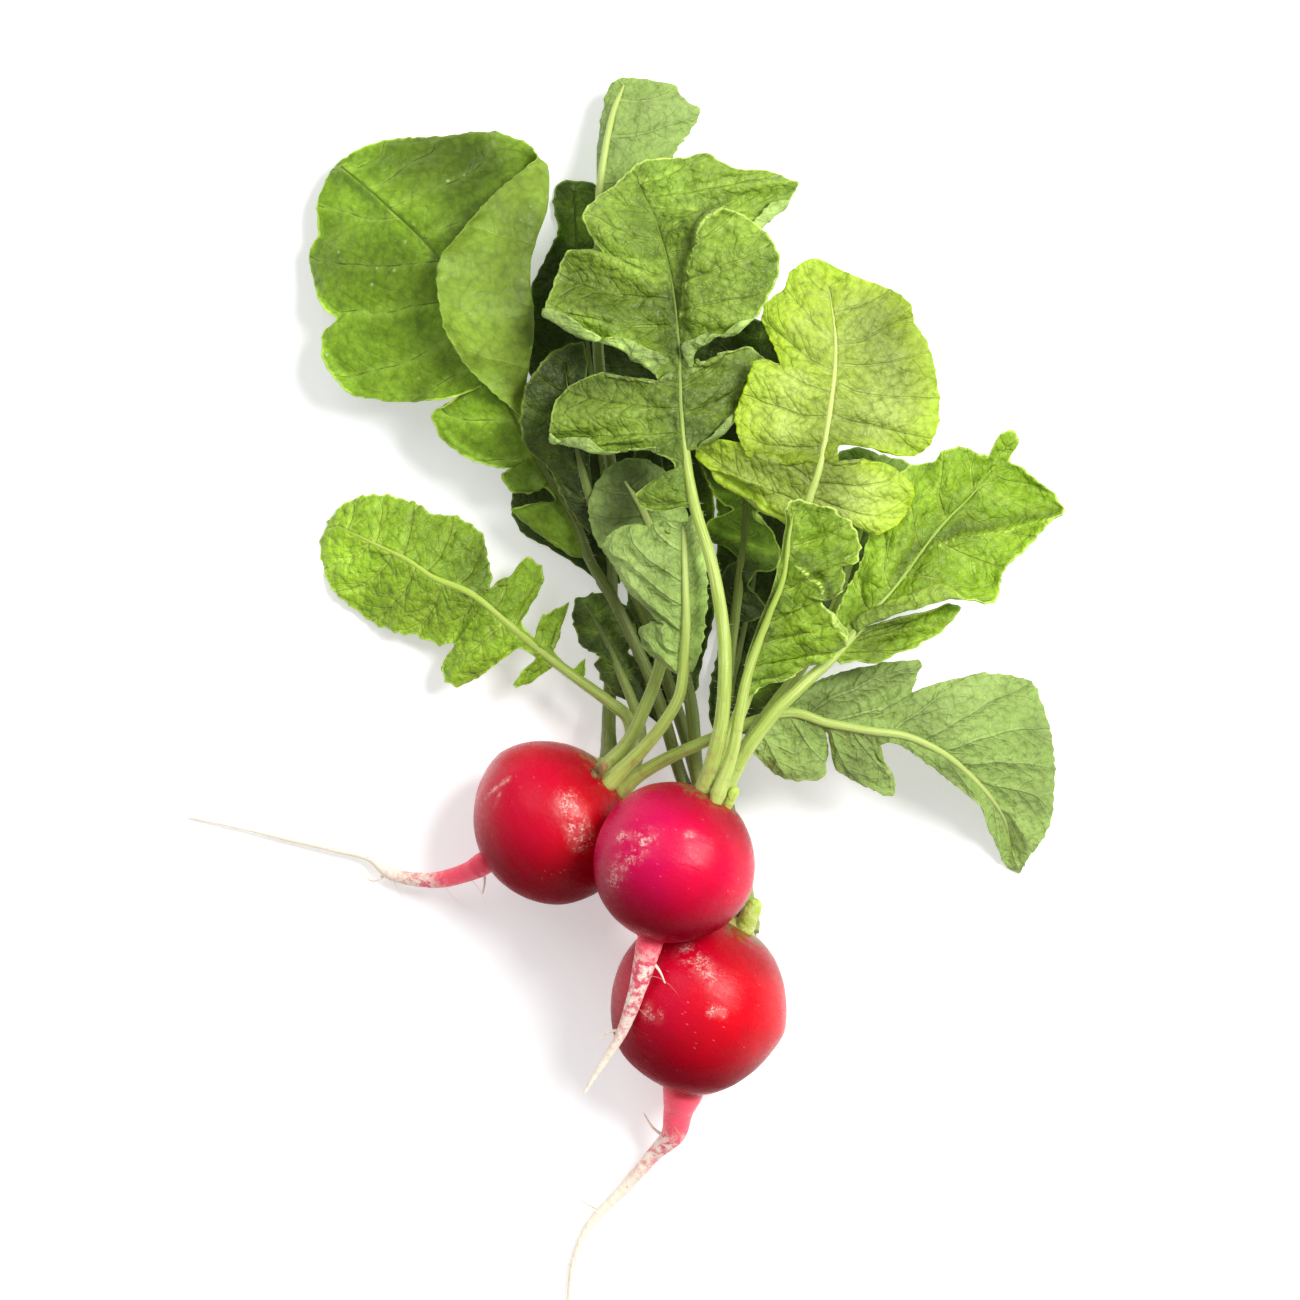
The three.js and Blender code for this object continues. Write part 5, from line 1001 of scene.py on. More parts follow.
            [6.8, 15.6, 47.2, -0.6], [7.2, 14.4, 51.2, -0.6], [7.6, 11.6, 54.8, -0.6], [8, 8.8, 57.6, -0.6],
        ],
    ),
    # Dark leaf spread low under the right-hand stalks, in painted shade
    Leaf(
        name="leaf_3_low", look="dark", slot="leaf_dark", stalk_shade=-1.3, coarse=1.5,
        shades=((19.2, 38.2, 3.2, 2.2), (25.8, 3.2, 3.6, 2), (28.4, 6.8, 2.8, 1.2)),
        rib=[
            [24.2, -45, 7], [22.6, -32.8, 4], [19.6, -19.8, 3], [18.8, -8.4, 2.6], [20.8, 3.2, 2.6],
            [23.8, 16.2, 2.6], [26, 29.2, 2.6], [26, 42.2, 2.6], [24.4, 52.2, 2.4],
        ],
        left=[
            [3.35, 17.6, -5.2, 0], [3.6, 16.6, -2, -0.2], [3.85, 16.4, 1.6, -0.4], [4.1, 16.8, 5.2, -0.5],
            [4.3, 17.6, 8.4, -0.6], [4.5, 18.4, 11.6, -0.8], [4.75, 18.8, 16.8, -1], [5.1, 18.8, 21.6, -1],
            [5.5, 18.4, 26.2, -1], [5.9, 18, 31.2, -1], [6.3, 18.4, 36.2, -1], [6.65, 18, 40.8, -1],
            [7, 17.6, 45.2, -1], [7.4, 18.4, 50.2, -1], [7.7, 20, 53.6, -1], [8, 22.4, 55.6, -1],
        ],
        right=[
            [3.35, 22.2, -6, -0.1], [3.5, 26, -5, -0.4], [3.7, 30, -1.8, -0.7], [3.95, 32.8, 1.8, -1],
            [4.25, 34.4, 5.8, -1], [4.55, 35.2, 10.2, -1], [4.87, 35, 15.2, -1], [5.2, 34.8, 20.8, -1],
            [5.6, 34.6, 27.2, -1], [6, 35, 33.2, -1], [6.45, 34.8, 38.8, -1], [6.9, 34.4, 44.4, -1],
            [7.35, 32.4, 49.2, -1], [7.7, 29.6, 53, -1], [8, 26.8, 55.2, -1],
        ],
    ),
]


# ---------- node trees ----------

def sum_of(operation, swapped=False):
    """How a Value answers to an arithmetic sign."""
    def result(value, other):
        pair = (other, value) if swapped else (value, other)
        return value.graph.math(operation, *pair)
    return result


class Value:
    """What comes out of a node. It can be part of a sum, with numbers and with other Values."""

    def __init__(self, graph, socket):
        self.graph, self.socket = graph, socket

    __add__, __sub__ = sum_of("ADD"), sum_of("SUBTRACT")
    __mul__, __truediv__ = sum_of("MULTIPLY"), sum_of("DIVIDE")
    __rsub__, __rtruediv__ = sum_of("SUBTRACT", swapped=True), sum_of("DIVIDE", swapped=True)


class Graph:
    """Adds nodes to a tree. Their inputs are numbers, tuples, text and Values."""

    def __init__(self, tree):
        self.tree = tree

    def fill(self, node, inputs):
        """Sets or links a node's inputs, each by its identifier, name or number."""
        for key, value in inputs.items():
            socket = next((found for found in node.inputs if found.identifier == key), None)
            socket = socket or node.inputs[key]
            if isinstance(value, Value):
                self.tree.links.new(value.socket, socket)
            else:
                socket.default_value = value

    def add(self, kind, inputs=None, **settings):
        """A new node's outputs, by name."""
        node = self.tree.nodes.new(kind)
        for name, value in settings.items():
            setattr(node, name, value)
        self.fill(node, inputs or {})
        return {socket.name: Value(self, socket) for socket in node.outputs if socket.enabled}

    def out(self, kind, inputs=None, out=None, **settings):
        """One output of a new node: the named one, or else the first."""
        outputs = self.add(kind, inputs, **settings)
        return outputs[out] if out else next(iter(outputs.values()))

    def draw(self, low, high, seed):
        """A random number for each element, from low to high."""
        inputs = {"Min_001": low, "Max_001": high, "Seed": seed}
        return self.out("FunctionNodeRandomValue", inputs, data_type="FLOAT")

    def math(self, operation, *values, clamp=False):
        return self.out("ShaderNodeMath", dict(enumerate(values)), operation=operation, use_clamp=clamp)

    def vector(self, operation, *values):
        return self.out("ShaderNodeVectorMath", dict(enumerate(values)), operation=operation)

    def scaled(self, vector, scale):
        return self.out("ShaderNodeVectorMath", {0: vector, "Scale": scale}, operation="SCALE")

    def combine(self, x, y, z):
        return self.out("ShaderNodeCombineXYZ", {0: x, 1: y, 2: z})

    def split(self, vector):
        return self.add("ShaderNodeSeparateXYZ", {0: vector}).values()

    def mix(self, share, first, second):
        """A share of the second colour in the first, each three numbers or a Value."""
        first, second = ((*each, 1) if isinstance(each, tuple) else each for each in (first, second))
        return self.out("ShaderNodeMix", {0: share, 6: first, 7: second}, data_type="RGBA")

    def layers(self, colour, *others):
        """A colour with others laid over it in turn, each with its share."""
        for share, other in others:
            colour = self.mix(share, colour, other)
        return colour

    def shaded(self, colour, shade):
        """A colour made lighter or darker, in steps of twice as bright."""
        return self.scaled(colour, self.math("POWER", 2.0, shade))

    def step(self, value, low, high, start=0.0, end=1.0):
        """A smooth step from start to end as a value goes from low to high."""
        inputs = {"Value": value, "From Min": low, "From Max": high, "To Min": start, "To Max": end}
        return self.out("ShaderNodeMapRange", inputs, "Result", interpolation_type="SMOOTHSTEP")

    def attribute(self, name):
        return self.out("ShaderNodeAttribute", out="Fac", attribute_name=name)

    def place(self):
        """The place on the piece in millimetres."""
        here = self.out("ShaderNodeTexCoord", out="Object")
        return self.vector("MULTIPLY", here, (1 / MM, 1 / MM, 1 / MM))

    def noise(self, place, size, detail=2.0, roughness=0.5, out="Fac"):
        inputs = {"Vector": place, "Scale": 1 / size, "Detail": detail, "Roughness": roughness}
        return self.out("ShaderNodeTexNoise", inputs, out)

    def cells(self, place, size, feature="F1"):
        inputs = {"Vector": place, "Scale": 1 / size}
        return self.out("ShaderNodeTexVoronoi", inputs, "Distance", feature=feature)

    def line(self, distance, width, softness=0.6):
        """1 on a line and 0 beyond its width, from the distance to it."""
        return self.step(distance, width * (1 - softness), width, 1.0, 0.0)

    def highest(self, *values):
        """The highest of some values."""
        first, *others = values
        for other in others:
            first = self.math("MAXIMUM", first, other)
        return first

    def bump(self, height, depth, strength=1.0):
        """The normals of a surface with that height in it."""
        return self.out("ShaderNodeBump", {"Height": height, "Distance": depth, "Strength": strength})


# ---------- geometry trees ----------

def shape_tree(name, inputs):
    """A geometry tree with those named inputs: the tree, its graph and its inputs."""
    tree = bpy.data.node_groups.new(name, "GeometryNodeTree")
    tree.interface.new_socket("Geometry", in_out="INPUT", socket_type="NodeSocketGeometry")
    for label, (kind, default) in inputs.items():
        socket = tree.interface.new_socket(label, in_out="INPUT", socket_type="NodeSocket" + kind)
        if default is not None:
            socket.default_value = default
    tree.interface.new_socket("Geometry", in_out="OUTPUT", socket_type="NodeSocketGeometry")
    graph = Graph(tree)
    return tree, graph, graph.add("NodeGroupInput")


def finish_tree(graph, geometry, material):
    """Ends a tree in real geometry, smooth and with its material."""
    real = graph.out("GeometryNodeRealizeInstances", {"Geometry": geometry})
    smooth = graph.out("GeometryNodeSetShadeSmooth", {"Geometry": real})
    painted = graph.out("GeometryNodeSetMaterial", {"Geometry": smooth, "Material": material})
    graph.add("NodeGroupOutput", {"Geometry": painted})


def stored(graph, geometry, name, value):
    """A geometry with a number stored at each of its points."""
    inputs = {"Geometry": geometry, "Name": name, "Value": value}
    return graph.out("GeometryNodeStoreNamedAttribute", inputs, data_type="FLOAT", domain="POINT")


def named(graph, name):
    return graph.out("GeometryNodeInputNamedAttribute", {"Name": name}, data_type="FLOAT")


def swept(graph, curve, ring, scale):
    """A ring swept along a curve and closed at its ends."""
    inputs = {"Curve": curve, "Profile Curve": ring, "Scale": scale, "Fill Caps": True}
    return graph.out("GeometryNodeCurveToMesh", inputs)


def limb_tree():
    """A closed limb along a path: a grooved ring, swept, with the path's own thickness."""
    tree, graph, given = shape_tree("Swept limb", {
        "Sides": ("Int", 16), "Groove": ("Float", 0.0), "Flatten": ("Float", 0.0),
        "Lumps": ("Float", 0.0), "Lump Size": ("Float", 0.004), "Upright": ("Bool", True),
        "Material": ("Material", None),
    })
    path = graph.out("GeometryNodeMeshToCurve", {"Mesh": given["Geometry"]})
    length = graph.out("GeometryNodeSplineParameter", out="Length")
    path = stored(graph, path, "down", length / MM)
    upright = graph.out("GeometryNodeSetCurveNormal", {"Curve": path}, mode="Z_UP")
    untwisted = graph.out("GeometryNodeSetCurveNormal", {"Curve": path}, mode="MINIMUM_TWIST")
    inputs = {"Switch": given["Upright"], "False": untwisted, "True": upright}
    path = graph.out("GeometryNodeSwitch", inputs, input_type="GEOMETRY")

    ring = graph.out("GeometryNodeCurvePrimitiveCircle", {"Resolution": given["Sides"], "Radius": 1.0})
    x, y, _ = graph.split(graph.out("GeometryNodeInputPosition"))
    ring = stored(graph, ring, "round_x", x)
    ring = stored(graph, ring, "round_y", y)
    cut = given["Groove"] * graph.step(y, 0.55, 1.0)
    low = given["Flatten"] * graph.math("MAXIMUM", y, 0.0)
    shaped = graph.combine(x, y - (cut + low), 0.0)
    ring = graph.out("GeometryNodeSetPosition", {"Geometry": ring, "Position": shaped})

    limb = swept(graph, path, ring, named(graph, "thickness"))
    lumps = graph.out("ShaderNodeTexNoise", {"Scale": 1.0 / given["Lump Size"], "Detail": 3.0})
    push = graph.scaled(graph.out("GeometryNodeInputNormal"), (lumps - 0.5) * given["Lumps"])
    limb = graph.out("GeometryNodeSetPosition", {"Geometry": limb, "Offset": push})
    finish_tree(graph, limb, given["Material"])
    return tree


TABLE_LIFT = 0.0003  # hairs that would go below this height bend along the table
HAIR_TIP = 0.15  # thickness of a hair at its tip, as a share of its base
HAIR_BEND_AT = 0.55  # where along a hair its bend is
SHORTEST_HAIR = 0.35  # as a share of the longest


def hair_tree():
    """Curved, tapering hairs on a surface, as thick as its own hair value asks for."""
    tree, graph, given = shape_tree("Hairs", {
        "Density": ("Float", 1e5), "Length": ("Float", 0.001), "Thickness": ("Float", 0.00005),
        "Bend": ("Float", 0.3), "Lean": ("Float", 0.5), "Steps": ("Int", 2), "Seed": ("Int", 1),
        "Material": ("Material", None),
    })
    seed, length, lean = given["Seed"], given["Length"], given["Lean"]
    density = given["Density"] * named(graph, "hair")
    inputs = {"Mesh": given["Geometry"], "Density": density, "Seed": seed}
    spots = graph.add("GeometryNodeDistributePointsOnFaces", inputs, distribute_method="RANDOM")
    low = lean * -1.0
    aside = graph.combine(*(graph.draw(low, lean, seed + float(offset)) for offset in range(3)))
    way = graph.vector("ADD", spots["Normal"], aside)
    turn = graph.out("FunctionNodeAlignRotationToVector", {"Vector": way}, axis="Z")
    swing = graph.draw(0.0, 2 * math.pi, seed)
    swing = graph.out("FunctionNodeAxisAngleToRotation", {"Angle": swing})
    inputs = {"Rotation": turn, "Rotate By": swing}
    turn = graph.out("FunctionNodeRotateRotation", inputs, rotation_space="LOCAL")

    middle = graph.combine(0.0, 0.0, length * HAIR_BEND_AT)
    end = graph.combine(length * given["Bend"], 0.0, length)
    inputs = {"Resolution": given["Steps"], "Start": (0, 0, 0), "Middle": middle, "End": end}
    strand = graph.out("GeometryNodeCurveQuadraticBezier", inputs)
    ring = graph.out("GeometryNodeCurvePrimitiveCircle", {"Resolution": 3, "Radius": given["Thickness"]})
    along = graph.out("GeometryNodeSplineParameter", out="Factor")
    hair = swept(graph, strand, ring, 1.0 - along * (1 - HAIR_TIP))
    size = graph.draw(SHORTEST_HAIR, 1.0, seed)
    inputs = {"Points": spots["Points"], "Instance": hair, "Rotation": turn, "Scale": size}
    hairs = graph.out("GeometryNodeInstanceOnPoints", inputs)
    hairs = graph.out("GeometryNodeRealizeInstances", {"Geometry": hairs})

    x, y, z = graph.split(graph.out("GeometryNodeInputPosition"))
    below = (z - TABLE_LIFT) / TABLE_LIFT
    squeezed = graph.math("EXPONENT", graph.math("MINIMUM", below, 0.0)) * TABLE_LIFT
    lifted = graph.combine(x, y, graph.highest(z, squeezed))
    hairs = graph.out("GeometryNodeSetPosition", {"Geometry": hairs, "Position": lifted})
    finish_tree(graph, hairs, given["Material"])
    return tree


def grown(source, tree, name, inputs):
    """Runs a tree on an object and gives the result as a plain mesh, with the object removed."""
    modifier = source.modifiers.new(name, "NODES")
    modifier.node_group = tree
    for item in tree.interface.items_tree:
        if item.in_out == "INPUT" and item.name in inputs:
            modifier[item.identifier] = inputs[item.name]
    bpy.context.view_layer.update()
    evaluated = source.evaluated_get(bpy.context.evaluated_depsgraph_get())
    mesh = bpy.data.meshes.new_from_object(evaluated)
    mesh.name = name
    bpy.data.objects.remove(source)
    return mesh


# ---------- objects ----------

def store_values(mesh, values):
    """Stores numbers of each kind at the points of a mesh."""
    for kind, value in values.items():
        layer = mesh.attributes.new(kind, "FLOAT", "POINT")
        layer.data.foreach_set("value", np.asarray(value, np.float32).ravel())


def limb_mesh(name, limbs, points, thickness, values, inputs):
    """A limb along a line of points in millimetres, with a thickness and more values at each."""
    mesh = bpy.data.meshes.new(name + "_line")
    points = np.asarray(points, float) * MM
    edges = [(i, i + 1) for i in range(len(points) - 1)]
    mesh.from_pydata(points.tolist(), edges, [])
    store_values(mesh, {"thickness": np.asarray(thickness) * MM, **values})
    return grown(placed(name + "_line", mesh), limbs, name, inputs)


def placed(name, data):
    found = bpy.data.objects.new(name, data)
    bpy.context.scene.collection.objects.link(found)
    return found


def joined(name, meshes):
    """One object that holds several meshes."""
    parts = [placed(name, mesh) for mesh in meshes]
    with bpy.context.temp_override(
        active_object=parts[0], object=parts[0],
        selected_objects=parts, selected_editable_objects=parts,
    ):
        bpy.ops.object.join()
    parts[0].name = name
    return parts[0]


def settle(piece, nodes):
    """Says what a finished piece rides on, and hides the parts that it stands for."""
    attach(piece, BODY)
    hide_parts(*nodes)


# ---------- finishes ----------

def shader(name):
    """A new material with its graph and its surface node."""
    material = bpy.data.materials.new(name)
    material.use_nodes = True
    tree = material.node_tree
    return material, Graph(tree), tree.nodes["Principled BSDF"]


@dataclass
class LeafLook:
    """The colours of a blade: two greens, its veins, its rim, its underside and its midrib."""

    green: tuple
    other_green: tuple
    vein: tuple
    rim: tuple
    under: tuple
    under_vein: tuple
    rib: tuple
    vein_share: float = 0.5
    # how much darker the creases along the veins are painted: a painted shade
    crease_shade: float = 0.3
    gloss: float = 0.4
    rough_skin: float = 0.8
    edge_share: float = 0.0
    # how much darker the blade is painted near its midrib: a painted shade
    rib_shade: float = 0.35
    net_share: float = 0.3
    # how much lighter the tops of the bumps of a blade are painted, and darker their hollows: painted light
    # and shade
    pebbles: float = 0.3
    # share of pale water-drop spots: the water is real, their paleness a painted highlight
    drop_glints: float = 0.0
    shine: float = 0.3


LOOKS = {
    "fan": LeafLook(
        (0.13, 0.235, 0.01), (0.29, 0.47, 0.035), (0.36, 0.54, 0.07), (0.4, 0.58, 0.08),
        (0.2, 0.31, 0.03), (0.3, 0.42, 0.06), (0.12, 0.21, 0.01), vein_share=0.25, crease_shade=0.75,
        gloss=0.44, rough_skin=0.25, rib_shade=0.2, net_share=0.14, drop_glints=0.4, shine=0.16,
    ),
    "mid": LeafLook(
        (0.12, 0.2, 0.014), (0.29, 0.43, 0.045), (0.34, 0.48, 0.07), (0.44, 0.6, 0.11),
        (0.34, 0.48, 0.12), (0.42, 0.57, 0.16), (0.2, 0.31, 0.03), vein_share=0.35, crease_shade=0.6,
        net_share=0.25,
    ),
    # A darkened copy of the leaf greens for the leaves that lie low in the pile: painted shade
    "dark": LeafLook(
        (0.024, 0.042, 0.004), (0.05, 0.082, 0.008), (0.1, 0.15, 0.02), (0.12, 0.17, 0.02),
        (0.08, 0.12, 0.02), (0.16, 0.22, 0.05), (0.13, 0.18, 0.03), crease_shade=0.2, gloss=0.5,
    ),
    "bright": LeafLook(
        (0.19, 0.33, 0.008), (0.33, 0.52, 0.028), (0.45, 0.63, 0.08), (0.48, 0.68, 0.1),
        (0.32, 0.48, 0.05), (0.5, 0.64, 0.14), (0.42, 0.58, 0.07),
    ),
    "fresh": LeafLook(
        (0.12, 0.22, 0.004), (0.26, 0.41, 0.018), (0.4, 0.56, 0.07), (0.55, 0.72, 0.15),
        (0.3, 0.42, 0.06), (0.45, 0.56, 0.14), (0.36, 0.5, 0.06), vein_share=0.45, crease_shade=0.4,
    ),
    "yellow": LeafLook(
        (0.34, 0.46, 0.04), (0.5, 0.64, 0.15), (0.6, 0.72, 0.18), (0.42, 0.6, 0.01),
        (0.42, 0.54, 0.08), (0.56, 0.65, 0.16), (0.56, 0.68, 0.17), vein_share=0.3, crease_shade=0.55,
        edge_share=0.6, net_share=0.15, pebbles=0.25,
    ),
    "pale_back": LeafLook(
        (0.16, 0.27, 0.03), (0.21, 0.35, 0.06), (0.3, 0.42, 0.08), (0.42, 0.56, 0.12),
        (0.27, 0.39, 0.085), (0.47, 0.6, 0.2), (0.46, 0.57, 0.15), crease_shade=0.0, gloss=0.5,
        net_share=0.15, pebbles=0.2,
    ),
}
LOOKS["pointed"] = replace(LOOKS["bright"], rib=(0.26, 0.41, 0.025))

# Of a blade's finish, in millimetres. A light line on a vein has a creased groove beside it that is painted
# darker: a painted shade.
NET = 1.7  # width of the meshes in the net of veins, and of the finer ones in them
FINE_NET = 0.8
WARP, WARP_SIZE = 1.1, 1 / 0.45  # how far the net is pulled out of shape, over what width
NET_LINE, FINE_NET_LINE, BRANCH_LINE = 0.2, 0.13, 0.28
# widths of the creases that are painted darker, a painted shade
VEIN_CREASE, BRANCH_CREASE, NET_CREASE = 0.26, 0.24, 0.16
HALO = 1.7  # width of the paler band along a vein
RIM_LINE = 0.6  # width of the pale rim, and of the wide band that edge_share asks for
RIM_BAND = 12.0
BLADE_RELIEF = 0.0003  # height of the bumps of a blade, in metres
# colour of the water-drop spots, a painted highlight
DROP_GLINT = (0.62, 0.74, 0.4)


def dome(graph, spot, size):
    """The height of rounded bumps of about that size, side by side."""
    across = graph.cells(spot, size)
    return 1.0 - across * across * 2.2


def leaf_finish(name, look):
    """Leaf blade: branching veins and a fine net on puckered green, with a paler underside."""
    material, graph, surface = shader(name)
    spot = graph.place()
    vein, gap, far, rim, branch, under = (
        graph.attribute(kind) for kind in ("vein", "gap", "far", "rim", "branch", "under")
    )
    wobble = graph.noise(spot, 2.2) - 0.5

    to_vein = graph.math("PINGPONG", vein, 0.5) * gap + wobble * 0.3
    width = graph.math("MINIMUM", rim / (rim + far + 0.01) * 0.4 + 0.2, gap * 0.12)
    main = graph.line(to_vein, width)
    to_branch = graph.math("PINGPONG", branch + wobble * 0.22, 0.5) * (BRANCH_GAP / math.hypot(1, SLANT))
    side = graph.line(to_branch, BRANCH_LINE)
    drift = graph.noise(spot, WARP_SIZE, 3.0, out="Color")
    warped = graph.vector("ADD", spot, graph.vector("MULTIPLY", drift, (WARP, WARP, WARP)))
    to_net = graph.cells(warped, NET, "DISTANCE_TO_EDGE") * NET
    to_fine = graph.cells(warped, FINE_NET, "DISTANCE_TO_EDGE") * FINE_NET
    net, fine_net = graph.line(to_net, NET_LINE), graph.line(to_fine, FINE_NET_LINE)
    veins = graph.highest(main, side * 0.55, net * 0.4, fine_net * 0.15)

    patches = graph.step(graph.noise(spot, 14.0, 4.0, 0.6), 0.36, 0.64)
    mottle = graph.step(graph.noise(spot, 1.0, 4.0, 0.7), 0.34, 0.66)
    grain = graph.noise(spot, 0.4, 2.0)
    # darker within 9 mm of the midrib: a painted shade of the valley along the rib
    by_rib = graph.step(far, 0.0, 9.0, 1.0, 0.0) * look.rib_shade
    tone = patches * 0.6 + mottle * 0.3
    tone = graph.math("ADD", tone, (grain - 0.5) * 0.5 - by_rib, clamp=True)
    # the creases along veins, branches and net are painted darker: a painted shade
    crease_shade = graph.highest(
        graph.line(to_vein, VEIN_CREASE, 0.8),
        graph.line(to_branch, BRANCH_CREASE) * 0.4,
        graph.line(to_net, NET_CREASE, 0.8) * look.net_share,
    )
    broken = graph.step(graph.noise(spot, 3.5, 2.0), 0.36, 0.6)
    flecks = graph.line(graph.cells(spot, 1.5), 0.12, 0.5)
    flecks = flecks * graph.step(graph.noise(spot, 4.0), 0.45, 0.6)
    edge = rim + wobble * 0.5
    upper = graph.layers(
        look.green,
        (tone, look.other_green),
        (graph.line(to_vein, HALO, 0.9) * 0.35, look.vein),
        (veins * look.vein_share, look.vein),
        (crease_shade * broken * look.crease_shade, tuple(0.35 * value for value in look.green)),
        (flecks * 0.6, look.rim),
        (graph.line(edge, RIM_BAND, 0.95) * look.edge_share, look.rim),
        (graph.line(edge, RIM_LINE, 0.7), look.rim),
    )
    back = graph.layers(
        look.under,
        (tone * 0.6, look.under_vein), (mottle * 0.35, look.green), (veins * 0.3, look.under_vein),
    )
    pebbles, bumps = dome(graph, warped, FINE_NET), dome(graph, warped, NET)
    # Painted light and shade: the blade's shade patches and step shadows, with the tops of its bumps painted
    # lighter and their hollows darker
    shade = graph.attribute("shade") + (bumps + pebbles * 0.4) * look.pebbles
    colour = graph.shaded(graph.mix(under, upper, back), shade - 0.75 * look.pebbles)
    # Pale water-drop spots: the water is real, their paleness is a painted highlight
    if look.drop_glints:
        drop = graph.line(graph.cells(warped, 3.2), 0.16, 0.7)
        drop = drop * graph.step(graph.noise(spot, 9.0, 2.0), 0.5, 0.6)
        colour = graph.mix(drop * look.drop_glints, colour, DROP_GLINT)

    height = bumps - main * 1.2 + pebbles * 0.35 - side * 0.6
    height = height * (1.0 - under * 2.0) + grain * 0.5
    graph.fill(surface, {
        "Base Color": colour,
        "Roughness": graph.step(
            graph.noise(spot, 1.5, 3.0), 0.2, 0.8, look.gloss - 0.08, look.gloss + 0.2,
        ),
        "Specular IOR Level": look.shine,
        "Subsurface Weight": 0.3, "Subsurface Radius": (0.7, 1.0, 0.25), "Subsurface Scale": 0.001,
        "Normal": graph.bump(height, BLADE_RELIEF, look.rough_skin),
    })
    return material


def stalk_finish(name, pale, green, blush, in_leaf):
    """Stalk and midrib: pale, with fine lines along it and a flush of red near the root."""
    material, graph, surface = shader(name)
    spot = graph.place()
    down, round_x, round_y = (graph.attribute(kind) for kind in ("down", "round_x", "round_y"))
    lines = graph.noise(graph.combine(round_x * 2.4, round_y * 2.4, down * 0.05), 0.6, 3.0)
    red = graph.step(graph.noise(spot, 2.0, 4.0), 0.5, 0.72) * 0.45
    base = graph.layers(
        pale,
        (graph.step(lines, 0.35, 0.65), green),
        (graph.step(graph.noise(spot, 5.0), 0.35, 0.7) * 0.35, green),
        (graph.step(down, 2.0, 16.0, 1.0, 0.0) * 0.55, pale),
        (red * graph.step(down, 5.0, 30.0, 1.0, 0.1), blush),
        (graph.attribute("in_blade"), in_leaf),
    )
    graph.fill(surface, {
        # the shade value paints the stalk darker: partly its own darker colour, partly painted shade
        "Base Color": graph.shaded(base, graph.attribute("shade")),
        "Roughness": 0.38, "Specular IOR Level": 0.45,
        "Subsurface Weight": 0.2, "Subsurface Radius": (0.8, 1.0, 0.35), "Subsurface Scale": 0.0015,
        "Normal": graph.bump(lines + graph.noise(spot, 0.3), 0.00014, 0.8),
    })
    return material


def plain_finish(name, colour, other, size, roughness, depth=0.0001):
    """A soft two-tone finish for small parts."""
    material, graph, surface = shader(name)
    spot = graph.place()
    share = graph.step(graph.noise(spot, size, 4.0, 0.6), 0.3, 0.7)
    graph.fill(surface, {
        "Base Color": graph.mix(share, colour, other), "Roughness": roughness,
        "Subsurface Weight": 0.1, "Subsurface Scale": 0.001,
        "Normal": graph.bump(graph.noise(spot, 0.25 * size, 3.0), depth),
    })
    return material


# Where things are on a root, as its part value says: 0 to 1 on the bulb, and then on along the tail.
CROWN_STEM = (0.0, 0.05)
CROWN_RING = (0.085, 0.115)
CROWN_DEEP = (0.12, 0.34)
NECK = (0.98, 1.1)
FLUSH_WAY = (-0.8, 0.25, 0.5)  # the side of a bulb that is flushed
PAINTED_SHADE_WAY = (-0.3, -0.9, -0.25)  # and the side away from the light, which is painted darker: a painted shade
SKIN_RELIEF = 0.00013  # height of the bumps of the skin, in metres
NECK_RED, TAIL_RED = (1.0, 0.1, 0.16), (0.74, 0.08, 0.14)
CREAM, TAIL_CREAM, SOIL = (0.9, 0.74, 0.64), (0.9, 0.81, 0.66), (0.3, 0.17, 0.07)
# the last colour is the pale of the scuff marks and of the painted highlight
RING_BROWN, CROWN_GREEN, SCUFF_AND_HIGHLIGHT = (0.2, 0.1, 0.03), (0.42, 0.42, 0.12), (0.9, 0.5, 0.45)


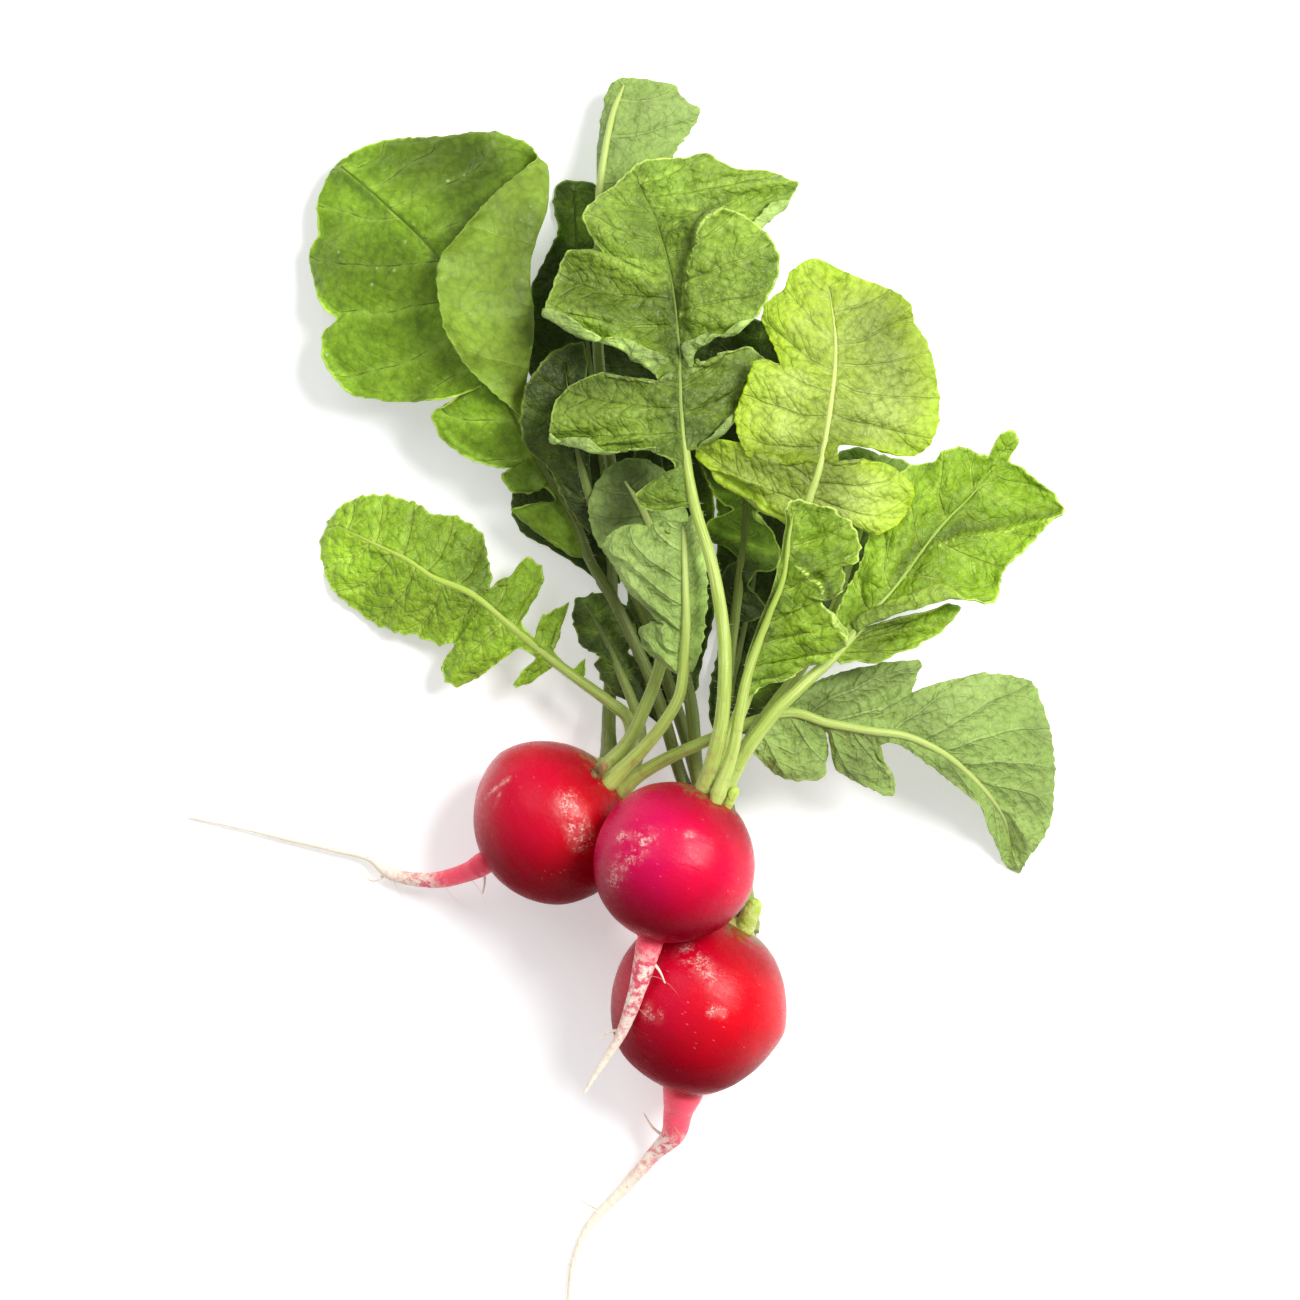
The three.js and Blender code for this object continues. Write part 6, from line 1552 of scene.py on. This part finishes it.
def skin_finish(name, skin, deep, flush, root):
    """Radish skin: glossy red with darker drifts, pale flecks and scuff marks, fading to cream on the tail;
    with a painted shade and a painted highlight.
    """
    material, graph, surface = shader(name)
    spot = graph.place()
    part, down, round_x, round_y = (
        graph.attribute(kind) for kind in ("part", "down", "round_x", "round_y")
    )
    turn = Vector((0, 0, 1)).rotation_difference(Vector(root.axis)).inverted().to_euler()
    aligned = graph.out("ShaderNodeMapping", {"Vector": spot, "Rotation": turn}, vector_type="POINT")
    banded = graph.vector("MULTIPLY", aligned, (0.3, 0.3, 1.0))
    from_centre = graph.vector("SUBTRACT", spot, tuple(root.centre))

    def towards(way):
        """How far a place is to one side of the bulb, from -1 to 1."""
        return graph.vector("DOT_PRODUCT", from_centre, tuple(Vector(way) / root.radius))

    drift = graph.step(graph.noise(spot, 10.0, 4.0, 0.6), 0.32, 0.7)
    side = towards(FLUSH_WAY) + (graph.noise(spot, 8.0, 3.0) - 0.5) * 0.7
    bands = graph.step(graph.noise(banded, 1.6, 3.0, 0.6), 0.5, 0.75)
    grain = graph.noise(spot, 0.22, 3.0, 0.7)
    pale_skin = (min(1.0, 1.1 * skin[0]), skin[1] + 0.009, skin[2] + 0.016)
    # Painted shade: the side of the bulb away from the light is mixed to the deep red, with fewer scuff
    # marks and less specular
    low = graph.step(towards(PAINTED_SHADE_WAY), -0.25, 0.7) * graph.step(part, 0.92, 1.06, 0.95, 0.0)
    crown = graph.step(part, *CROWN_DEEP, 1.0, 0.0) * 0.65
    streaks = graph.step(graph.noise(spot, 1.4, 4.0, 0.7), 0.42, 0.6)
    soil = graph.step(graph.noise(spot, 0.9, 4.0, 0.7), 0.62, 0.7)
    ragged = part + graph.noise(spot, 3.0, 3.0) * 0.5
    on_tail = graph.step(ragged, root.pale_from, root.pale_from + 0.6)
    tail = graph.layers(
        CREAM, (streaks, TAIL_RED), (graph.step(part, 2.0, 3.4), TAIL_CREAM), (soil * 0.5, SOIL),
    )
    frayed = part + (streaks - 0.5) * 0.05
    base = graph.layers(
        skin,
        (drift * 0.3, deep),
        (graph.step(side, 0.1, 0.85), flush),
        (bands * 0.15, flush),
        (graph.step(grain, 0.52, 0.72) * 0.35, pale_skin),
        # the painted shade on the side away from the light, and the deeper red by the crown
        (graph.highest(low, crown), deep),
        (graph.step(part, *NECK), NECK_RED),
        (on_tail, tail),
        (graph.step(frayed, *CROWN_RING, 1.0, 0.0) * 0.85, RING_BROWN),
        (graph.step(part, *CROWN_STEM, 1.0, 0.0), CROWN_GREEN),
    )

    flecks = graph.line(graph.cells(banded, 0.9), 0.12, 0.5)
    flecks = flecks * graph.step(graph.noise(spot, 6.0), 0.42, 0.62)
    # pale scuff patches; one on the first bulb is a painted highlight, partly real scuff marks
    marks = [scuff(graph, spot, *place, width) * share for *place, width, share in root.scars_and_highlights]
    scuffs_and_highlight = graph.highest(flecks * 0.4, *marks) * (1.0 - low * 0.8)
    rough = graph.step(graph.noise(spot, 2.5, 4.0, 0.65), 0.3, 0.72, 0.2, 0.34)
    rings = graph.noise(graph.combine(round_x * 0.5, round_y * 0.5, down), 1.1, 3.0)
    rings = rings * graph.step(part, 0.85, 1.2)
    height = graph.noise(banded, 1.2, 4.0) + scuffs_and_highlight * 0.8 + grain * 0.45 + rings * 3.0
    graph.fill(surface, {
        "Base Color": graph.mix(scuffs_and_highlight, base, SCUFF_AND_HIGHLIGHT),
        "Roughness": rough + graph.highest(scuffs_and_highlight, on_tail) * 0.25,
        "Specular IOR Level": 0.2 - low * 0.2,
        "Subsurface Weight": 0.06, "Subsurface Radius": (1.0, 0.25, 0.2), "Subsurface Scale": 0.001,
        "Normal": graph.bump(height, SKIN_RELIEF, 0.8),
    })
    return material


def scuff(graph, spot, start, end, width):
    """A patch of broken pale scuff marks between two places, in millimetres; one of them is a painted
    highlight.
    """
    way = Vector(end) - Vector(start)
    from_start = graph.vector("SUBTRACT", spot, tuple(start))
    share = graph.vector("DOT_PRODUCT", from_start, tuple(way / way.length_squared))
    nearest = graph.scaled(tuple(way), graph.math("ADD", share, 0.0, clamp=True))
    distance = graph.vector("LENGTH", graph.vector("SUBTRACT", from_start, nearest))
    near = graph.step(distance, 0.0, width, 1.0, 0.0)
    broken = graph.noise(spot, 0.5, 3.0, 0.75) + near * 0.1
    specks = graph.step(broken, 0.52, 0.66) * graph.step(graph.noise(spot, 1.8, 3.0), 0.42, 0.56)
    haze = graph.step(graph.noise(spot, 2.6, 3.0), 0.4, 0.65) * 0.22
    return near * graph.highest(specks, haze)


# ---------- roots ----------

@dataclass
class Root:
    """One radish, in millimetres: its bulb, its tail and the finer roots on it."""

    name: str
    slot: str
    centre: list
    axis: list
    radius: float
    half_length: float
    tail: list
    radii: list
    rootlets: list
    scars_and_highlights: list
    tone: float
    pale_from: float


ROOTS = [
    Root(
        name="root_1", slot="root_red", tone=0.78, pale_from=2.0,
        centre=[-14.8, -22.8, 16.7], axis=[0.75, 0.66, 0.08], radius=17, half_length=15.2,
        tail=[
            [-28.2, -31.2, 14.6], [-31.4, -33, 12.6], [-39.2, -34.8, 7.2], [-47.2, -33.4, 3.2],
            [-51.2, -30.4, 2.4], [-59.2, -28.4, 2.2], [-73.2, -25.2, 1.6], [-87.2, -22.2, 0.8],
        ],
        radii=[2.3, 1.9, 1.6, 1.3, 0.9, 0.65, 0.45, 0.25],
        rootlets=[
            [[-28.6, -31.6, 14], [-28.2, -34.8, 11], [-28.6, -37.4, 8.5]],
            [[-47.4, -33.2, 3], [-50, -34.8, 2], [-52.6, -34.4, 1]],
        ],
        scars_and_highlights=[
            [[-28.6, -18.2, 25.5], [-23.2, -14.4, 28.9], 1.2, 0.8],
            [[-26.8, -20.4, 28.5], [-25.2, -17.2, 28.9], 0.9, 0.7],
            # a painted highlight where the light catches the bulb, partly real scuff marks
            [[-11.6, -18.8, 32.9], [-8.8, -26.4, 32.2], 4.2, 1.0],
        ],
    ),
    Root(
        name="root_2", slot="root_magenta", tone=0.92, pale_from=1.22,
        centre=[9.8, -31, 37.3], axis=[0.45, 0.89, 0.05], radius=16.2, half_length=15.8,
        tail=[
            [4.8, -46.8, 36.3], [3.6, -51.2, 35], [2.4, -55.8, 33.4], [-0.8, -64.8, 29.4],
            [-5.2, -72, 26.2], [-8.2, -76.8, 24.6],
        ],
        radii=[2.6, 2.2, 1.7, 1.1, 0.7, 0.3],
        rootlets=[
            [[4.2, -49.4, 35.6], [6.6, -52.4, 35.2], [7.8, -55, 35]],
            [[-0.6, -64.4, 29.4], [-3.4, -64.8, 27.6], [-5.8, -66.6, 26]],
        ],
        scars_and_highlights=[
            [[-2.8, -34.8, 46.8], [3.8, -26.4, 51.6], 4.0, 0.85],
            [[-1.2, -25.8, 48], [3.8, -26.4, 51.6], 2.2, 0.9],
            [[12.4, -25.4, 52.2], [13.4, -25.4, 52.2], 1.6, 0.8],
        ],
    ),
    Root(
        name="root_3", slot="root_red", tone=1.05, pale_from=1.85,
        centre=[14.8, -59.2, 17.5], axis=[0.456, 0.89, 0.03], radius=17.8, half_length=17.4,
        tail=[
            [11.6, -75.8, 15.6], [10.4, -80.8, 12.8], [9.4, -85.4, 9.8], [5.8, -89.4, 6.8],
            [-0.2, -96.2, 3.6], [-7.2, -103.8, 1.8], [-10.2, -110.8, 1.3], [-11.2, -118.8, 1],
            [-10.4, -126, 0.7],
        ],
        radii=[4.2, 3, 2.4, 1.6, 1.25, 0.95, 0.75, 0.55, 0.25],
        rootlets=[
            [[8.6, -86.4, 8.8], [5.6, -84.4, 8], [3.6, -81.4, 7.2]],
            [[-4.4, -100.8, 2.4], [-7.6, -99.6, 1.4], [-10.6, -97, 0.8]],
        ],
        scars_and_highlights=[
            [[11.8, -48.8, 31.6], [17.2, -53.8, 34.3], 3.6, 0.75],
            [[17.2, -60.6, 35], [19, -61, 35], 2.0, 1.1],
            [[4.4, -60.6, 31.6], [6, -61.2, 32.4], 3.0, 0.7],
        ],
    ),
]

CROWN_SHARE = 0.96  # where a bulb ends at its crown, as a share of its half length
NECK_SHARE = 0.995  # and where its tail goes on alone
STEM_PLATE = [(2.1, 0.3), (1.9, 2.1), (1.3, 2.9), (0.4, 3.5)]  # height above the crown and radius
FILLET = 2.4  # how softly a bulb runs into its tail; lower is softer
LINE_STEPS = 90  # steps between two points of a root's line, when it is measured
TAIL_UNIT = 12  # length of tail over which the part value rises by 1
HAIRY_FROM = 1.25  # the part value where root hairs begin
ROOTLET_STEPS = 14


def root_line(root, ring_gap):
    """The middle line of a root with its radius, and 0 to 1 along its bulb, then rising on its tail."""
    axis = unit(np.array(root.axis, float))
    centre = np.array(root.centre, float)
    half = root.half_length
    controls = np.vstack([centre + half * axis, centre, root.tail])
    line = rows_through(controls[None], [LINE_STEPS] * (len(controls) - 1))[0]
    along = length_from_start(line) - half
    stops = along[2 * LINE_STEPS::LINE_STEPS]
    angle = np.arange(-math.asin(CROWN_SHARE), math.asin(NECK_SHARE), ring_gap / root.radius)
    bulb = half * np.sin(angle)
    place = np.concatenate([bulb, np.arange(bulb[-1] + ring_gap, along[-1], 1.3 * ring_gap), along[-1:]])
    points = np.stack([np.interp(place, along, line[:, k]) for k in range(3)], axis=1)
    round_part = root.radius * np.sqrt(np.maximum(1 - (place / half) ** 2, 0))
    round_part[place > half] = 0
    thin = steady(root.radii, np.interp(place, stops, np.arange(len(stops))))
    thin = thin * fade(place, 0.2 * half, 0.7 * half)
    radius = (round_part ** FILLET + thin ** FILLET) ** (1 / FILLET)
    on_bulb = 0.06 + 0.94 * (place + half) / (2 * half)
    part = np.where(place < half, on_bulb, 1 + (place - half) / TAIL_UNIT)
    plate = [points[0] + height * axis for height, _ in STEM_PLATE]
    points = np.vstack([plate, points])
    radius = np.concatenate([[wide for _, wide in STEM_PLATE], radius])
    return points, radius, np.concatenate([np.zeros(len(plate)), part])


def on_table(mesh):
    """Flattens what would be under the table."""
    points = np.empty(len(mesh.vertices) * 3, np.float32)
    mesh.vertices.foreach_get("co", points)
    points[2::3] = np.maximum(points[2::3], 0)
    mesh.vertices.foreach_set("co", points)
    mesh.update()


def build_root(root, settings, limbs, hairs, skin, pale):
    """A radish: its bulb and tail in one skin, with the finer roots on its tail."""
    points, radius, part = root_line(root, settings.ring_gap / MM)
    meshes = [limb_mesh(root.name + "_skin", limbs, points, radius, {"part": part}, {
        "Sides": settings.sides, "Lumps": settings.lumps, "Lump Size": settings.lump_size,
        "Upright": False, "Material": skin,
    })]
    on_table(meshes[0])
    thin = np.linspace(0.42, 0.12, ROOTLET_STEPS)
    on_tail = {"part": np.full(ROOTLET_STEPS, 3.4)}
    for number, route in enumerate(root.rootlets, 1):
        line = spline(route, np.linspace(0, len(route) - 1, ROOTLET_STEPS), SMOOTH)
        meshes.append(limb_mesh(f"{root.name}_rootlet_{number}", limbs, line, thin, on_tail, {
            "Sides": 7, "Lumps": 0.0002, "Lump Size": 0.001, "Upright": False, "Material": skin,
        }))
    hairy = np.where(part > HAIRY_FROM, fade(part, 0.9, 1.4), 0)
    bare = {"Sides": 8, "Upright": False}
    shell = limb_mesh(root.name + "_shell", limbs, points, radius, {"hair": hairy}, bare)
    meshes.append(grown(placed(root.name + "_shell", shell), hairs, root.name + "_hairs", {
        "Density": settings.rootlet_density, "Length": settings.rootlet_length, "Thickness": 0.00006,
        "Bend": 0.8, "Lean": 0.9, "Steps": 6, "Seed": 3, "Material": pale,
    }))
    settle(joined(root.name + "_fine", meshes), [root.name])


# ---------- leaves: stalks and whole leaves ----------

STALK_IN = 2.0  # how far a stalk reaches back into its crown
RIB_ABOVE = 0.2  # how far a midrib stands up where the leaf lies upside down, as a share of its radius
STALK_STEPS = 9  # steps of a stalk's line between two points of the rib
FOOT = 0.3  # how much thicker a stalk is at its foot, as a share, and how far up that fades
FOOT_HEIGHT = 4
GROOVE = 0.45  # depth of the groove along a stalk, as a share of its radius


def stalk_line(leaf):
    """The line of a stalk and midrib with its radius, from inside the crown to the tip."""
    t = np.linspace(0, leaf.tip, int(leaf.tip * STALK_STEPS))
    points = leaf.at(t)
    radius = leaf.radius(t)
    radius = radius * (1 + FOOT * np.exp(-length_from_start(points) / FOOT_HEIGHT))
    in_blade = fade(t, leaf.blade_start, leaf.blade_start + 1.5)
    shift = RIB_ABOVE if leaf.upside_down else -leaf.rib_below
    points[:, 2] += shift * in_blade * radius
    points[:, 2] = np.maximum(points[:, 2], radius + 0.05)
    back = points[0] - STALK_IN * unit(points[1] - points[0])
    radius[-6:] *= np.linspace(1, 0.5, 6)
    fading = fade(t, leaf.blade_start, 0.4 * leaf.blade_start + 0.6 * leaf.tip)
    fading = np.concatenate([[0], fading])
    values = {"hair": np.ones(len(t) + 1), "in_blade": fading, "shade": leaf.stalk_shade * (1 - fading)}
    return np.vstack([back, points]), np.concatenate([[0.8 * radius[0]], radius]), values


def build_leaf(leaf, number, settings, limbs, hairs, finishes):
    """One leaf: a fine blade on its stalk, with stiff hairs on both."""
    on_blade, on_stalk, on_hairs = finishes
    blade = blade_mesh(leaf, number, settings)
    blade.materials.append(on_blade)
    stalk = limb_mesh(leaf.name + "_stalk", limbs, *stalk_line(leaf), {
        "Sides": settings.stalk_sides, "Groove": 0.0 if leaf.upside_down else GROOVE, "Flatten": 0.1,
        "Lumps": 0.0002, "Lump Size": 0.003, "Material": on_stalk,
    })
    shell = joined(leaf.name + "_shell", [blade.copy(), stalk.copy()])
    bristles = grown(shell, hairs, leaf.name + "_bristles", {
        "Density": settings.hair_density, "Length": settings.hair_length,
        "Thickness": settings.hair_thickness, "Bend": 0.25, "Lean": 0.5, "Steps": 2, "Seed": number,
        "Material": on_hairs,
    })
    settle(joined(leaf.name + "_fine", [blade, stalk, bristles]), [leaf.name])


# ---------- stumps ----------

STUMPS = [
    ("stump_1", "stump_dry", [[-5.8, -13.4, 26.2], [-4.6, -12.2, 27.6], [-3.8, -11, 28.2]], [1.2, 1, 0.6]),
    ("stump_2", "stump_pale", [[20.5, -18.7, 41.4], [21.3, -17.2, 42.2], [22, -16, 42.6]], [1.1, 1.1, 0.8]),
    ("stump_3", "stump_pale", [[23.9, -43.6, 20.8], [25, -41, 22], [26.2, -38.4, 22.6]], [1.9, 1.8, 1.3]),
]
STUMP_STEPS = 24
STUMP_IN = 1.5  # how far a stump reaches back into its crown


def build_stump(name, route, radii, limbs, finish):
    """The lumpy, tapered end of a stalk that dried or tore off."""
    places = np.linspace(0, len(route) - 1, STUMP_STEPS)
    line = spline(route, places, SMOOTH)
    back = line[0] - STUMP_IN * unit(line[1] - line[0])
    radius = steady(radii, places)
    radius[-3:] *= (0.9, 0.7, 0.35)
    radius = np.concatenate([[radii[0]], radius])
    mesh = limb_mesh(name + "_fine", limbs, np.vstack([back, line]), radius, {}, {
        "Sides": 20, "Groove": 0.3, "Flatten": 0.1, "Lumps": 0.0007, "Lump Size": 0.0011,
        "Material": finish,
    })
    settle(placed(name + "_fine", mesh), [name])


# ---------- the add-on ----------

def length_property(name, description, default):
    return FloatProperty(name=name, description=description, default=default, unit="LENGTH")


def colour_property(name, description, default):
    return FloatVectorProperty(
        name=name, description=description, subtype="COLOR", size=3, min=0, max=1, default=default,
    )


def power_property(name, description, default):
    return FloatProperty(name=name, description=description, default=default, unit="POWER")


class RootSettings(bpy.types.PropertyGroup):
    sides: IntProperty(name="Sides", description="Sides of a bulb's rings", default=80, min=12)
    ring_gap: length_property("Ring gap", "Step between the rings of a root", 0.0005)
    lumps: length_property("Lumps", "How far the skin rises and falls", 0.0006)
    lump_size: length_property("Lump size", "How wide those rises are", 0.011)
    rootlet_density: FloatProperty(
        name="Root hairs", description="Root hairs on a square metre of tail", default=16000, min=0,
    )
    rootlet_length: length_property("Root hair length", "Length of the longest", 0.007)
    red: colour_property("Red", "Skin of the bulbs", (0.7, 0.001, 0.01))
    # Deep red of the skin's darker drifts and crown, and of the painted shade on the side of each bulb away
    # from the light
    deep_red_and_shade: colour_property("Deep red", "Darker drifts of the skin", (0.2, 0.0002, 0.007))
    magenta: colour_property("Magenta", "Skin of the bulb that lies on the others", (0.82, 0.001, 0.045))
    flush: colour_property("Flush", "Flush on one side of the red bulbs", (0.55, 0.001, 0.025))
    purple: colour_property("Purple", "Flush on one side of the magenta bulb", (0.6, 0.001, 0.075))


class LeafSettings(bpy.types.PropertyGroup):
    row_gap: length_property("Row gap", "Step along a blade's margin", 0.00065)
    column_gap: length_property("Column gap", "Step from rib to margin", 0.00085)
    blade: length_property("Thickness", "Of a blade", 0.00045)
    stalk_sides: IntProperty(name="Stalk sides", description="Sides of a stalk's rings", default=20, min=8)
    hair_density: FloatProperty(
        name="Hairs", description="Hairs on a square metre of stalk", default=300000, min=0,
    )
    hair_length: length_property("Hair length", "Length of the longest hairs", 0.001)
    hair_thickness: length_property("Hair thickness", "Radius of a hair at its base", 0.00004)
    stalk: colour_property("Stalk", "Pale green of the stalks", (0.52, 0.62, 0.165))
    stalk_green: colour_property("Stalk green", "Greener streaks of the stalks", (0.32, 0.44, 0.055))
    stalk_red: colour_property("Stalk flush", "Red flush of the stalks", (0.35, 0.14, 0.08))


class StageSettings(bpy.types.PropertyGroup):
    floor: colour_property("Floor", "Colour of the floor", (0.8, 0.8, 0.8))
    floor_glow: FloatProperty(name="Floor glow", description="Light that the floor gives", default=0.5)
    height: length_property("Camera height", "Above the floor", 5)
    view_width: length_property("View width", "On the floor", 0.26)
    key_light: power_property("Key light", "Power of the main light", 62)
    fill_light: power_property("Fill light", "Power of the weaker light", 13)
    surround: FloatProperty(name="Surround", description="Strength of the even light around", default=0.38)


class RADISHES_OT_roots(bpy.types.Operator):
    """Build the three radishes"""

    bl_idname = "radishes.roots"
    bl_label = "Roots"

    def execute(self, context):
        settings = context.scene.radish_roots
        limbs, hairs = limb_tree(), hair_tree()
        pale = plain_finish("Rootlet", (0.72, 0.6, 0.42), (0.6, 0.42, 0.3), 2.0, 0.6)
        for root in ROOTS:
            red, flush = settings.red, settings.flush
            if root.slot == "root_magenta":
                red, flush = settings.magenta, settings.purple
            colours = (tuple(root.tone * value for value in red), tuple(settings.deep_red_and_shade), tuple(flush))
            skin = skin_finish("Skin_" + root.name, *colours, root)
            build_root(root, settings, limbs, hairs, skin, pale)
        return {"FINISHED"}


class RADISHES_OT_leaves(bpy.types.Operator):
    """Build the leaves with their stalks and hairs"""

    bl_idname = "radishes.leaves"
    bl_label = "Leaves"

    def execute(self, context):
        settings = context.scene.radish_leaves
        limbs, hairs = limb_tree(), hair_tree()
        colours = (tuple(settings.stalk), tuple(settings.stalk_green), tuple(settings.stalk_red))
        finishes = {
            look: (leaf_finish("Leaf_" + look, shades), stalk_finish("Stalk_" + look, *colours, shades.rib))
            for look, shades in LOOKS.items()
        }
        hair = plain_finish("Hair", (0.75, 0.8, 0.6), (0.6, 0.68, 0.4), 2.0, 0.5)
        for number, leaf in enumerate(LEAVES, 1):
            build_leaf(leaf, number, settings, limbs, hairs, (*finishes[leaf.look], hair))
        return {"FINISHED"}


class RADISHES_OT_stumps(bpy.types.Operator):
    """Build the stumps of dried and torn stalks"""

    bl_idname = "radishes.stumps"
    bl_label = "Stumps"

    def execute(self, context):
        limbs = limb_tree()
        dry = plain_finish("Dry_stalk", (0.12, 0.06, 0.02), (0.36, 0.24, 0.08), 1.2, 0.7, 0.0003)
        pale = plain_finish("Torn_stalk", (0.4, 0.58, 0.05), (0.62, 0.7, 0.2), 1.5, 0.5, 0.0002)
        for name, slot, route, radii in STUMPS:
            build_stump(name, route, radii, limbs, dry if slot == "stump_dry" else pale)
        return {"FINISHED"}


MIDDLE = (0.0048, 0.0112)  # of the view, on the floor
SENSOR = 36  # width of the camera's sensor in millimetres
FLOOR_HALF = 4.0  # half the width of the floor
SURROUND = (0.97, 0.985, 1.0, 1)
KEY_SIZE, KEY_PLACE = 0.95, (1.15, 0.65, 1.85)
FILL_SIZE, FILL_PLACE = 1.6, (-0.9, 1.2, 1.8)


def soft_light(name, power, size, place):
    """A round lamp that faces the middle of the bunch."""
    lamp = bpy.data.lights.new(name, "AREA")
    lamp.energy = power
    lamp.shape = "DISK"
    lamp.size = size
    found = placed(name, lamp)
    found.location = place
    found.rotation_euler = Vector(place).to_track_quat("Z", "Y").to_euler()
    return found


class RADISHES_OT_stage(bpy.types.Operator):
    """Set up the floor, the lights and the camera"""

    bl_idname = "radishes.stage"
    bl_label = "Stage"

    def execute(self, context):
        settings = context.scene.radish_stage
        mesh = bpy.data.meshes.new("Floor")
        corners = [(x * FLOOR_HALF, y * FLOOR_HALF, 0) for x, y in ((-1, -1), (1, -1), (1, 1), (-1, 1))]
        mesh.from_pydata(corners, [], [(0, 1, 2, 3)])
        material, graph, surface = shader("Floor")
        graph.fill(surface, {
            "Base Color": (*settings.floor, 1), "Roughness": 0.8, "Specular IOR Level": 0.2,
            "Emission Color": (*settings.floor, 1), "Emission Strength": settings.floor_glow,
        })
        mesh.materials.append(material)
        floor = placed("Floor", mesh)
        lamps = [
            soft_light("Key_light", settings.key_light, KEY_SIZE, KEY_PLACE),
            soft_light("Fill_light", settings.fill_light, FILL_SIZE, FILL_PLACE),
        ]

        world = bpy.data.worlds.new("Surround")
        world.use_nodes = True
        around = {"Color": SURROUND, "Strength": settings.surround}
        Graph(world.node_tree).fill(world.node_tree.nodes["Background"], around)
        context.scene.world = world

        camera = bpy.data.cameras.new("Camera")
        camera.sensor_fit = "HORIZONTAL"
        camera.sensor_width = SENSOR
        camera.lens = SENSOR * settings.height / settings.view_width
        camera.clip_end = 2 * settings.height
        viewer = placed("Camera", camera)
        viewer.location = (*MIDDLE, settings.height)
        context.scene.camera = viewer
        context.scene.view_settings.view_transform = "Standard"
        return {"FINISHED"}


OPERATORS = (RADISHES_OT_roots, RADISHES_OT_leaves, RADISHES_OT_stumps, RADISHES_OT_stage)


class RADISHES_PT_panel(bpy.types.Panel):
    """Sizes and colours of the bunch, with a button for each group of pieces"""

    bl_idname = "RADISHES_PT_panel"
    bl_label = "Bunch of radishes"
    bl_space_type = "VIEW_3D"
    bl_region_type = "UI"
    bl_category = "Radishes"

    def draw(self, context):
        for operator in OPERATORS:
            self.layout.operator(operator.bl_idname)
        for name in GROUPS:
            box = self.layout.box()
            settings = getattr(context.scene, name)
            for key in settings.__annotations__:
                box.prop(settings, key)


GROUPS = {"radish_roots": RootSettings, "radish_leaves": LeafSettings, "radish_stage": StageSettings}
CLASSES = (*GROUPS.values(), *OPERATORS, RADISHES_PT_panel)


def register():
    for kind in CLASSES:
        bpy.utils.register_class(kind)
    for name, kind in GROUPS.items():
        setattr(bpy.types.Scene, name, PointerProperty(type=kind))


def unregister():
    for name in GROUPS:
        delattr(bpy.types.Scene, name)
    for kind in reversed(CLASSES):
        bpy.utils.unregister_class(kind)


def main():
    register()
    bpy.ops.radishes.roots()
    bpy.ops.radishes.leaves()
    bpy.ops.radishes.stumps()
    bpy.ops.radishes.stage()
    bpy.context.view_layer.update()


if __name__ == "__main__":
    main()
